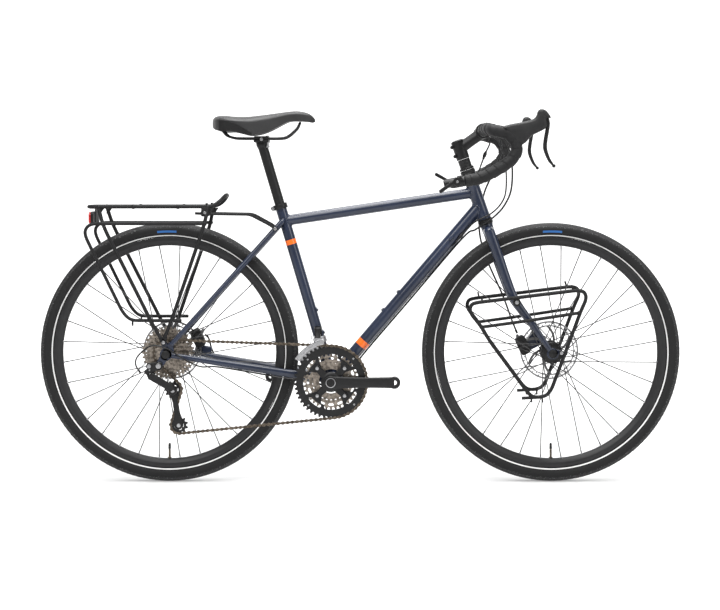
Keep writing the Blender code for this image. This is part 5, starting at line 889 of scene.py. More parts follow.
def seat_clamp_shape():
    """A split clamp round the top of the seat tube, drawn together by a bolt behind it."""
    s = Shape()
    top = SEAT_TUBE_LENGTH
    bore = SEAT_RADIUS + GAP
    s.turned([(bore, 0.0), (0.0186, 0.0), (0.019, 0.0008), (0.019, 0.0132), (0.0186, 0.014), (bore, 0.014)],
             along_seat(top - 0.0138), SEAT_DIRECTION, 48, closed=True)
    at = along_seat(top - 0.0068, -0.0205)
    for side in (1, -1):
        lug = at + Y_AXIS * side * 0.0038
        s.bar(lug - Y_AXIS * side * 0.003, lug + Y_AXIS * side * 0.0036, 0.006, sides=24, dome=0.001)
    s.bolt(at - Y_AXIS * 0.0072, -Y_AXIS, 0.0036, 0.003, skin=1)
    s.bar(at, at + Y_AXIS * 0.009, 0.0026, sides=16, dome=0.0005, skin=1)
    return s


def cup_profile(h):
    """A headset cup of a given height: a pressed skirt, a body with two grooves and an eased lip."""
    return [(0.0184, 0.0), (0.0196, 0.0004), (0.0202, 0.0022), (0.0196, 0.004), (0.0202, 0.0052),
            (0.0205, 0.007), (0.0205, h - 0.0035), (0.02, h - 0.0016), (0.0186, h)]


def headset_pieces():
    """Both cups, and the spacers in one turned stack with a groove between each two."""
    for word, height, foot, way in (("upper", UPPER_CUP, HEAD_TUBE_LENGTH + GAP, 1),
                                    ("lower", LOWER_CUP, -GAP, -1)):
        cup = Shape().turned(cup_profile(height), along_head(foot), HEAD_DIRECTION * way, 64)
        cup.piece(f"headset_{word}_cup", ["black_metal"], "black_metal")
    profile = [(0.015, 0.0), (0.019, 0.0), (0.0198, 0.0008), (0.0198, 0.0056), (0.019, 0.0064),
               (0.0162, 0.0066)]
    for low in (0.0066, 0.0146, 0.0226):
        profile += [(0.0165, low + 0.0004), (0.0165, low + 0.0074), (0.0162, low + 0.0078)]
    profile[-1] = (0.015, 0.0302)
    stack = Shape().turned(profile, along_head(SPACER_FOOT), HEAD_DIRECTION, 56)
    stack.piece("headset_spacers", ["black_plastic"], "black_metal")


def bottom_bracket_shape():
    """Two outboard cups with a row of wrench notches round each."""
    s = Shape()
    angle = turns(96)
    notch = 0.0009 * (np.cos(angle * 16) < -0.2)
    rows = [(0.02, 0.0), (0.0225, 0.0008), (0.0225, 0.006), (0.0212, 0.008), (0.015, 0.0084)]
    for side in (1, -1):
        s.grid(np.stack([at_y(circle(angle) * (r - notch * (r > 0.0215))[:, None],
                              side * (SHELL_HALF + GAP + y)) for r, y in rows]))
    return s


class BICYCLE_OT_frame(bpy.types.Operator):
    """Frame tubes, seat clamp, headset and bottom bracket"""
    bl_idname = "bicycle.frame"
    bl_label = "Frame"

    def execute(self, context):
        frame_shape().piece("frame_tubes", ["frame_paint"], "navy_paint", nodes=["frame"])
        seat_clamp_shape().piece("seat_clamp", ["black_metal", "silver_metal"], "black_metal")
        headset_pieces()
        bottom_bracket_shape().piece("bottom_bracket", ["black_metal"], "black_metal")
        screws = Shape()
        for at, way in bottle_marks(0.0022):
            screws.bolt(at, way, 0.0042, 0.0024)
        screws.piece("bottle_screws", ["silver_metal"], "silver_metal", nodes=(), rides="frame")
        return {"FINISHED"}


# Fork

BLADE_LINE = ((0.45, 0.041, 0.336), (0.473, 0.043, 0.27), (0.497, 0.0455, 0.215),
              (0.546, 0.05, 0.147), (0.5885, 0.0552, 0.0845))
BLADE_RADII = (0.014, 0.014, 0.013, 0.0118, 0.009, 0.0065)
FORK_BOSS = (0.497, 0.215)
FORK_EYELET = (0.616, 0.08)


def fork_shape():
    """Two curved, tapered and flattened blades below a crown, with dropouts and the brake's tab."""
    s = Shape()
    crown = along_head(-0.0328)
    s.bar(along_head(-0.045), along_head(-0.0162), 0.0158, 0.0172, sides=48)
    s.turned([(0.0172, 0.0), (0.0185, 0.0006), (0.0185, 0.003), (0.015, 0.0034)], along_head(-0.0193),
             HEAD_DIRECTION, 48)
    y = np.linspace(-0.046, 0.046, 25)
    drop = 0.0045 * (np.abs(y) / 0.046) ** 2
    path = np.stack([np.full(25, crown[0]), y, crown[2] - drop], axis=1)
    size = 0.0145 * np.sqrt(np.clip(1 - (np.abs(y) / 0.0485) ** 6, 0.05, 1))
    s.carried(path, ring(36), np.stack([size * 1.02, size * 0.94], axis=1), ref=Z_AXIS)
    for side in (1, -1):
        marks = np.array([(crown[0], 0.04, crown[2])] + list(BLADE_LINE)) * (1, side, 1)
        path = spline(marks, 10)
        radii = np.interp(np.linspace(0, 5, len(path)), np.arange(6), BLADE_RADII)
        s.carried(path, ring(36), np.stack([radii * 0.72, radii], axis=1), ref=X_AXIS * 0.6 + Z_AXIS * 0.8)
        y0, y1 = side * 0.05, side * 0.056
        s.slab(arc((FRONT_AXLE_X, AXLE_Z), 0.0155, 0, 352, 45), y0, y1, 0.0012)
        s.slab(capsule((0.603, 0.079), FORK_EYELET, 0.007, 0.0055), y0, y1, 0.001)
        out = np.array((FORK_BOSS[0], side * 0.0435, FORK_BOSS[1]))
        s.bar(out, (FORK_BOSS[0], side * 0.058, FORK_BOSS[1]), 0.007, 0.0062, sides=28, dome=0.0008)
    tab = [(0.555, 0.135), (0.583, 0.093), (0.544, 0.073), (0.533, 0.105)]
    s.slab(eased(tab, 0.004, 5, closed=True), 0.0508, 0.0563, 0.001)
    return s


class BICYCLE_OT_fork(bpy.types.Operator):
    """Fork with curved blades, crown, dropouts and the brake's tab"""
    bl_idname = "bicycle.fork"
    bl_label = "Fork"

    def execute(self, context):
        fork_shape().piece("fork_blades", ["frame_paint"], "navy_paint", nodes=["fork"])
        return {"FINISHED"}


# Wheels

RIM_INNER = 0.289
RIM_OUTER = 0.3126
TYRE_OUTER = 0.351
CASING_MIDDLE = 0.331
CASING_RADIUS = 0.02
TYRE_STEPS = 560
SPOKES = 32
FLANGE_RADIUS = 0.029
HOLE_CIRCLE = FLANGE_RADIUS - 0.004
REAR_FLANGES = (0.0345, -0.0205)
FRONT_FLANGES = (0.023, -0.033)
REAR_HUB_HALF = 0.0675
FRONT_HUB_HALF = 0.05
REAR_ROTOR_PLANE = 0.0525
FRONT_ROTOR_PLANE = 0.0395
WHEELS = (("rear", REAR_AXLE, REAR_FLANGES, REAR_HUB_HALF, REAR_ROTOR_PLANE),
          ("front", FRONT_AXLE, FRONT_FLANGES, FRONT_HUB_HALF, FRONT_ROTOR_PLANE))


def wheel_matrix(centre, angles):
    """Turns for copies that sit round a wheel at the given angles."""
    return np.stack([place(centre, about_y(angle)) for angle in angles])


def tyre_shape(centre, sizes):
    """The tread's arc turned round the axle.

    The radius at (u, v) is the casing's plus a lug height, which is a product of square-edged
    waves: along the wheel at u, and across it at v, with the centre left as a smooth ridge.
    """
    v = np.radians(np.linspace(-64, 244, 71))[:, None]
    u = turns(TYRE_STEPS)[None, :]
    y = CASING_RADIUS * np.cos(v) + 0 * u
    lift = CASING_RADIUS * np.sin(v)
    top = np.clip(np.sin(v), 0, 1)
    off = np.abs(y)
    ridge = bump(y, 0.0, 0.0016, 0.0008)
    knob = bump(off, 0.0125, 0.0022, 0.0008) * (np.cos(u * sizes.tread_blocks + 6 * off / 0.004) > -0.35)
    row = bump(off, 0.0065, 0.0018, 0.0006) * (np.cos(u * sizes.tread_blocks + 2.2) > -0.2)
    relief = sizes.tread_depth * (0.45 * ridge + 0.8 * knob + 0.55 * row) * (top > 0.05)
    radius = CASING_MIDDLE + lift - sizes.tread_depth * (top > 0.3) + relief
    foot = np.array((RIM_OUTER + GAP, RIM_OUTER + GAP + 0.0012, RIM_OUTER + GAP + 0.0024))
    side = np.array((0.0096, 0.0113, 0.0112))
    edges = (foot, side, foot[::-1], -side[::-1])
    beads = [np.broadcast_to(edge[:, None], (3, TYRE_STEPS)) for edge in edges]
    radius = np.concatenate([beads[0], radius, beads[2]])
    y = np.concatenate([beads[1], y, beads[3]])
    points = np.stack([centre[0] + radius * np.cos(u), y + centre[1], centre[2] + radius * np.sin(u)],
                      axis=-1)
    return Shape().grid(points, close_u=True)


def rim_shape(centre):
    """The rim's section turned round the axle: two hooks, eased walls and a rounded back."""
    section = mirrored([(RIM_OUTER, 0.0108), (RIM_OUTER, 0.0116), (0.312, 0.012), (0.301, 0.0121),
                        (0.3, 0.0117), (0.292, 0.0068), (0.2902, 0.0052), (0.2892, 0.003), (RIM_INNER, 0.0)])
    well = mirrored([(0.308, -0.0092), (0.306, -0.004)])
    return Shape().turned(section + well, centre, Y_AXIS, 288, closed=True)


def spoke_ends(flange, index):
    """Where a spoke leaves its flange and where it meets the rim, each pair crossing three others."""
    side = 1 if flange > 0 else -1
    hole = 2 * np.pi * index / 16
    way = 1 if index % 2 else -1
    rim = hole + way * (2 * np.pi * 3 * 2 / SPOKES) + side * np.pi / SPOKES
    return polar(HOLE_CIRCLE, hole, flange + 0.0014 * way), polar(0.2875, rim, 0.0016 * side)


def lacing(centre, flanges):
    """Thin wires from hub to rim, each with its nipple and the eyelet in the rim's back."""
    wires = Shape()
    nipples = Shape()
    head = [(0.0003, -0.0006), (0.002, 0.0), (0.0017, 0.0009), (0.0004, 0.0012)]
    nipple = [(0.0011, -0.0085), (0.0017, -0.0078), (0.0017, -0.002), (0.0012, -0.0008)]
    eyelet = [(0.0022, -0.0016), (0.0034, -0.001), (0.0036, 0.0006), (0.002, 0.0012)]
    for flange in flanges:
        for index in range(SPOKES // 2):
            start, end = (point + centre for point in spoke_ends(flange, index))
            wires.bar(start, end, 0.00135, sides=8)
            way = np.array((0, np.sign(start[1] - centre[1] - flange), 0))
            wires.turned(head, start + way * 0.0006, way, 10)
            nipples.turned(nipple, end, unit(end - start), 10)
            radial = unit((end - centre) * (1, 0, 1))
            at = centre + radial * (RIM_INNER + 0.0002) + np.array((0, end[1], 0))
            nipples.turned(eyelet, at, radial, 16, skin=1)
    return wires, nipples


def hub_shape(centre, flanges, half, rotor):
    """The hub's turned shell: drilled flanges, a waisted barrel, end collars and the rotor's seat."""
    left, right = flanges
    f = 0.0025
    rims = [[(FLANGE_RADIUS - 0.001, at - f), (FLANGE_RADIUS, at - f + 0.001),
             (FLANGE_RADIUS, at + f - 0.001), (FLANGE_RADIUS - 0.001, at + f)] for at in (right, left)]
    profile = [(0.0055, -half), (0.0095, -half + 0.0005), (0.0095, right - f - 0.006),
               (0.012, right - f - 0.004), (0.02, right - f), *rims[0], (0.019, right + f),
               (0.014, right + f + 0.0035), (0.0125, right + f + 0.008), (0.0122, (left + right) / 2),
               (0.0125, left - f - 0.008), (0.014, left - f - 0.0035), (0.019, left - f), *rims[1],
               (0.0215, left + f), (0.0215, rotor - 0.0012), (0.016, rotor - 0.0012), (0.016, rotor + 0.0012),
               (0.013, rotor + 0.004), (0.0095, rotor + 0.005), (0.0095, half - 0.0005), (0.0055, half)]
    s = Shape().turned(profile, centre, Y_AXIS, 72)
    for flange in flanges:
        for angle in turns(16):
            at = centre + polar(HOLE_CIRCLE, angle, flange)
            for way in (1, -1):
                s.turned([(0.0023, 0.0), (0.0021, 0.0004), (0.0013, 0.0004)], at + way * f * Y_AXIS,
                         Y_AXIS * way, 12)
    return s


def rotor_shape(centre, plane):
    """A slotted disc: a track of drilled waves, six swept arms and an inner ring with bolts.

    The arms are bands whose edges are angle = start + sweep times the share of the radius,
    and the openings are the spaces left between them.
    """
    s = Shape()
    y0, y1 = plane - 0.0009, plane + 0.0009
    count = 360
    angle = turns(count)
    middle = (centre[0], centre[2])
    for inner, outer in ((0.0655 + 0.0007 * np.cos(angle * 12), 0.069), (0.0716, 0.0722),
                         (0.0752, ROTOR_RADIUS)):
        s.annulus(middle, inner, outer, y0, y1, 0.0001, count)
    for low, high, shift in ((0.0688, 0.0718, 0.0), (0.072, 0.0754, 0.5)):
        corners = [(low, -0.0016), (high, -0.0016), (high, 0.0016), (low, 0.0016)]
        bridge = Shape().slab(corners, y0, y1, 0.0001)
        s.copies(bridge, wheel_matrix(centre, 2 * np.pi * (np.arange(24) + shift) / 24))
    s.annulus(middle, 0.0165, 0.0262 + 0.0022 * np.cos(angle * 6), y0, y1, 0.0002, count)
    t = np.linspace(0, 1, 10)
    radius = 0.0245 + t * (0.0665 - 0.0245)
    sweep = np.radians(34) * t
    half = np.radians(7.5) * 0.0245 / radius * (1 + 0.35 * t)
    low, high = (circle(sweep + way * half) * radius[:, None] for way in (-1, 1))
    arm = Shape().slab(np.concatenate([low, high[::-1]]), y0, y1, 0.0002)
    s.copies(arm, wheel_matrix(centre, turns(6)))
    for a in 2 * np.pi * (np.arange(6) + 0.15) / 6:
        s.bolt(centre + polar(0.0212, a, y1), Y_AXIS, 0.0033, 0.0022, skin=1)
    return s


def axle_shape(centre, half):
    """The quick-release: an axle, a lever's round head on the left and a nut on the right."""
    s = Shape()
    edge = half + 0.006
    s.bar(centre + Y_AXIS * -edge, centre + Y_AXIS * edge, 0.0045, sides=20)
    head = [(0.0092, 0.0), (0.0112, 0.0006), (0.0115, 0.0018), (0.011, 0.004), (0.0078, 0.0054),
            (0.004, 0.006)]
    for way in (1, -1):
        s.turned(head, centre + Y_AXIS * way * (edge + GAP), Y_AXIS * way, 40)
    return s


def make_wheel(name, centre, flanges, half, rotor, sizes):
    tyre_shape(centre, sizes).piece(name + "_tyre", ["tyre_rubber"], "black_rubber", sharp=24)
    rim_shape(centre).piece(name + "_rim", ["rim_black"], "black_metal")
    valve = Shape()
    at = centre - np.array((0, 0, RIM_INNER - 0.001))
    stem = [(0.0055, 0.0), (0.0052, 0.0016), (0.003, 0.0022), (0.0029, 0.025), (0.0021, 0.0262),
            (0.002, 0.033), (0.003, 0.0338), (0.0029, 0.037), (0.0012, 0.0385)]
    cap = [(0.003, 0.024), (0.0036, 0.025), (0.0034, 0.037), (0.0022, 0.04)]
    valve.turned(stem, at, Z_AXIS, 20)
    valve.turned(cap, at, Z_AXIS, 20, skin=1)
    on_rim = {"nodes": (), "rides": name + "_rim"}
    on_hub = {"nodes": [name + "_hub"]}
    valve.piece(name + "_valve", ["chain_metal", "black_plastic"], "silver_metal", **on_rim)
    wires, nipples = lacing(centre, flanges)
    wires.piece(name + "_spokes", ["spoke_steel"], "silver_metal", **on_hub)
    nipples.piece(name + "_nipples", ["spoke_steel", "silver_metal"], "black_metal", **on_rim)
    hub = hub_shape(centre, flanges, half, rotor)
    hub.piece(name + "_hub_shell", ["hub_black", "silver_metal"], "black_metal", **on_hub)
    rotor_shape(centre, rotor).piece(name + "_rotor", ["rotor_steel", "black_metal"], "silver_metal")


class BICYCLE_OT_wheels(bpy.types.Operator):
    """Two spoked wheels with treaded tyres, hubs, brake rotors and quick-release axles"""
    bl_idname = "bicycle.wheels"
    bl_label = "Wheels"

    def execute(self, context):
        sizes = context.scene.bicycle_sizes
        for name, centre, flanges, half, rotor in WHEELS:
            make_wheel(name, centre, flanges, half, rotor, sizes)
        for name, centre, _, half, _ in WHEELS:
            axle_shape(centre, half).piece(name + "_axle", ["black_metal"], "black_metal")
        return {"FINISHED"}


# Drivetrain

PITCH = 0.0127
RING_TEETH = (48, 36, 26)
RING_PLANES = (-0.055, -0.048, -0.041)
COGS = (11, 12, 14, 16, 18, 20, 23, 26, 30, 34)
COG_IN_USE = 18
COG_SPACING = 0.00395
FIRST_COG_PLANE = -0.0605
CHAIN_PLANE = -0.0447
GUIDE = (-0.424, -0.022)
TENSION = (-0.4092, -0.1177)
PULLEY_TEETH = 11
CRANK_LENGTH = 0.17
BOLT_CIRCLE = 0.052
BOLT_ANGLES = np.radians((45, 135, 225, 315))


def pitch_radius(teeth):
    """The radius through the chain's pins when a wheel of so many teeth carries it."""
    return PITCH / (2 * math.sin(math.pi / teeth))


def toothed(teeth, rise=0.0026, drop=0.004, start=0.0, points=10):
    """The angles and radii of a toothed edge: the pitch radius plus a flattened wave.

    With w the cosine of the angle times the tooth count, it is pitch + mean + half the depth
    times w divided by the square root of (0.25 + w squared) over its greatest value.
    """
    angle = turns(teeth * points)
    w = np.cos((angle - start) * teeth)
    shaped = w / np.sqrt(0.25 + w * w) * math.sqrt(1.25)
    return angle, pitch_radius(teeth) + (rise - drop) / 2 + (rise + drop) / 2 * shaped


def toothed_ring(shape, centre, teeth, plane, thickness, bore, edge=0.0004):
    """A flat ring with teeth outside and a bore given by its radius, or by one for each angle."""
    angle, outer = toothed(teeth)
    shape.annulus(centre, bore, outer, plane - thickness / 2, plane + thickness / 2, edge, len(angle))


def ring_bore(base, teeth):
    """The radius of a bore with four lobes that reach inwards at the bolts."""
    lobe = bump(around(toothed(teeth)[0], 45, 90), 0.0, 7.0, 9.0)
    return base + 0.0065 - 0.0065 * lobe


def outer_ring_shape():
    """The outer chainring: a toothed rim with a tab at each bolt, and a slot through each tab's web.

    The inner edge is a circle drawn in towards the bolts by a smooth bump of the angle. The
    slot is the space left between an inner and an outer band.
    """
    s = Shape()
    low, high = RING_PLANES[0] - 0.001, RING_PLANES[0] + 0.001
    angle, tip = toothed(RING_TEETH[0], start=np.pi / RING_TEETH[0])
    web = bump(around(angle, 52.0, 90), 0.0, 19.0, 7.0)
    tab = bump(around(angle, 46.0, 90), 0.0, 9.0, 12.0)
    slot = 0.0046 * bump(around(angle, 52.0, 90), 0.0, 13.0, 3.5)
    parting = 0.0775 - 0.0065 * web
    inner = 0.0745 - 0.011 * web - 0.019 * web * tab
    inner = np.minimum(inner, parting - slot - 0.0015)
    s.annulus((0, 0), inner, parting - slot, low, high, 0.00005, len(angle))
    s.annulus((0, 0), parting + slot, tip, low, high, 0.00005, len(angle))
    for turn in (46, 136, 226, 316):
        s.turned([(0.0026, 0.0), (0.0024, 0.0005), (0.001, 0.0008)], polar(0.0868, math.radians(turn), low),
                 -Y_AXIS, 16, skin=1)
    return s


def pierced_ring(shape, centre, teeth, plane, bore, windows, turn=0.0):
    """A toothed ring in two bands; the gaps between them are a row of openings near the teeth.

    Each band's edge is the parting radius less or plus a bump of the angle at every opening.
    """
    angle, tip = toothed(teeth)
    part = 360.0 / windows
    opening = bump(around(angle, -turn, part), 0.0, part * 0.22, part * 0.1)
    parting = pitch_radius(teeth) - 0.0105
    low, high = plane - 0.0009, plane + 0.0009
    shape.annulus(centre, bore, parting - 0.0035 * opening, low, high, 0.00001, len(angle))
    shape.annulus(centre, parting + 0.003 * opening, tip, low, high, 0.00002, len(angle))


def inner_rings():
    middle = Shape()
    pierced_ring(middle, (0, 0), RING_TEETH[1], RING_PLANES[1], ring_bore(0.044, RING_TEETH[1]), 16)
    middle.piece("chainring_middle", ["cog_metal"], "silver_metal")
    inner = Shape()
    toothed_ring(inner, (0, 0), RING_TEETH[2], RING_PLANES[2], 0.002, ring_bore(0.026, RING_TEETH[2]))
    inner.piece("chainring_inner", ["cog_metal"], "silver_metal")


def spider_shape(s):
    """Four arms from the crank's boss to the rings: each a capsule with a raised, eased face."""
    for angle in BOLT_ANGLES:
        way = np.array((math.cos(angle), math.sin(angle)))
        s.slab(capsule(way * 0.018, way * BOLT_CIRCLE, 0.0105, 0.0078, 14), -0.0563, -0.0613, 0.0014)
    boss = [(0.027, 0.0), (0.027, 0.0035), (0.0255, 0.005), (0.0175, 0.007)]
    s.turned(boss, (0, -0.0563, 0), -Y_AXIS, 64)


def crank_arm(s, way, side):
    """One crank: a rounded section carried from the axle to the pedal's eye, waisted between them.

    Its half height falls from the boss to the eye along a straight line with a sine's dip.
    """
    t = np.linspace(0, 1, 41)
    half = (0.0168 + (0.015 - 0.0168) * t) * (1 - 0.13 * np.sin(np.pi * t))
    thick = 0.0065 * (1 - 0.06 * np.sin(np.pi * t))
    path = np.stack([way * CRANK_LENGTH * t, np.full(41, side * 0.0705), 0 * t], axis=1)
    s.carried(path, oblong(1.0, 1.0, 0.55, 6), np.stack([thick, half], axis=1), ref=Z_AXIS)
    y, r = side * 0.064, 0.0175
    boss = [(r, -0.002), (r, 0.0138), (r - 0.0014, 0.015), (0.0142, 0.015), (0.0138, 0.0138), (0.006, 0.0136)]
    s.turned(boss, (0.0, y, 0.0), Y_AXIS * side, 56)
    r = 0.0162
    eye = [(0.007, 0.0), (r - 0.0012, 0.0), (r, 0.0012), (r, 0.0118), (r - 0.0012, 0.013), (0.007, 0.013)]
    s.turned(eye, (way * CRANK_LENGTH, y, 0.0), Y_AXIS * side, 56, closed=True)


def axle_cap(s, side):
    """The axle's bolt cap: a shallow dish with a hexagonal socket."""
    s.bolt((0.0, side * 0.0777, 0.0), Y_AXIS * side, 0.0112, 0.002, skin=1)
    s.turned([(0.013, 0.0), (0.013, 0.0008), (0.0114, 0.0012), (0.0106, 0.0004)],
             (0, side * 0.0776, 0), Y_AXIS * side, 48, skin=2)


def crank_pieces():
    right = Shape()
    spider_shape(right)
    crank_arm(right, 1, -1)
    axle_cap(right, -1)
    right.bar((0, -0.064, 0), (0, 0.064, 0), 0.012, sides=32)
    left = Shape()
    crank_arm(left, -1, 1)
    axle_cap(left, 1)
    for word, crank in (("right", right), ("left", left)):
        crank.piece("crank_" + word, ["crank_black", "black_metal", "silver_metal"], "black_metal")
    bolts = Shape()
    for angle in BOLT_ANGLES:
        bolts.bolt(polar(BOLT_CIRCLE, angle, -0.0613), -Y_AXIS, 0.0046, 0.0016)
        inner = polar(0.032, angle, -0.043)
        bolts.bolt(inner, Y_AXIS, 0.0042, 0.0016)
        bolts.bar(inner - Y_AXIS * 0.009, inner, 0.003, sides=16)
    bolts.piece("ring_bolts", ["silver_metal"], "silver_metal", nodes=(), rides="chainring_outer")


class BICYCLE_OT_crankset(bpy.types.Operator):
    """Three toothed chainrings, the spider, both cranks and their bolts"""
    bl_idname = "bicycle.crankset"
    bl_label = "Crankset"

    def execute(self, context):
        outer_ring_shape().piece("chainring_outer", ["ring_black", "silver_metal"], "black_metal")
        inner_rings()
        crank_pieces()
        return {"FINISHED"}


def cassette_shape():
    """Ten toothed cogs on a carrier; the larger ones have openings near their teeth."""
    s = Shape()
    centre = (REAR_AXLE_X, AXLE_Z)
    for index, teeth in enumerate(COGS):
        plane = FIRST_COG_PLANE + index * COG_SPACING
        if teeth < 20:
            toothed_ring(s, centre, teeth, plane, 0.0018, 0.015, 0.0003)
        else:
            pierced_ring(s, centre, teeth, plane, 0.017, 12 if teeth > 25 else 8, index * 7.0)
    profile = [(0.01, -0.0668), (0.015, -0.0668), (0.0162, -0.0655), (0.0162, -0.0622), (0.0175, -0.061),
               (0.0175, -0.024), (0.01, -0.024)]
    s.turned(profile, (REAR_AXLE_X, 0, AXLE_Z), Y_AXIS, 48, closed=True)
    return s


def belt_line():
    """The chain's closed line in the side view: arcs round four wheels and the straights between.

    Each straight touches its two wheels where their radii are square to it. Points stand on
    the arcs only, 60 on each.
    """
    stops = [((0.0, 0.0), pitch_radius(RING_TEETH[0]), 1),
             ((REAR_AXLE_X, AXLE_Z), pitch_radius(COG_IN_USE), 1),
             (GUIDE, pitch_radius(PULLEY_TEETH), -1), (TENSION, pitch_radius(PULLEY_TEETH), 1)]
    leaving = []
    arriving = [None] * len(stops)
    for k, (c1, r1, t1) in enumerate(stops):
        c2, r2, t2 = stops[(k + 1) % len(stops)]
        gap = np.subtract(c2, c1)
        distance = np.linalg.norm(gap)
        way = math.atan2(gap[1], gap[0]) + math.asin((t1 * r1 - t2 * r2) / distance)
        normal = np.array((-math.sin(way), math.cos(way)))
        leaving.append(np.asarray(c1) - normal * t1 * r1)
        arriving[(k + 1) % len(stops)] = np.asarray(c2) - normal * t2 * r2
    line = []
    for k, (centre, radius, turn) in enumerate(stops):
        a = math.atan2(*(arriving[k] - centre)[::-1])
        b = math.atan2(*(leaving[k] - centre)[::-1])
        sweep = ((b - a) * turn) % (2 * math.pi) * turn
        line.append(np.add(centre, radius * circle(a + sweep * np.linspace(0, 1, 60))))
    return np.concatenate(line)


def chain_plane(x):
    """How far the chain stands to the side at a place along the bicycle."""
    return CHAIN_PLANE + (RING_PLANES[0] - CHAIN_PLANE) * np.clip(1 - x / -0.38, 0, 1)


def link_plate(spread, y0, y1, waist, radius):
    """One side plate of a link: two round ends about its pins with a waist between."""
    half = spread / 2
    t = np.linspace(-1, 1, 9)
    dip = radius - (radius - waist) * np.cos(t * np.pi / 2) ** 2
    x = half * t
    top = np.stack([x, dip], axis=1)
    right = arc((half, 0), radius, 80, -80, 7)
    low = np.stack([x[::-1], -dip[::-1]], axis=1)
    left = arc((-half, 0), radius, 260, 100, 7)
    return Shape().slab(np.concatenate([top, right, low, left]), y0, y1, 0.0002)


def chain_shape():
    """Links laid along the belt: inner and outer plates in turn, each with its rollers and pins."""
    line = belt_line()
    closed = np.concatenate([line, line[:1]])
    along = np.concatenate([[0], np.cumsum(np.linalg.norm(np.diff(closed, axis=0), axis=1))])
    count = 2 * int(round(along[-1] / PITCH / 2))
    at = along[-1] * np.arange(count) / count
    pins = np.stack([np.interp(at, along, closed[:, 0]), np.interp(at, along, closed[:, 1])], axis=1)
    pins = np.stack([pins[:, 0], chain_plane(pins[:, 0]), pins[:, 1]], axis=1)
    after = np.roll(pins, -1, axis=0)
    middle = (pins + after) / 2
    ahead = unit(after - pins)
    up = unit(np.cross(ahead, Y_AXIS))
    side = np.cross(up, ahead)
    matrices = np.tile(np.eye(4), (count, 1, 1))
    matrices[:, :3, 0] = ahead
    matrices[:, :3, 1] = side
    matrices[:, :3, 2] = up
    matrices[:, :3, 3] = middle
    spread = along[-1] / count
    inner = Shape()
    outer = Shape()
    for way in (1, -1):
        inner.copies(link_plate(spread, way * 0.0014, way * 0.0021, 0.0024, 0.0043), np.eye(4)[None])
        outer.copies(link_plate(spread, way * 0.0021, way * 0.0028, 0.0023, 0.00425), np.eye(4)[None])
    for x in (spread / 2, -spread / 2):
        inner.bar((x, -0.0014, 0), (x, 0.0014, 0), 0.0034, sides=12)
        outer.bar((x, -0.003, 0), (x, 0.003, 0), 0.0016, sides=8)
    s = Shape()
    s.copies(inner, matrices[0::2])
    s.copies(outer, matrices[1::2])
    return s


class BICYCLE_OT_chain(bpy.types.Operator):
    """The cassette of ten cogs and the roller chain round all its wheels"""
    bl_idname = "bicycle.chain"
    bl_label = "Chain and Cassette"

    def execute(self, context):
        cassette_shape().piece("cassette_cogs", ["cog_metal"], "silver_metal", nodes=["cassette"])
        chain_shape().piece("roller_chain", ["chain_metal"], "chain_metal", nodes=["chain"])
        return {"FINISHED"}


# Derailleurs

PIN_WAY = np.array((0.503871, 0.0, 0.863779))
LINK_NEAR = np.array((-0.478, -0.073, 0.018))
LINK_FAR = np.array((-0.43, -0.073, -0.01))
LINK_WAY = unit(LINK_FAR - LINK_NEAR)
EAR = mirrored([(0.005, -0.0013), (0.0064, -0.0008)])


def pulley_shape(centre):
    """A toothed jockey wheel with a dished web, five openings and a hub."""
    s = Shape()
    plane = CHAIN_PLANE
    angle, tip = toothed(PULLEY_TEETH, rise=0.0022, drop=0.003, start=0.3, points=14)
    opening = bump(around(angle, 0, 72), 0.0, 16.0, 8.0)
    for inner, outer, half, edge in ((0.0135, tip, 0.0011, 0.0003),
                                     (0.011 + 0.002 * opening, 0.0136, 0.0007, 0.00005),
                                     (0.004, 0.0108 - 0.003 * opening, 0.0008, 0.00005)):
        s.annulus(centre, inner, outer, plane - half, plane + half, edge, len(angle))
    hub = mirrored([(0.0034, -0.005), (0.0062, -0.005), (0.0068, -0.004)])
    s.turned(hub, (centre[0], plane, centre[1]), Y_AXIS, 36, closed=True)
    return s


def hinge_pin(s, at):
    """The pin through one pivot of the parallelogram."""
    s.bar(at - PIN_WAY * 0.0112, at + PIN_WAY * 0.0112, 0.003, sides=20, dome=0.0006, skin=1)


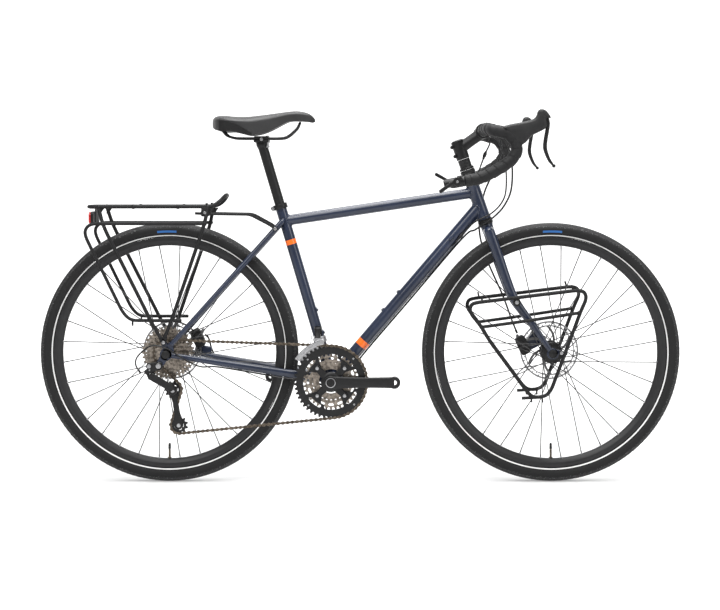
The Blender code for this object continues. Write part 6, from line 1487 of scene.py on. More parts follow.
def rear_derailleur_pieces():
    """The body on the hanger, and the link between its pin and the knuckle's."""
    body = Shape()
    end = np.array((-0.4905, -0.073, 0.0295))
    knob = (HANGER[0] - 0.025, HANGER[1] - 0.001)
    body.slab(capsule(HANGER, (end[0], end[2]), 0.011, 0.007, 16), -0.0741, -0.0812, 0.0016)
    body.slab(capsule(HANGER, knob, 0.0105, 0.0085, 16), -0.0745, -0.0806, 0.0016)
    body.bolt((knob[0], -0.0806, knob[1]), -Y_AXIS, 0.0056, 0.0024, skin=1)
    body.bolt((HANGER[0], -0.0812, HANGER[1]), -Y_AXIS, 0.007, 0.003, skin=1)
    hinge_pin(body, LINK_NEAR)
    for way in (1, -1):
        at = LINK_NEAR + PIN_WAY * way * 0.0098
        body.turned(EAR, at, PIN_WAY, 28)
        path = spline(np.array((at, (at + end) / 2 + np.array((0, -0.001, 0.001)), end)), 6)
        body.carried(path, oblong(1, 1, 0.6, 5), (0.003, 0.0042), ref=PIN_WAY)
    body.bolt((-0.483, -0.0812, 0.0345), -Y_AXIS, 0.0022, 0.0016, skin=1)
    body.piece("rear_derailleur_body", ["black_plastic", "silver_metal"], "black_metal")

    link = Shape()
    barrel = mirrored([(0.0034, -0.008), (0.006, -0.008), (0.0065, -0.0072)])
    for at in (LINK_NEAR, LINK_FAR):
        link.turned(barrel, at, PIN_WAY, 32, closed=True)
    t = np.linspace(0, 1, 19)
    path = np.linspace(LINK_NEAR, LINK_FAR, 19)
    thick = 0.0045 * (1 - 0.2 * np.sin(np.pi * t))
    link.carried(path[2:-2], oblong(1, 1, 0.5, 5), np.stack([thick, np.full(19, 0.0076)], axis=1)[2:-2],
                 ref=np.cross(LINK_WAY, PIN_WAY))
    near, far = LINK_NEAR + LINK_WAY * 0.004, LINK_FAR + LINK_WAY * 0.004
    link.slab(capsule((near[0], near[2]), (far[0], far[2]), 0.01, 0.0095, 16), -0.0815, -0.0838, 0.001)
    link.piece("rear_derailleur_link", ["black_plastic"], "black_metal")


def rear_cage_pieces():
    """The knuckle on the link's far pin, and the cage of two waisted plates that holds the pulleys."""
    knuckle = Shape()
    back = LINK_FAR + LINK_WAY * 0.0095
    for way in (1, -1):
        at = LINK_FAR + PIN_WAY * way * 0.0098
        knuckle.turned(EAR, at, PIN_WAY, 28)
        path = np.linspace(at, back + PIN_WAY * way * 0.009, 8)
        knuckle.carried(path, oblong(1, 1, 0.6, 5), (0.0055, 0.0014), ref=np.cross(PIN_WAY, Y_AXIS))
    hinge_pin(knuckle, LINK_FAR)
    t = np.linspace(0, 1, 14)
    path = np.stack([back[0] + 0.0006 * t, -0.079 + t * (0.079 - 0.0565), np.full(14, back[2])], axis=1)
    thick = np.stack([np.full(14, 0.0112), 0.0026 + 0.0014 * t], axis=1)
    knuckle.carried(path, oblong(1, 1, 0.5, 5), thick, ref=np.cross(LINK_WAY, Y_AXIS) * -1)
    drum = [(0.0085, -0.066), (0.0118, -0.0645), (0.0126, -0.062), (0.0126, -0.0545), (0.0118, -0.053)]
    cap = [(0.0055, -0.0668), (0.006, -0.066), (0.006, -0.065)]
    knuckle.turned(drum, (GUIDE[0], 0, GUIDE[1]), Y_AXIS, 44)
    knuckle.turned(cap, (GUIDE[0], 0, GUIDE[1]), Y_AXIS, 32, skin=1)
    knuckle.piece("rear_derailleur_knuckle", ["black_plastic", "silver_metal"], "black_metal")

    cage = Shape()
    step = 0.0058 + 0.0015 / 2
    middle = (np.asarray(GUIDE) + np.asarray(TENSION)) / 2
    ahead = unit(np.subtract(TENSION, GUIDE))
    across = np.array((-ahead[1], ahead[0]))
    outline = spaced(capsule(GUIDE, TENSION, 0.0095, 0.011, 18), 0.0012, closed=True)
    waist = 0.34 * bump((outline - middle) @ ahead, 0.0, 0.014, 0.022)
    outline = outline - np.outer((outline - middle) @ across, across) * waist[:, None]
    for plane in (CHAIN_PLANE - step, CHAIN_PLANE + step):
        cage.slab(outline, plane - 0.00075, plane + 0.00075, 0.0004)
    for x, z in (GUIDE, TENSION):
        cage.bar((x, CHAIN_PLANE - step, z), (x, CHAIN_PLANE + step + 0.0012, z), 0.0029, sides=20, skin=1)
        cage.bolt((x, CHAIN_PLANE + step + 0.0007, z), Y_AXIS, 0.0045, 0.0012, skin=1)
    cage.bolt((TENSION[0], CHAIN_PLANE - step - 0.0007, TENSION[1]), -Y_AXIS, 0.005, 0.0014, skin=1)
    cage.piece("rear_derailleur_cage", ["black_metal", "silver_metal"], "black_metal")


class BICYCLE_OT_rear_derailleur(bpy.types.Operator):
    """The rear derailleur's body, link, knuckle, cage and its two toothed pulleys"""
    bl_idname = "bicycle.rear_derailleur"
    bl_label = "Rear Derailleur"

    def execute(self, context):
        rear_derailleur_pieces()
        rear_cage_pieces()
        for name, centre in (("guide_pulley", GUIDE), ("tension_pulley", TENSION)):
            pulley_shape(centre).piece(name, ["pulley_black"], "black_plastic")
        return {"FINISHED"}


FRONT_PIVOT = np.array((-0.036, -0.034, 0.14))
FRONT_FAR = FRONT_PIVOT + 0.025 * np.array((0, -math.sin(math.radians(17)), -math.cos(math.radians(17))))


def front_ears(s, pivot, root, skin=0):
    """Two ears about a pivot along X, on cheeks that reach to the plane y = root."""
    ear = mirrored([(0.0042, -0.0012), (0.0054, -0.0007)])
    for way in (1, -1):
        x = pivot[0] + way * 0.00875
        s.turned(ear, (x, pivot[1], pivot[2]), X_AXIS, 28, skin=skin)
        path = np.array([(x, y, pivot[2]) for y in (pivot[1], (pivot[1] + root) / 2, root)])
        s.carried(spline(path, 5), oblong(1, 1, 0.6, 5), (0.001, 0.0044), ref=Z_AXIS, skin=skin)
    s.bar(pivot - X_AXIS * 0.01, pivot + X_AXIS * 0.01, 0.0022, sides=18, dome=0.0005, skin=skin)


def front_derailleur_pieces():
    """The clamp on the seat tube, the link below it, and the curved cage over the rings."""
    clamp = Shape()
    bore = SEAT_RADIUS + GAP
    band = [(bore, 0.1045), (0.018, 0.1045), (0.0185, 0.1052), (0.0185, 0.1198), (0.018, 0.1205),
            (bore, 0.1205)]
    clamp.turned(band, (0, 0, 0), SEAT_DIRECTION, 56, closed=True)
    front_ears(clamp, FRONT_PIVOT, -0.019, skin=1)
    y = np.linspace(-0.0204, -0.013, 6)
    post = np.stack([np.full(6, FRONT_PIVOT[0]), y, np.full(6, 0.128)], axis=1)
    clamp.carried(post, oblong(1, 1, 0.3, 5), (0.0178, 0.0098), ref=X_AXIS, skin=1)
    clamp.bolt((FRONT_PIVOT[0] + 0.004, -0.0204, 0.122), -Y_AXIS, 0.0035, 0.002, skin=0)
    clamp.piece("front_derailleur_clamp", ["silver_metal", "black_metal"], "silver_metal")

    link = Shape()
    t = np.linspace(0, 1, 13)
    path = FRONT_PIVOT + (FRONT_FAR - FRONT_PIVOT) * t[:, None]
    thick = 0.004 * (1 - 0.22 * np.sin(np.pi * t))
    link.carried(path, oblong(1, 1, 0.5, 5), np.stack([np.full(13, 0.0067), thick], axis=1), ref=Y_AXIS)
    barrel = mirrored([(0.0026, -0.007), (0.0038, -0.007), (0.0042, -0.0064)])
    for at in (FRONT_PIVOT, FRONT_FAR):
        link.turned(barrel, at, X_AXIS, 28, closed=True)
    link.piece("front_derailleur_link", ["black_metal"], "silver_metal")

    cage = Shape()
    plane = RING_PLANES[0]
    angle = np.radians(np.linspace(100, 147, 34))
    for way, depth in ((-1, 0.0), (1, 0.013)):
        low = 0.1028 - depth + 0.0012 * np.sin((np.degrees(angle) - 100) / 47 * np.pi)
        rib = np.linspace(0, 1, 9)[:, None]
        radius = low + (0.115 - low) * rib
        swell = way * (0.0005 * np.sin(rib * np.pi * 3) ** 2) * np.ones_like(angle)
        for_y = plane + way * (0.0056 + 0.0006) + swell
        front = np.stack([radius * np.cos(angle), for_y + 0.00055, radius * np.sin(angle)], axis=-1)
        rear = np.stack([radius * np.cos(angle), for_y - 0.00055, radius * np.sin(angle)], axis=-1)
        both = np.concatenate([front, rear[::-1]])
        cage.grid(both.transpose(1, 0, 2))
    bridge = np.radians(np.linspace(100, 112, 10))
    path = np.stack([0.1144 * np.cos(bridge), np.full(10, plane), 0.1144 * np.sin(bridge)], axis=1)
    cage.carried(path, oblong(1, 1, 0.4, 5), (0.0062, 0.0008), ref=-unit(path))
    tail = math.radians(143)
    reach = 0.1088
    cage.bar(polar(reach, tail, plane - 0.0066), polar(reach, tail, plane + 0.0066), 0.0018, sides=18)
    front_ears(cage, FRONT_FAR, -0.048)
    path = [(FRONT_FAR[0], y, FRONT_FAR[2] - 0.0055) for y in (-0.0478, -0.049)]
    cage.carried(path, oblong(1, 1, 0.4, 5), (0.006, 0.0096), ref=X_AXIS)
    cage.piece("front_derailleur_cage", ["silver_metal"], "silver_metal")


class BICYCLE_OT_front_derailleur(bpy.types.Operator):
    """The front derailleur: its clamp, link and curved cage"""
    bl_idname = "bicycle.front_derailleur"
    bl_label = "Front Derailleur"

    def execute(self, context):
        front_derailleur_pieces()
        return {"FINISHED"}


# Disc brakes

REAR_CALIPER = (-0.37, 0.108)
FRONT_CALIPER = (0.523, 0.09)
CALIPER_TURN = math.radians(-25)
ARM_LENGTH = 0.022
REAR_ARM = ((-0.369, 0.11), math.radians(58))
FRONT_ARM = ((0.515, 0.092), math.radians(105))


def caliper_shape(centre, plane):
    """A cast body in two halves either side of the disc, with a fluted back and mounting bolts."""
    s = Shape()
    c, si = math.cos(CALIPER_TURN), math.sin(CALIPER_TURN)
    turn = np.array(((c, si), (-si, c)))
    body = np.array([(-0.015, -0.02), (-0.011, -0.0268), (0.009, -0.0268), (0.0148, -0.02), (0.0148, 0.016),
                     (0.01, 0.0262), (-0.0095, 0.0262), (-0.015, 0.018)])
    outline = eased(body, 0.005, 5, closed=True) @ turn.T + np.asarray(centre)
    for way, deep in ((1, 0.011), (-1, 0.0105)):
        s.slab(outline, plane + way * 0.0017, plane + way * deep, 0.0014)
    for z in (-0.0225, 0.0215):
        at = np.array((0.0, z)) @ turn.T + np.asarray(centre)
        s.bolt((at[0], plane + 0.0109, at[1]), Y_AXIS, 0.004, 0.0028, skin=1)
    at = np.array((0.0, 0.002)) @ turn.T + np.asarray(centre)
    dial = [(0.0112, 0.0), (0.011, 0.0022), (0.0098, 0.003), (0.0082, 0.0032), (0.008, 0.0024),
            (0.004, 0.0024)]
    s.turned(dial, (at[0], plane + 0.0108, at[1]), Y_AXIS, 44)
    s.turned([(0.0098, 0.0), (0.0096, 0.0018), (0.007, 0.0024), (0.0052, 0.0012)],
             (at[0], plane - 0.0104, at[1]), -Y_AXIS, 40)
    return s


def arm_tip(pivot, angle):
    """The place in the XZ plane where the cable holds a caliper's arm."""
    return pivot[0] + ARM_LENGTH * math.cos(angle), pivot[1] + ARM_LENGTH * math.sin(angle)


def brake_arm_shape(pivot, angle, plane):
    """The arm that the cable pulls: a tapered plate on a boss, with its anchor bolt."""
    s = Shape()
    face = plane + 0.011
    near = face + 0.0056
    tip = arm_tip(pivot, angle)
    s.slab(capsule(pivot, tip, 0.0068, 0.0041, 14), near, near + 0.0034, 0.0008)
    s.turned([(0.0058, 0.0036), (0.006, 0.0044), (0.006, 0.006)], (pivot[0], face, pivot[1]), Y_AXIS, 36)
    s.bar((pivot[0], face - 0.003, pivot[1]), (pivot[0], face + 0.004, pivot[1]), 0.0029, sides=20)
    s.bolt((tip[0], near + 0.0034, tip[1]), Y_AXIS, 0.003, 0.0028)
    s.bolt((pivot[0], near + 0.0034, pivot[1]), Y_AXIS, 0.0034, 0.0014)
    return s


class BICYCLE_OT_brakes(bpy.types.Operator):
    """Two disc brake calipers and the arms that their cables pull"""
    bl_idname = "bicycle.brakes"
    bl_label = "Disc Brakes"

    def execute(self, context):
        for name, centre, plane, arm in (("rear", REAR_CALIPER, REAR_ROTOR_PLANE, REAR_ARM),
                                         ("front", FRONT_CALIPER, FRONT_ROTOR_PLANE, FRONT_ARM)):
            caliper = caliper_shape(centre, plane)
            caliper.piece(name + "_caliper", ["black_plastic", "silver_metal"], "black_metal")
            brake_arm_shape(*arm, plane).piece(name + "_brake_arm", ["silver_metal"], "silver_metal")
        return {"FINISHED"}


# Cockpit

BAR_CENTRE = np.array((0.411, 0.0, 0.675))
BAR_HALF = 0.22
BAR_SIDE = ((0.411, 0.03, 0.675), (0.411, 0.056, 0.675), (0.411, 0.113, 0.675), (0.411, 0.17, 0.675),
            (0.424, 0.212, 0.67), (0.44, 0.22, 0.666), (0.463, 0.22, 0.659), (0.4806, 0.22, 0.639),
            (0.4845, 0.22, 0.617), (0.4717, 0.22, 0.594), (0.441, 0.22, 0.571), (0.3918, 0.22, 0.5464),
            (0.352, 0.22, 0.5385))
TAPE_RADIUS = 0.0165
TUBE_RADIUS = 0.0119
CLAMP_RADIUS = 0.0159
TAPE_FROM_Y = 0.056
STEM_FOOT = SPACER_FOOT + 0.0304 + GAP
STEM_HEIGHT = 0.052
HOOD_OUTLINE = ((0.447, 0.6769), (0.4648, 0.6838), (0.526, 0.6976), (0.5399, 0.7193), (0.5498, 0.7237),
                (0.5616, 0.7183), (0.5725, 0.7015), (0.5616, 0.6996), (0.5606, 0.6759), (0.526, 0.6561),
                (0.4954, 0.6324), (0.4569, 0.668))
HOOD_SPINE = ((0.464, 0.672), (0.49, 0.665), (0.53, 0.678), (0.548, 0.696), (0.554, 0.712))
HOOD_HALF = 0.0155
LEVER_PIVOT = (0.562, 0.706)
LEVER_LINE = ((0.562, 0.706), (0.5652, 0.684), (0.559, 0.644), (0.5577, 0.6245), (0.5616, 0.6087),
              (0.5695, 0.5909), (0.5814, 0.5761))
SHIFTER_PIVOT = (0.331, 0.5365)
SHIFTER_FACE = 0.2345
SHIFTER_BLADES = {-1: ((0.342, 0.548), (0.324, 0.537), (0.3, 0.52), (0.2855, 0.5095)),
                  1: ((0.338, 0.533), (0.324, 0.541), (0.306, 0.551), (0.288, 0.561))}


def stem_shape():
    """The clamp round the steerer, the arm to the bar and the faceplate with its bolts."""
    s = Shape()
    foot, top = STEM_FOOT, STEM_FOOT + STEM_HEIGHT
    collar = [(0.0164, 0.0), (0.0178, 0.0008), (0.018, 0.003)]
    collar += [(r, STEM_HEIGHT - h) for r, h in reversed(collar)]
    s.turned(collar, along_head(foot), HEAD_DIRECTION, 64)
    root = along_head(foot + 0.03)
    t = np.linspace(0, 1, 17)
    path = root + (BAR_CENTRE - (0, 0, 0.003) - root) * t[:, None]
    flare = 0.016 - 0.0014 * np.sin(np.pi * t) ** 0.8
    s.carried(path, ring(40), np.stack([flare, flare * 1.04], axis=1), ref=Z_AXIS)
    s.bar(BAR_CENTRE - Y_AXIS * 0.021, BAR_CENTRE + Y_AXIS * 0.021, 0.0205, sides=64, dome=0.0014)
    tilt = math.radians(-20)
    out = np.array((math.cos(tilt), 0, -math.sin(tilt)))
    up = np.array((math.sin(tilt), 0, math.cos(tilt)))
    face = BAR_CENTRE + np.array((0.018, 0, 0.001))
    s.block(face, (0.01, 0.036, 0.036), tilt, 0.0016)
    ahead = np.array((HEAD_DIRECTION[2], 0, -HEAD_DIRECTION[0]))
    for z in (0.0125, -0.0125):
        for y in (0.0115, -0.0115):
            at = face + out * 0.005 + up * z + Y_AXIS * y
            s.bolt(at, out, 0.0034, 0.0022, skin=1)
    for height in (0.014, 0.04):
        at = along_head(foot + height) - ahead * 0.0188
        s.bar(at - Y_AXIS * 0.0115, at + Y_AXIS * 0.0115, 0.005, sides=28, dome=0.0012)
        s.bolt(at - Y_AXIS * 0.0113, -Y_AXIS, 0.0036, 0.0016)
        s.bolt(at + Y_AXIS * 0.0113, Y_AXIS, 0.0036, 0.0016)
        s.block(at + ahead * 0.003, (0.007, 0.018, 0.0084), -0.337, 0.001)
    s.turned([(0.0176, -0.0012), (0.0176, -0.0004), (0.015, 0.0014), (0.011, 0.0024)], along_head(top),
             HEAD_DIRECTION, 56)
    s.bolt(along_head(top + 0.001), HEAD_DIRECTION, 0.0052, 0.0022, skin=1)
    return s


def bar_path(side):
    """The smooth centreline of one side of the handlebar, outwards from the clamp."""
    return spaced(spline(np.array(BAR_SIDE) * (1, side, 1), 10), 0.0022)


def handlebar_shape():
    left = bar_path(1)
    path = np.concatenate([(left * (1, -1, 1))[::-1], left])
    radii = TUBE_RADIUS + (CLAMP_RADIUS - TUBE_RADIUS) * (1 - bump(np.abs(path[:, 1]), 0.3, 0.251, 0.012))
    radii = np.where(np.abs(path[:, 1]) < 0.036, CLAMP_RADIUS, radii)
    return Shape().pipe(path, radii, sides=36)


def tape_shape(side, sizes):
    """Tape wound round the bar.

    At a distance l along the bar and an angle a round it, the wrap's phase is l divided by
    the tape's pitch less a divided by a full turn; the radius rises over each wrap from the
    covered edge to the free one and drops back where the next wrap begins.
    """
    path = bar_path(side)
    path = spaced(path[np.abs(path[:, 1]) >= TAPE_FROM_Y - 0.001], 0.0011)
    ahead = unit(np.gradient(path, axis=0))
    along = np.concatenate([[0], np.cumsum(np.linalg.norm(np.diff(path, axis=0), axis=1))])
    blend = np.clip(np.abs(ahead[:, 2]) * 2.2 - 0.9, 0, 1)[:, None]
    across = unit(np.cross(ahead, Y_AXIS) * blend + np.cross(ahead, Z_AXIS) * (1 - blend))
    across = unit(across - np.sum(across * ahead, axis=1)[:, None] * ahead)
    up = np.cross(across, ahead)
    angle = turns(44)
    phase = (along[:, None] / sizes.tape_pitch - side * angle[None, :] / (2 * np.pi)) % 1.0
    ramp = np.where(phase < 0.93, phase / 0.93, (1 - phase) / 0.07)
    cushion = 0.00035 * np.sin(np.pi * phase)
    radius = TAPE_RADIUS - 0.0017 + 0.0015 * ramp + cushion
    ends = np.clip(np.minimum(along, along[-1] - along) / 0.0025, 0, 1)[:, None]
    radius = TUBE_RADIUS + GAP + (radius - TUBE_RADIUS - GAP) * np.sqrt(np.clip(ends, 0.02, 1))
    points = (path[:, None, :] + (radius * np.cos(angle))[..., None] * across[:, None, :]
              + (radius * np.sin(angle))[..., None] * up[:, None, :])
    s = Shape().grid(points)
    band = np.linspace(path[0] + ahead[0] * 0.0004, path[0] + ahead[0] * 0.015, 6)
    s.pipe(band, TAPE_RADIUS + 0.0001, sides=40, skin=1)
    return s


def hood_shape(side):
    """The lever's rubber body: its outline seen from the side, swelled between rounded edges.

    Each row is the outline drawn towards its spine by a superellipse of the distance from the
    centre plane.
    """
    outline = spaced(spline(np.array(HOOD_OUTLINE), 8, closed=True), 0.0013, closed=True)
    spine = spline(np.array(HOOD_SPINE), 12)
    nearest = spine[np.argmin(np.linalg.norm(outline[:, None] - spine[None], axis=2), axis=1)]
    reach = nearest - outline
    length = np.linalg.norm(reach, axis=1, keepdims=True)
    rows = []
    for share in np.linspace(-1, 1, 17):
        inset = 0.0074 * (1 - math.sqrt(max(0.0, 1 - abs(share) ** 2.6)))
        loop = outline + reach * np.minimum(inset / length, 0.85)
        rows.append(at_y(loop, side * BAR_HALF + share * HOOD_HALF))
    return Shape().grid(np.stack(rows))


def lever_shape(side):
    """The brake lever's blade: a flattened section carried down its curved line, on its pivot's barrel."""
    plane = side * BAR_HALF
    path = spline(at_y(LEVER_LINE, plane), 9)
    t = np.linspace(0, 1, len(path))
    half = np.interp(t, (0, 0.15, 0.5, 0.85, 1), (0.0045, 0.0058, 0.006, 0.0046, 0.0026))
    wide = 0.0055 * np.interp(t, (0, 0.2, 0.6, 1), (0.95, 1.05, 1.0, 0.7))
    s = Shape().carried(path, oblong(1, 1, 0.55, 6), np.stack([wide, half * 0.86], axis=1), ref=X_AXIS)
    pin = np.array((LEVER_PIVOT[0], plane, LEVER_PIVOT[1]))
    s.turned(mirrored([(0.0042, -0.006), (0.005, -0.0052)]), pin, Y_AXIS, 32)
    s.bar(pin - Y_AXIS * 0.0115, pin + Y_AXIS * 0.0115, 0.0024, sides=18, dome=0.0006, skin=1)
    tip = path[-1] + np.array((-0.001, 0, 0.0012))
    s.turned(mirrored([(0.0028, -0.0046), (0.0042, -0.003), (0.0046, 0.0)]), tip, Y_AXIS, 28)
    return s


def pod_shape(side):
    """The shifter's body: a tapered plug in the bar's end, with a raised boss on its outer side."""
    s = Shape()
    ahead, end = (np.array(BAR_SIDE[k]) * (1, 0, 1) for k in (-2, -1))
    back = unit(end - ahead)
    start = end + Y_AXIS * side * BAR_HALF + back * 0.0005
    r = 0.0135
    s.turned([(r * 0.9, 0.0), (r, 0.0014), (r, 0.005), (r * 0.96, 0.0056), (r * 0.96, 0.0066), (r, 0.0072),
              (r * 0.96, 0.03), (r * 0.88, 0.038), (r * 0.7, 0.0398)], start, back, 44)
    boss = (SHIFTER_PIVOT[0], side * BAR_HALF, SHIFTER_PIVOT[1])
    s.turned([(0.01, 0.0), (0.01, 0.012), (0.0094, 0.0142), (0.005, 0.0144)], boss, Y_AXIS * side, 40)
    return s


def shift_lever_shape(side):
    """The shift lever: a knurled disc and a flattened, flared blade swept back from it."""
    s = Shape()
    out = Y_AXIS * side
    inner = SHIFTER_FACE + 0.0005
    centre = np.array((SHIFTER_PIVOT[0], side * inner, SHIFTER_PIVOT[1]))
    disc = [(0.01, 0.0), (0.011, 0.0006), (0.011, 0.0046), (0.0104, 0.0056), (0.007, 0.006)]
    s.turned(disc, centre, out, 48)
    s.bolt(centre + out * 0.0058, out, 0.0032, 0.0008, skin=1)
    path = spline(at_y(SHIFTER_BLADES[side], side * (inner + 0.003)), 12)
    t = np.linspace(0, 1, len(path))
    wide = np.interp(t, (0, 0.3, 0.8, 0.95, 1), (0.0048, 0.004, 0.005, 0.0048, 0.0036))
    s.carried(path, oblong(1, 1, 0.7, 6), np.stack([np.full(len(t), 0.0027), wide], axis=1),
              ref=np.cross(unit(path[-1] - path[0]), Y_AXIS))
    return s


class BICYCLE_OT_cockpit(bpy.types.Operator):
    """Stem, handlebar, wound tape, brake hoods and levers, and the shifters in the bar's ends"""
    bl_idname = "bicycle.cockpit"
    bl_label = "Cockpit"

    def execute(self, context):
        sizes = context.scene.bicycle_sizes
        stem_shape().piece("stem", ["black_metal", "silver_metal"], "black_metal")
        handlebar_shape().piece("handlebar", ["black_metal"], "black_metal")
        for word, side in (("left", 1), ("right", -1)):
            tape_shape(side, sizes).piece("bar_tape_" + word, ["tape", "black_plastic"], "tape")
            hood_shape(side).piece("brake_hood_" + word, ["hood_rubber"], "black_rubber", sharp=50)
            lever_shape(side).piece("brake_lever_" + word, ["crank_black", "silver_metal"], "black_metal")
            pod_shape(side).piece("shifter_pod_" + word, ["black_plastic"], "black_plastic")
            shift_lever = shift_lever_shape(side)
            shift_lever.piece("shift_lever_" + word, ["black_metal", "silver_metal"], "black_metal")
        return {"FINISHED"}


# Seat

RAIL_LINE = ((-0.295, 0.026, 0.676), (-0.282, 0.024, 0.662), (-0.264, 0.022, 0.656), (-0.245, 0.022, 0.6545),
             (-0.1925, 0.022, 0.6545), (-0.14, 0.022, 0.6545), (-0.118, 0.018, 0.66), (-0.095, 0.011, 0.68),
             (-0.088, 0.007, 0.693), (-0.086, 0.0, 0.697))
RAIL_RADIUS = 0.0035
SADDLE_STATIONS = ((-0.324, 0.05, 0.714, 0.6785, 0.688), (-0.3135, 0.07, 0.7175, 0.674, 0.685),
                   (-0.2882, 0.076, 0.7168, 0.6722, 0.683), (-0.2672, 0.076, 0.7145, 0.673, 0.681),
                   (-0.2461, 0.071, 0.7137, 0.6685, 0.68), (-0.2209, 0.06, 0.7145, 0.663, 0.68),
                   (-0.1914, 0.048, 0.7177, 0.6665, 0.681), (-0.1661, 0.038, 0.721, 0.675, 0.684),
                   (-0.1409, 0.031, 0.7245, 0.6875, 0.692), (-0.1156, 0.0265, 0.7278, 0.6995, 0.702),
                   (-0.0903, 0.0235, 0.729, 0.7012, 0.704), (-0.0651, 0.0205, 0.7245, 0.6991, 0.703),
                   (-0.052, 0.0165, 0.7175, 0.6955, 0.702), (-0.0445, 0.01, 0.709, 0.6975, 0.7))


def seatpost_shape():
    """The post, its clamp head in two shells with grooves for the rails, and the tilt bolt."""
    s = Shape()
    foot = along_seat(SEAT_TUBE_LENGTH - 0.12)
    top = along_seat(0.652 / SEAT_DIRECTION[2])
    s.bar(foot, top, 0.0136, sides=48)
    s.turned([(0.0136, 0.0), (0.015, 0.004), (0.016, 0.01), (0.015, 0.017), (0.011, 0.022)],
             along_seat(0.63 / SEAT_DIRECTION[2]), SEAT_DIRECTION, 40)
    centre = np.array((-0.19, 0.0, 0.652))
    for low, high, wide in ((-0.0084, -0.0006, 0.02), (0.0006, 0.0084, 0.019)):
        outline = oblong(wide, (high - low) / 2, 0.0022, 5) + (centre[0], centre[2] + (low + high) / 2)
        s.slab(outline, -0.0278, 0.0278, 0.001)
    for side in (1, -1):
        at = np.array((-0.174, side * 0.009, 0.66))
        s.bolt(at, Z_AXIS, 0.0044, 0.0026, skin=1)
        s.bar(at - Z_AXIS * 0.03, at, 0.0026, sides=16, skin=1)
        s.bar(at - Z_AXIS * 0.03, at - Z_AXIS * 0.024, 0.0044, sides=24, dome=0.0008, skin=1)
    for side in (-1, 1):
        s.bolt((-0.189, side * 0.0278, 0.652), Y_AXIS * side, 0.0044, 0.0022, skin=1)
    return s


def rails_shape():
    """One wire bent round under the nose, both ends running back into the shell."""
    left = spline(np.array(RAIL_LINE), 8)
    path = np.concatenate([left, (left * (1, -1, 1))[::-1][1:]])
    return Shape().pipe(path, RAIL_RADIUS, sides=20)


def saddle_top(x):
    """The height of the saddle's centreline, its half width and its lower edges along its length."""
    marks = np.array(SADDLE_STATIONS)
    dense = spline(marks, 12)
    return [np.interp(x, dense[:, 0], dense[:, k]) for k in range(1, 5)]


def saddle_shape():
    """The cushion: at each place along it a closed section of superellipse quarters.

    The top is the centre height less the crown times the square of the share across; the skirt
    runs from the widest line down to the edge, which hangs lowest beside the clamp, and the
    underside rises to the shell's height in the middle.
    """
    count = 75
    x = -0.3225 + (0.3225 - 0.045) * 0.5 * (1 - np.cos(np.linspace(0, np.pi, count)))
    half, top, edge, under = saddle_top(x)
    ends = np.sqrt(np.clip(1 - ((x + 0.1838) / 0.1402) ** 10, 0.0, 1))
    half = half * (0.25 + 0.75 * ends)
    t = np.linspace(0, 1, 15)
    down = np.linspace(0, 1, 9)[1:]
    rows = []
    for k in range(count):
        y_top = half[k] * np.sin(t * np.pi / 2) ** 0.92
        z_top = top[k] - (top[k] - edge[k]) * 0.36 * (1 - np.cos(t * np.pi / 2) ** 1.15)
        y_skirt = half[k] * (1 - 0.1 * down ** 1.5)
        z_skirt = z_top[-1] + (edge[k] - z_top[-1]) * down
        y_under = y_skirt[-1] * (1 - down)
        z_under = edge[k] + (under[k] - edge[k]) * np.sin(down * np.pi / 2)
        y = np.concatenate([y_top, y_skirt, y_under])
        z = np.concatenate([z_top, z_skirt, z_under])
        rows.append(np.stack([np.concatenate([y, -y[-2:0:-1]]), np.concatenate([z, z[-2:0:-1]])], axis=1))
    loops = np.stack(rows)
    middle = np.stack([np.zeros(count), (top + edge) / 2], axis=1)[:, None, :]
    loops = middle + (loops - middle) * (0.35 + 0.65 * ends)[:, None, None]
    points = np.concatenate([np.broadcast_to(x[:, None, None], loops.shape[:2] + (1,)), loops], axis=2)
    return Shape().grid(points)


class BICYCLE_OT_seat(bpy.types.Operator):
    """Seatpost with its clamp, the saddle's rails and the padded saddle"""
    bl_idname = "bicycle.seat"
    bl_label = "Seat"

    def execute(self, context):
        seatpost_shape().piece("seatpost", ["black_metal", "silver_metal"], "black_metal")
        rails_shape().piece("saddle_rails", ["black_metal"], "black_metal")
        saddle = saddle_shape().piece("saddle_cover", ["saddle_cover"], "saddle_cover", nodes=["saddle"], sharp=60)
        return {"FINISHED"}


# Racks

RACK_TUBE = 0.005
REFLECTOR_Z = 0.44
LOWRIDER_Y = 0.078
LOWRIDER_LOOP = ((0.386, 0.214), (0.66, 0.2475), (0.678, 0.243), (0.683, 0.225), (0.669, 0.195),
                 (0.613, 0.045), (0.588, -0.02), (0.574, -0.035), (0.546, -0.039), (0.53, -0.031),
                 (0.425, 0.111), (0.403, 0.149), (0.371, 0.189), (0.374, 0.208))
LOWRIDER_RAIL = ((0.403, 0.149), (0.519, 0.165), (0.664, 0.187))
DECK_LINE = ((-0.285, 0.0, 0.502), (-0.287, 0.036, 0.499), (-0.3, 0.054, 0.483), (-0.319, 0.06, 0.4705),
             (-0.638, 0.06, 0.47), (-0.653, 0.046, 0.47))
FRONT_LEG = ((-0.33, 0.06, 0.469), (-0.337, 0.071, 0.425), (-0.423, 0.073, 0.173), (-0.442, 0.076, 0.124))
REAR_LEG = ((-0.623, 0.06, 0.469), (-0.609, 0.071, 0.42), (-0.47, 0.074, 0.145), (-0.454, 0.076, 0.12))
SIDE_LOOP = ((-0.337, 0.425), (-0.64, 0.425), (-0.656, 0.412), (-0.657, 0.393), (-0.556, 0.187),
             (-0.534, 0.166), (-0.399, 0.166))
RACK_STAY = ((-0.364, 0.06, 0.4525), (-0.337, 0.06, 0.451), (-0.218, 0.047, 0.449), (-0.164, 0.039, 0.42),
              (-0.1507, 0.0376, 0.4102))


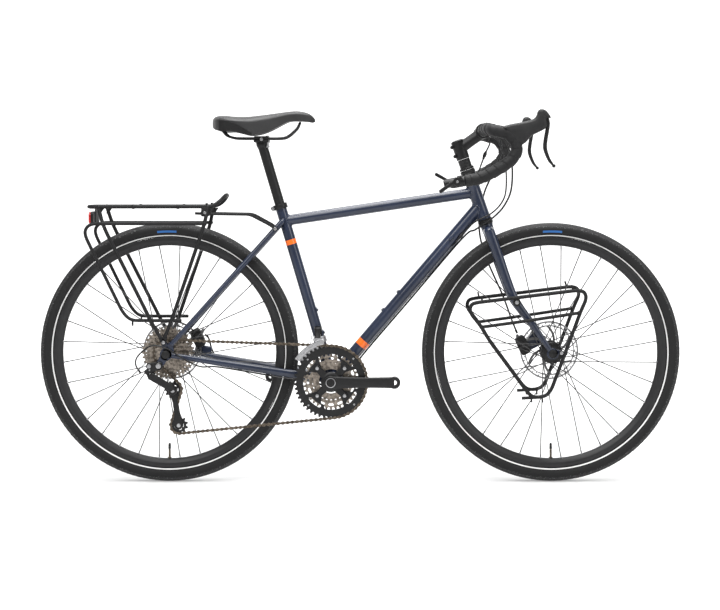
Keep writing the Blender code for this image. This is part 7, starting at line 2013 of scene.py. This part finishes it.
def fillet_ball(s, at, radius=0.0066):
    """A small blended weld where rods meet: a flattened bead."""
    bead = mirrored([(radius * 0.35, -radius * 0.94), (radius * 0.75, -radius * 0.66), (radius, 0.0)])
    s.turned(bead, at, Y_AXIS, 20)


def rod_line(s, points, radius=RACK_TUBE, reach=0.012, closed=False):
    """A bent rod: its straight runs joined by rounded bends."""
    s.pipe(eased(points, reach, 7, closed=closed), radius, 20, closed=closed)


def rear_rack_shape():
    """A bent deck frame with cross bars, two legs a side, and a lower side rail a side."""
    s = Shape()
    deck = np.array(DECK_LINE)
    loop = np.concatenate([deck, (deck * (1, -1, 1))[::-1][:-1]])
    rod_line(s, loop, reach=0.016, closed=True)
    for x in (-0.41, -0.5294):
        z = 0.4703
        rod_line(s, np.array(((x, -0.06, z), (x, 0.06, z))))
        for side in (1, -1):
            fillet_ball(s, (x, side * 0.06, z))
    for side in (1, -1):
        flip = np.array((1, side, 1))
        rod_line(s, np.array(FRONT_LEG) * flip, reach=0.03)
        rod_line(s, np.array(REAR_LEG) * flip, reach=0.03)
        rod_line(s, np.array([(x, side * 0.071, z) for x, z in SIDE_LOOP]), RACK_TUBE * 0.9, reach=0.018)
        rod_line(s, np.array(RACK_STAY) * flip, 0.0036, reach=0.012)
        s.block((-0.337, side * 0.06, 0.456), (0.02, 0.015, 0.024), 0.0, 0.0014)
        s.bolt((-0.337, side * 0.0675, 0.454), Y_AXIS * side, 0.004, 0.0026, skin=1)
        s.bar((-0.333, side * 0.06, 0.466), (-0.333, side * 0.06, 0.48), 0.0034, sides=18, dome=0.0006)
        s.bar((-0.5293, side * 0.0715, 0.166), (-0.5293, side * 0.0735, 0.152), 0.0026, sides=14, dome=0.0006)
        for x, z in ((-0.337, 0.425), (-0.4247, 0.1672), (-0.611, 0.425), (-0.48, 0.166)):
            fillet_ball(s, (x, side * 0.0716, z), 0.006)
        for x in (-0.33, -0.623):
            fillet_ball(s, (x, side * 0.06, 0.469))
            corners = ((0, -0.003), (0.016, -0.003), (0.004, -0.02), (-0.001, -0.02))
            gusset = np.array([(x + dx, 0.469 + dz) for dx, dz in corners])
            s.slab(gusset, side * 0.0592, side * 0.0622, 0.0005)
        for leg in ((-0.442, 0.124), (-0.454, 0.12)):
            s.slab(capsule(RACK_EYELET, leg, 0.0068, 0.0054), side * 0.074, side * 0.079, 0.0008)
        s.bolt((RACK_EYELET[0], side * 0.079, RACK_EYELET[1]), Y_AXIS * side, 0.0048, 0.0034, skin=1)
        eye = stay_point(0.06) * flip
        washer = arc((eye[0], eye[2]), 0.0065, 0, 345, 24)
        s.slab(washer, eye[1] + side * 0.0142, eye[1] + side * 0.0187, 0.0008)
        s.bolt(eye + np.array((0, side * 0.0187, 0)), Y_AXIS * side, 0.0044, 0.003, skin=1)
    s.block((-0.639, 0.0, 0.446), (0.0024, 0.044, 0.042), 0.0, 0.0006)
    s.block((-0.6462, 0.0, 0.4655), (0.017, 0.037, 0.003), 0.0, 0.0006)
    return s


def reflector_pieces():
    """A wide lens with rounded corners in a black tray, its face to the rear."""
    lens = Shape()
    tray = Shape()
    for shape, near, far, grow in ((tray, -0.6402, -0.647, 0.0), (lens, -0.6468, -0.653, -0.0016)):
        loop = oblong(0.046 + grow, 0.017 + grow, 0.008, 8)
        small = oblong(0.046 + grow - 0.0012, 0.017 + grow - 0.0012, 0.0072, 8)
        rows = [(small, near), (loop, near - 0.0008), (loop, far + 0.0012), (small, far)]
        shape.grid(np.stack([np.insert(edge + (0.0, REFLECTOR_Z), 0, x, axis=1) for edge, x in rows]))
    tray.piece("reflector_tray", ["black_plastic"], "black_plastic", nodes=(), rides="rack_reflector")
    lens.piece("rack_reflector", ["red_lens"], "red_lens")


def lowrider_shape(side):
    """A pannier frame: a closed bent loop, a rail across it, its hooks, pins and fixing plates."""
    s = Shape()
    y = side * LOWRIDER_Y
    loop = np.array([(x, y, z) for x, z in LOWRIDER_LOOP])
    rod_line(s, loop, reach=0.016, closed=True)
    rod_line(s, np.array([(x, y, z) for x, z in LOWRIDER_RAIL]), RACK_TUBE * 0.9, reach=0.02)
    for x, z in ((0.403, 0.149), (0.664, 0.187)):
        fillet_ball(s, (x, y, z), 0.0062)
    for x, z, lean, reach in ((0.405, 0.2163, -0.003, 0.016), (0.648, 0.246, -0.005, 0.016),
                              (0.535, -0.037, 0.0015, -0.015), (0.564, -0.037, 0.0015, -0.015)):
        s.bar((x, y, z), (x + lean, y, z + reach), 0.0024, sides=14, dome=0.0006)
    s.bar((0.548, y, -0.0388), (0.51, y, -0.0405), 0.0042, sides=18, dome=0.0008)
    s.turned([(0.006, -0.0196), (0.0068, -0.019), (0.0068, -0.006), (0.0105, -0.0046), (0.0105, 0.0016),
              (0.0096, 0.0026)], (FORK_BOSS[0], y, FORK_BOSS[1]), Y_AXIS * side, 40)
    s.bolt((FORK_BOSS[0], y + side * 0.0026, FORK_BOSS[1]), Y_AXIS * side, 0.0052, 0.0036, skin=1)
    tab = capsule(FORK_EYELET, (0.627, 0.078), 0.006, 0.0052, 12)
    s.slab(tab, y - side * 0.0025, y + side * 0.0025, 0.0008)
    ends = [(FORK_EYELET[0], across, FORK_EYELET[1]) for across in (side * 0.0565, y - side * 0.002)]
    s.bar(*ends, 0.0046, sides=24)
    s.bolt((FORK_EYELET[0], y + side * 0.0025, FORK_EYELET[1]), Y_AXIS * side, 0.0044, 0.0034, skin=1)
    return s


class BICYCLE_OT_racks(bpy.types.Operator):
    """The rear rack with its reflector and the two low front pannier frames"""
    bl_idname = "bicycle.racks"
    bl_label = "Racks"

    def execute(self, context):
        rear_rack_shape().piece("rear_rack", ["rack_coat", "silver_metal"], "black_metal")
        reflector_pieces()
        for word, side in (("left", 1), ("right", -1)):
            lowrider_shape(side).piece("lowrider_" + word, ["rack_coat", "silver_metal"], "black_metal")
        return {"FINISHED"}


# Cables

HOUSING = 0.0025
SHIFT_HOUSING = 0.0021
WIRE = 0.0009
STOP_AT = 0.503
FRONT_BRAKE_RUN = ((0.4286, 0.0547, 0.6755), (0.43, 0.051, 0.6745), (0.456, 0.047, 0.664),
                   (0.464, 0.04, 0.62), (0.44, 0.034, 0.56), (0.415, 0.033, 0.5),
                   (0.404, 0.05, 0.41), (0.423, 0.057, 0.33), (0.469, 0.06, 0.225),
                   (0.493, 0.06, 0.16))
REAR_BRAKE_RUN = ((0.4286, -0.0547, 0.6755), (0.43, -0.051, 0.6745), (0.462, -0.049, 0.66),
                  (0.485, -0.043, 0.6), (0.486, -0.033, 0.52), (0.465, -0.029, 0.47),
                  (0.43, -0.03, 0.435), (0.39, -0.02, 0.408))
REAR_SHIFT_RUN = ((0.422, -0.054, 0.664), (0.45, -0.046, 0.645), (0.469, -0.036, 0.59),
                  (0.472, -0.027, 0.518), (0.46, -0.024, 0.48), (0.43, -0.024, 0.45),
                  (0.39, -0.0255, 0.43))
FRONT_SHIFT_RUN = ((0.422, 0.054, 0.664), (0.433, 0.047, 0.645), (0.418, 0.037, 0.61),
                   (0.398, 0.029, 0.55), (0.392, 0.027, 0.48), (0.374, 0.0255, 0.43))


def cable_stop(side):
    return along_down(STOP_AT, side * 0.017, -0.0125)


def under_tube(distance):
    """A point on the underside of the down tube."""
    return along_down(distance, 0.0, -(DOWN_RADIUS + HOUSING + 2 * GAP))


def beside_tube(distance, side):
    return cable_stop(side) + DOWN_DIRECTION * (distance - STOP_AT)


def under_stay(x, side, radius):
    """A point just under a chainstay."""
    xs = (-0.425, -0.15, -0.06, -0.012)
    y = np.interp(x, xs, (0.0703, 0.0425, 0.0295, 0.021))
    depth = np.interp(x, xs, (0.007, 0.0105, 0.011, 0.011))
    return (x, side * y, 0.002 + 0.073 * x / REAR_AXLE_X - depth - radius - 0.001)


def arm_end(arm, plane):
    x, z = arm_tip(*arm)
    return np.array((x, plane + 0.011 + 0.0056 + 0.00175, z))


def cable_path(points):
    """The smooth curve through the cable's points, at even steps."""
    return spaced(spline(np.array([tuple(p) for p in points]), 10), 0.0035)


def ferrule(s, path, at, length, radius, skin):
    """A sleeve on a cable: a turned tube with a rim at each end, laid along the path from a point."""
    index = int(np.argmin(np.linalg.norm(path - np.asarray(at), axis=1)))
    index = min(max(index, 1), len(path) - 2)
    way = unit(path[index + 1] - path[index - 1])
    r = radius
    profile = [(r * 0.8, 0.0), (r, 0.0006), (r, length - 0.0012), (r * 0.92, length - 0.001),
               (r * 0.8, length)]
    s.turned(profile, path[index] - way * length / 2, way, 20, skin=skin)


def adjuster(s, path, at, skin):
    """An in-line barrel adjuster: a knurled barrel between two collars."""
    index = int(np.argmin(np.linalg.norm(path - np.asarray(at), axis=1)))
    way = unit(path[index + 1] - path[index - 1])
    start = path[index] - way * 0.0115
    s.turned([(0.0028, 0.0), (0.0034, 0.0006), (0.0034, 0.0042), (0.0044, 0.0048), (0.0048, 0.006),
              (0.0048, 0.015), (0.0044, 0.0162), (0.0034, 0.0168), (0.0034, 0.022), (0.0028, 0.023)],
             start, way, 12, skin=skin)


def lay_cable(name, points, radius, thin=None, ferrules=(), adjusters=(), steered=True):
    """A cable's jacket along its run, bare wire where it is thin, and the fittings on it."""
    path = cable_path(points)
    bare = np.zeros(len(path), bool)
    if thin is not None:
        x0, x1, z0, z1 = thin
        bare = (path[:, 0] >= x0) & (path[:, 0] <= x1) & (path[:, 2] >= z0) & (path[:, 2] <= z1)
    s = Shape()
    jacket = np.where(bare, WIRE, radius)
    s.pipe(path, jacket, sides=14)
    faces = np.array(s.skins)
    rows = np.arange(len(faces) - 2) // 14
    faces[:len(rows)] = np.where((bare[rows] & bare[rows + 1]), 1, 0)
    s.skins = faces.tolist()
    for at, length, size in ferrules:
        ferrule(s, path, at, length, size, skin=2)
    for at in adjusters:
        adjuster(s, path, at, skin=2)
    piece = s.piece(name, ["cable_black", "cable_wire", "black_metal"], "cable_black",
                    rides="later" if steered else "fork")
    if steered:
        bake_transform(piece)


class BICYCLE_OT_cables(bpy.types.Operator):
    """Brake and shift cables with their housings, ferrules and barrel adjusters"""
    bl_idname = "bicycle.cables"
    bl_label = "Cables"

    def execute(self, context):
        tip = arm_end(FRONT_ARM, FRONT_ROTOR_PLANE)
        points = [*FRONT_BRAKE_RUN, tip + (-0.001, 0, 0.008)]
        lay_cable("front_brake_housing", points, HOUSING, ferrules=((points[-1], 0.011, 0.0031),),
                  steered=False)

        tip = arm_end(REAR_ARM, REAR_ROTOR_PLANE)
        points = [*REAR_BRAKE_RUN, *[under_tube(d) for d in (0.52, 0.3, 0.12)],
                  (0.04, 0.006, 0.008), (0.018, 0.01, -0.0215), (-0.011, 0.014, -0.026),
                  (-0.035, 0.023, -0.015), *[under_stay(x, 1, HOUSING) for x in (-0.07, -0.18, -0.29)],
                  (-0.32, 0.072, 0.048), (-0.335, 0.077, 0.075), (-0.344, 0.076, 0.105),
                  tip + (0.005, 0.003, -0.015)]
        lay_cable("rear_brake_housing", points, HOUSING, ferrules=((points[-1], 0.011, 0.0031),))

        stop = cable_stop(-1)
        distances = (0.545, 0.52, 0.494, 0.486, 0.25, 0.08)
        points = [*REAR_SHIFT_RUN, *[beside_tube(d, -1) for d in distances], (0.036, -0.018, 0.006),
                  (0.014, -0.013, -0.023), (-0.012, -0.015, -0.026), (-0.035, -0.023, -0.014),
                  *[under_stay(x, -1, SHIFT_HOUSING) for x in (-0.07, -0.15, -0.17, -0.3)],
                  (-0.35, -0.069, 0.043), (-0.395, -0.079, 0.066), (-0.4402, -0.079, 0.0935),
                  (-0.4807, -0.0785, 0.0984), (-0.5147, -0.0785, 0.0712), (-0.52, -0.078, 0.048),
                  (-0.508, -0.077, 0.027)]
        thin = (-0.16, stop[0], -0.03, stop[2] - 0.0115)
        lay_cable("rear_shift_cable", points, SHIFT_HOUSING, thin,
                  ferrules=((under_stay(-0.166, -1, SHIFT_HOUSING), 0.012, 0.0027),
                            (points[-1], 0.012, 0.0027)),
                  adjusters=(beside_tube(0.524, -1), (0.469, -0.036, 0.59)))

        stop = cable_stop(1)
        points = [*FRONT_SHIFT_RUN, *[beside_tube(d, 1) for d in distances], (0.03, 0.017, 0.015),
                  (0.021, 0.012, -0.009), (0.006, 0.004, -0.022), (-0.01, -0.002, -0.0205),
                  (-0.025, -0.007, -0.007), (-0.04, -0.012, 0.012), (-0.048, -0.017, 0.05),
                  (-0.056, -0.023, 0.095), (-0.052, -0.03, 0.124)]
        thin = (-0.08, stop[0], -0.03, stop[2] - 0.0115)
        lay_cable("front_shift_cable", points, SHIFT_HOUSING, thin,
                  adjusters=(beside_tube(0.524, 1), (0.418, 0.037, 0.61)))
        return {"FINISHED"}


# Stage

CAMERA_PLACE = (0.1585, -4.15, 0.523)
CAMERA_LENS = 76.3
CAMERA_SHIFT = (-0.0417, -0.1639)
GROUND = AXLE_Z - TYRE_OUTER


def backdrop():
    """Pale paper: a wide floor that rises behind in one curve.

    The height is zero up to a line behind, then follows a quarter circle of two metres.
    """
    x = np.linspace(-14, 14, 37)
    turn = np.linspace(0, np.pi / 2, 24)
    y = np.concatenate([np.linspace(-9, 8, 27), 8 + 2 * np.sin(turn)[1:], [10.0, 10.0]])
    z = np.concatenate([np.zeros(27), 2 * (1 - np.cos(turn))[1:], [4.0, 8.0]])
    points = np.stack([np.broadcast_to(x[None, :], (len(y), 37)), np.broadcast_to(y[:, None], (len(y), 37)),
                       np.broadcast_to(GROUND + z[:, None], (len(y), 37))], axis=-1)
    s = Shape().grid(points, close_v=False, caps=False)
    mesh = bpy.data.meshes.new("studio_floor")
    mesh.from_pydata(np.concatenate(s.points).tolist(), [], s.faces)
    mesh.materials.append(FINISHES["studio_paper"])
    mesh.shade_smooth()
    floor = bpy.data.objects.new("studio_floor", mesh)
    bpy.context.scene.collection.objects.link(floor)


def lamp(name, place, target, size, power):
    """A soft rectangular lamp turned towards a point."""
    light = bpy.data.lights.new(name, "AREA")
    light.shape = "RECTANGLE"
    light.size, light.size_y = size
    light.energy = power
    obj = bpy.data.objects.new(name, light)
    bpy.context.scene.collection.objects.link(obj)
    across, over, back = basis(np.subtract(place, target))
    matrix = np.eye(4)
    matrix[:3, 0], matrix[:3, 1], matrix[:3, 2], matrix[:3, 3] = across, over, back, place
    obj.matrix_world = Matrix(matrix.tolist())


class BICYCLE_OT_stage(bpy.types.Operator):
    """Pale paper backdrop, soft lamps and the camera"""
    bl_idname = "bicycle.stage"
    bl_label = "Stage"

    def execute(self, context):
        backdrop()
        scene = context.scene
        middle = (0.08, 0.0, 0.25)
        lamp("key_lamp", (-1.8, -3.4, 3.6), middle, (3.0, 2.2), 130)
        lamp("fill_lamp", (3.2, -2.6, 1.8), middle, (2.0, 2.4), 50)
        lamp("top_lamp", (0.1, -0.1, 3.8), middle, (4.4, 2.4), 300)
        world = bpy.data.worlds.new("studio")
        world.use_nodes = True
        background = world.node_tree.nodes["Background"]
        background.inputs["Color"].default_value = (1.0, 1.0, 1.0, 1.0)
        background.inputs["Strength"].default_value = 0.32
        scene.world = world
        scene.view_settings.view_transform = "Standard"
        view = bpy.data.cameras.new("photo_camera")
        view.lens = CAMERA_LENS
        view.sensor_width = 36.0
        view.shift_x, view.shift_y = CAMERA_SHIFT
        camera = bpy.data.objects.new("photo_camera", view)
        camera.location = CAMERA_PLACE
        camera.rotation_euler = (math.pi / 2, 0, 0)
        scene.collection.objects.link(camera)
        scene.camera = camera
        return {"FINISHED"}


class BICYCLE_OT_finishes(bpy.types.Operator):
    """Every paint, metal, rubber and plastic of the bicycle"""
    bl_idname = "bicycle.finishes"
    bl_label = "Finishes"

    def execute(self, context):
        colours = context.scene.bicycle_colours
        for make in (frame_paint, black_metal, rack_coat, silver_metal, spoke_steel, rotor_steel, chain_metal,
                     cog_metal, tyre_rubber, hood_rubber, tape_finish, saddle_finish, reflector_lens,
                     cable_jacket, cable_wire, floor_finish):
            make(colours)
        # rim_black's shade of 1.9 lifts the whole rim above the other blacks: partly the rim's own dark grey,
        # partly a painted highlight standing for light on its outer wall edge.
        for name, shade in (("black_plastic", 1.0), ("pulley_black", 1.3), ("rim_black", 1.9),
                            ("hub_black", 0.9), ("ring_black", 1.0), ("crank_black", 0.9)):
            plastic_finish(name, shade, colours)
        return {"FINISHED"}


# Settings and panel

def colour_setting(name, description, value):
    return bpy.props.FloatVectorProperty(name=name, description=description, subtype="COLOR", size=4,
                                         min=0.0, max=1.0, default=(*value, 1.0))


class BicycleSizes(bpy.types.PropertyGroup):
    """Sizes of the finer parts that a user may change"""
    tread_depth: bpy.props.FloatProperty(name="Tread Depth", description="Depth of the tyre's tread",
                                         default=0.001, min=0.0, max=0.003, precision=4, unit="LENGTH")
    tread_blocks: bpy.props.IntProperty(name="Tread Blocks", description="Blocks in one row round the tyre",
                                        default=140, min=40, max=200)
    tape_pitch: bpy.props.FloatProperty(name="Tape Pitch",
                                        description="Distance between two turns of bar tape",
                                        default=0.024, min=0.012, max=0.04, precision=4, unit="LENGTH")


class BicycleColours(bpy.types.PropertyGroup):
    """Colours that a user may change"""
    frame_paint: colour_setting("Frame Paint", "Lacquer of the frame and fork", (0.013, 0.019, 0.039))
    band: colour_setting("Bands", "The two painted bands on the frame", (0.83, 0.145, 0.012))
    black: colour_setting("Black Parts", "Anodised and coated metal and plastic", (0.0065, 0.0065, 0.0069))
    silver: colour_setting("Silver Parts", "Polished and machined metal", (0.46, 0.46, 0.47))
    rubber: colour_setting("Rubber", "Tyres and brake hoods", (0.0125, 0.0125, 0.0128))
    tyre_mark: colour_setting("Tread Marks", "Small marks in the tread", (0.16, 0.16, 0.16))
    tyre_line: colour_setting("Tyre Line", "The thin line low on the sidewall", (0.8, 0.8, 0.79))
    blue_bar: colour_setting("Blue Bar", "The short bar on each tyre", (0.03, 0.125, 0.36))
    tape: colour_setting("Bar Tape", "Tape wound on the handlebar", (0.008, 0.008, 0.0084))
    saddle: colour_setting("Saddle", "Cover of the saddle", (0.012, 0.012, 0.0122))
    chain: colour_setting("Chain", "Oiled steel of the chain", (0.12, 0.098, 0.076))
    cogs: colour_setting("Cogs", "Plated steel of the cogs", (0.27, 0.235, 0.2))
    reflector: colour_setting("Reflector", "Lens of the rear reflector", (0.5, 0.012, 0.01))
    floor: colour_setting("Floor", "The studio's paper", (0.6, 0.6, 0.6))


MAKERS = (BICYCLE_OT_finishes, BICYCLE_OT_stage, BICYCLE_OT_frame, BICYCLE_OT_fork, BICYCLE_OT_wheels,
          BICYCLE_OT_crankset, BICYCLE_OT_chain, BICYCLE_OT_rear_derailleur, BICYCLE_OT_front_derailleur,
          BICYCLE_OT_brakes, BICYCLE_OT_cockpit, BICYCLE_OT_seat, BICYCLE_OT_racks, BICYCLE_OT_cables)


class BICYCLE_PT_panel(bpy.types.Panel):
    """Lists the bicycle's pieces, sizes and colours"""
    bl_idname = "BICYCLE_PT_panel"
    bl_label = "Bicycle"
    bl_space_type = "VIEW_3D"
    bl_region_type = "UI"
    bl_category = "Bicycle"

    def draw(self, context):
        for group in (context.scene.bicycle_sizes, context.scene.bicycle_colours):
            box = self.layout.box()
            for key in group.__annotations__:
                box.prop(group, key)
        for maker in MAKERS:
            self.layout.operator(maker.bl_idname)


CLASSES = (BicycleSizes, BicycleColours, *MAKERS, BICYCLE_PT_panel)


def register():
    for item in CLASSES:
        bpy.utils.register_class(item)
    bpy.types.Scene.bicycle_sizes = bpy.props.PointerProperty(type=BicycleSizes)
    bpy.types.Scene.bicycle_colours = bpy.props.PointerProperty(type=BicycleColours)


def unregister():
    del bpy.types.Scene.bicycle_colours
    del bpy.types.Scene.bicycle_sizes
    for item in reversed(CLASSES):
        bpy.utils.unregister_class(item)


def main():
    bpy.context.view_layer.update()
    register()
    ops = bpy.ops.bicycle
    for maker in MAKERS:
        getattr(ops, maker.bl_idname.split(".")[1])()
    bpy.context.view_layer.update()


if __name__ == "__main__":
    main()
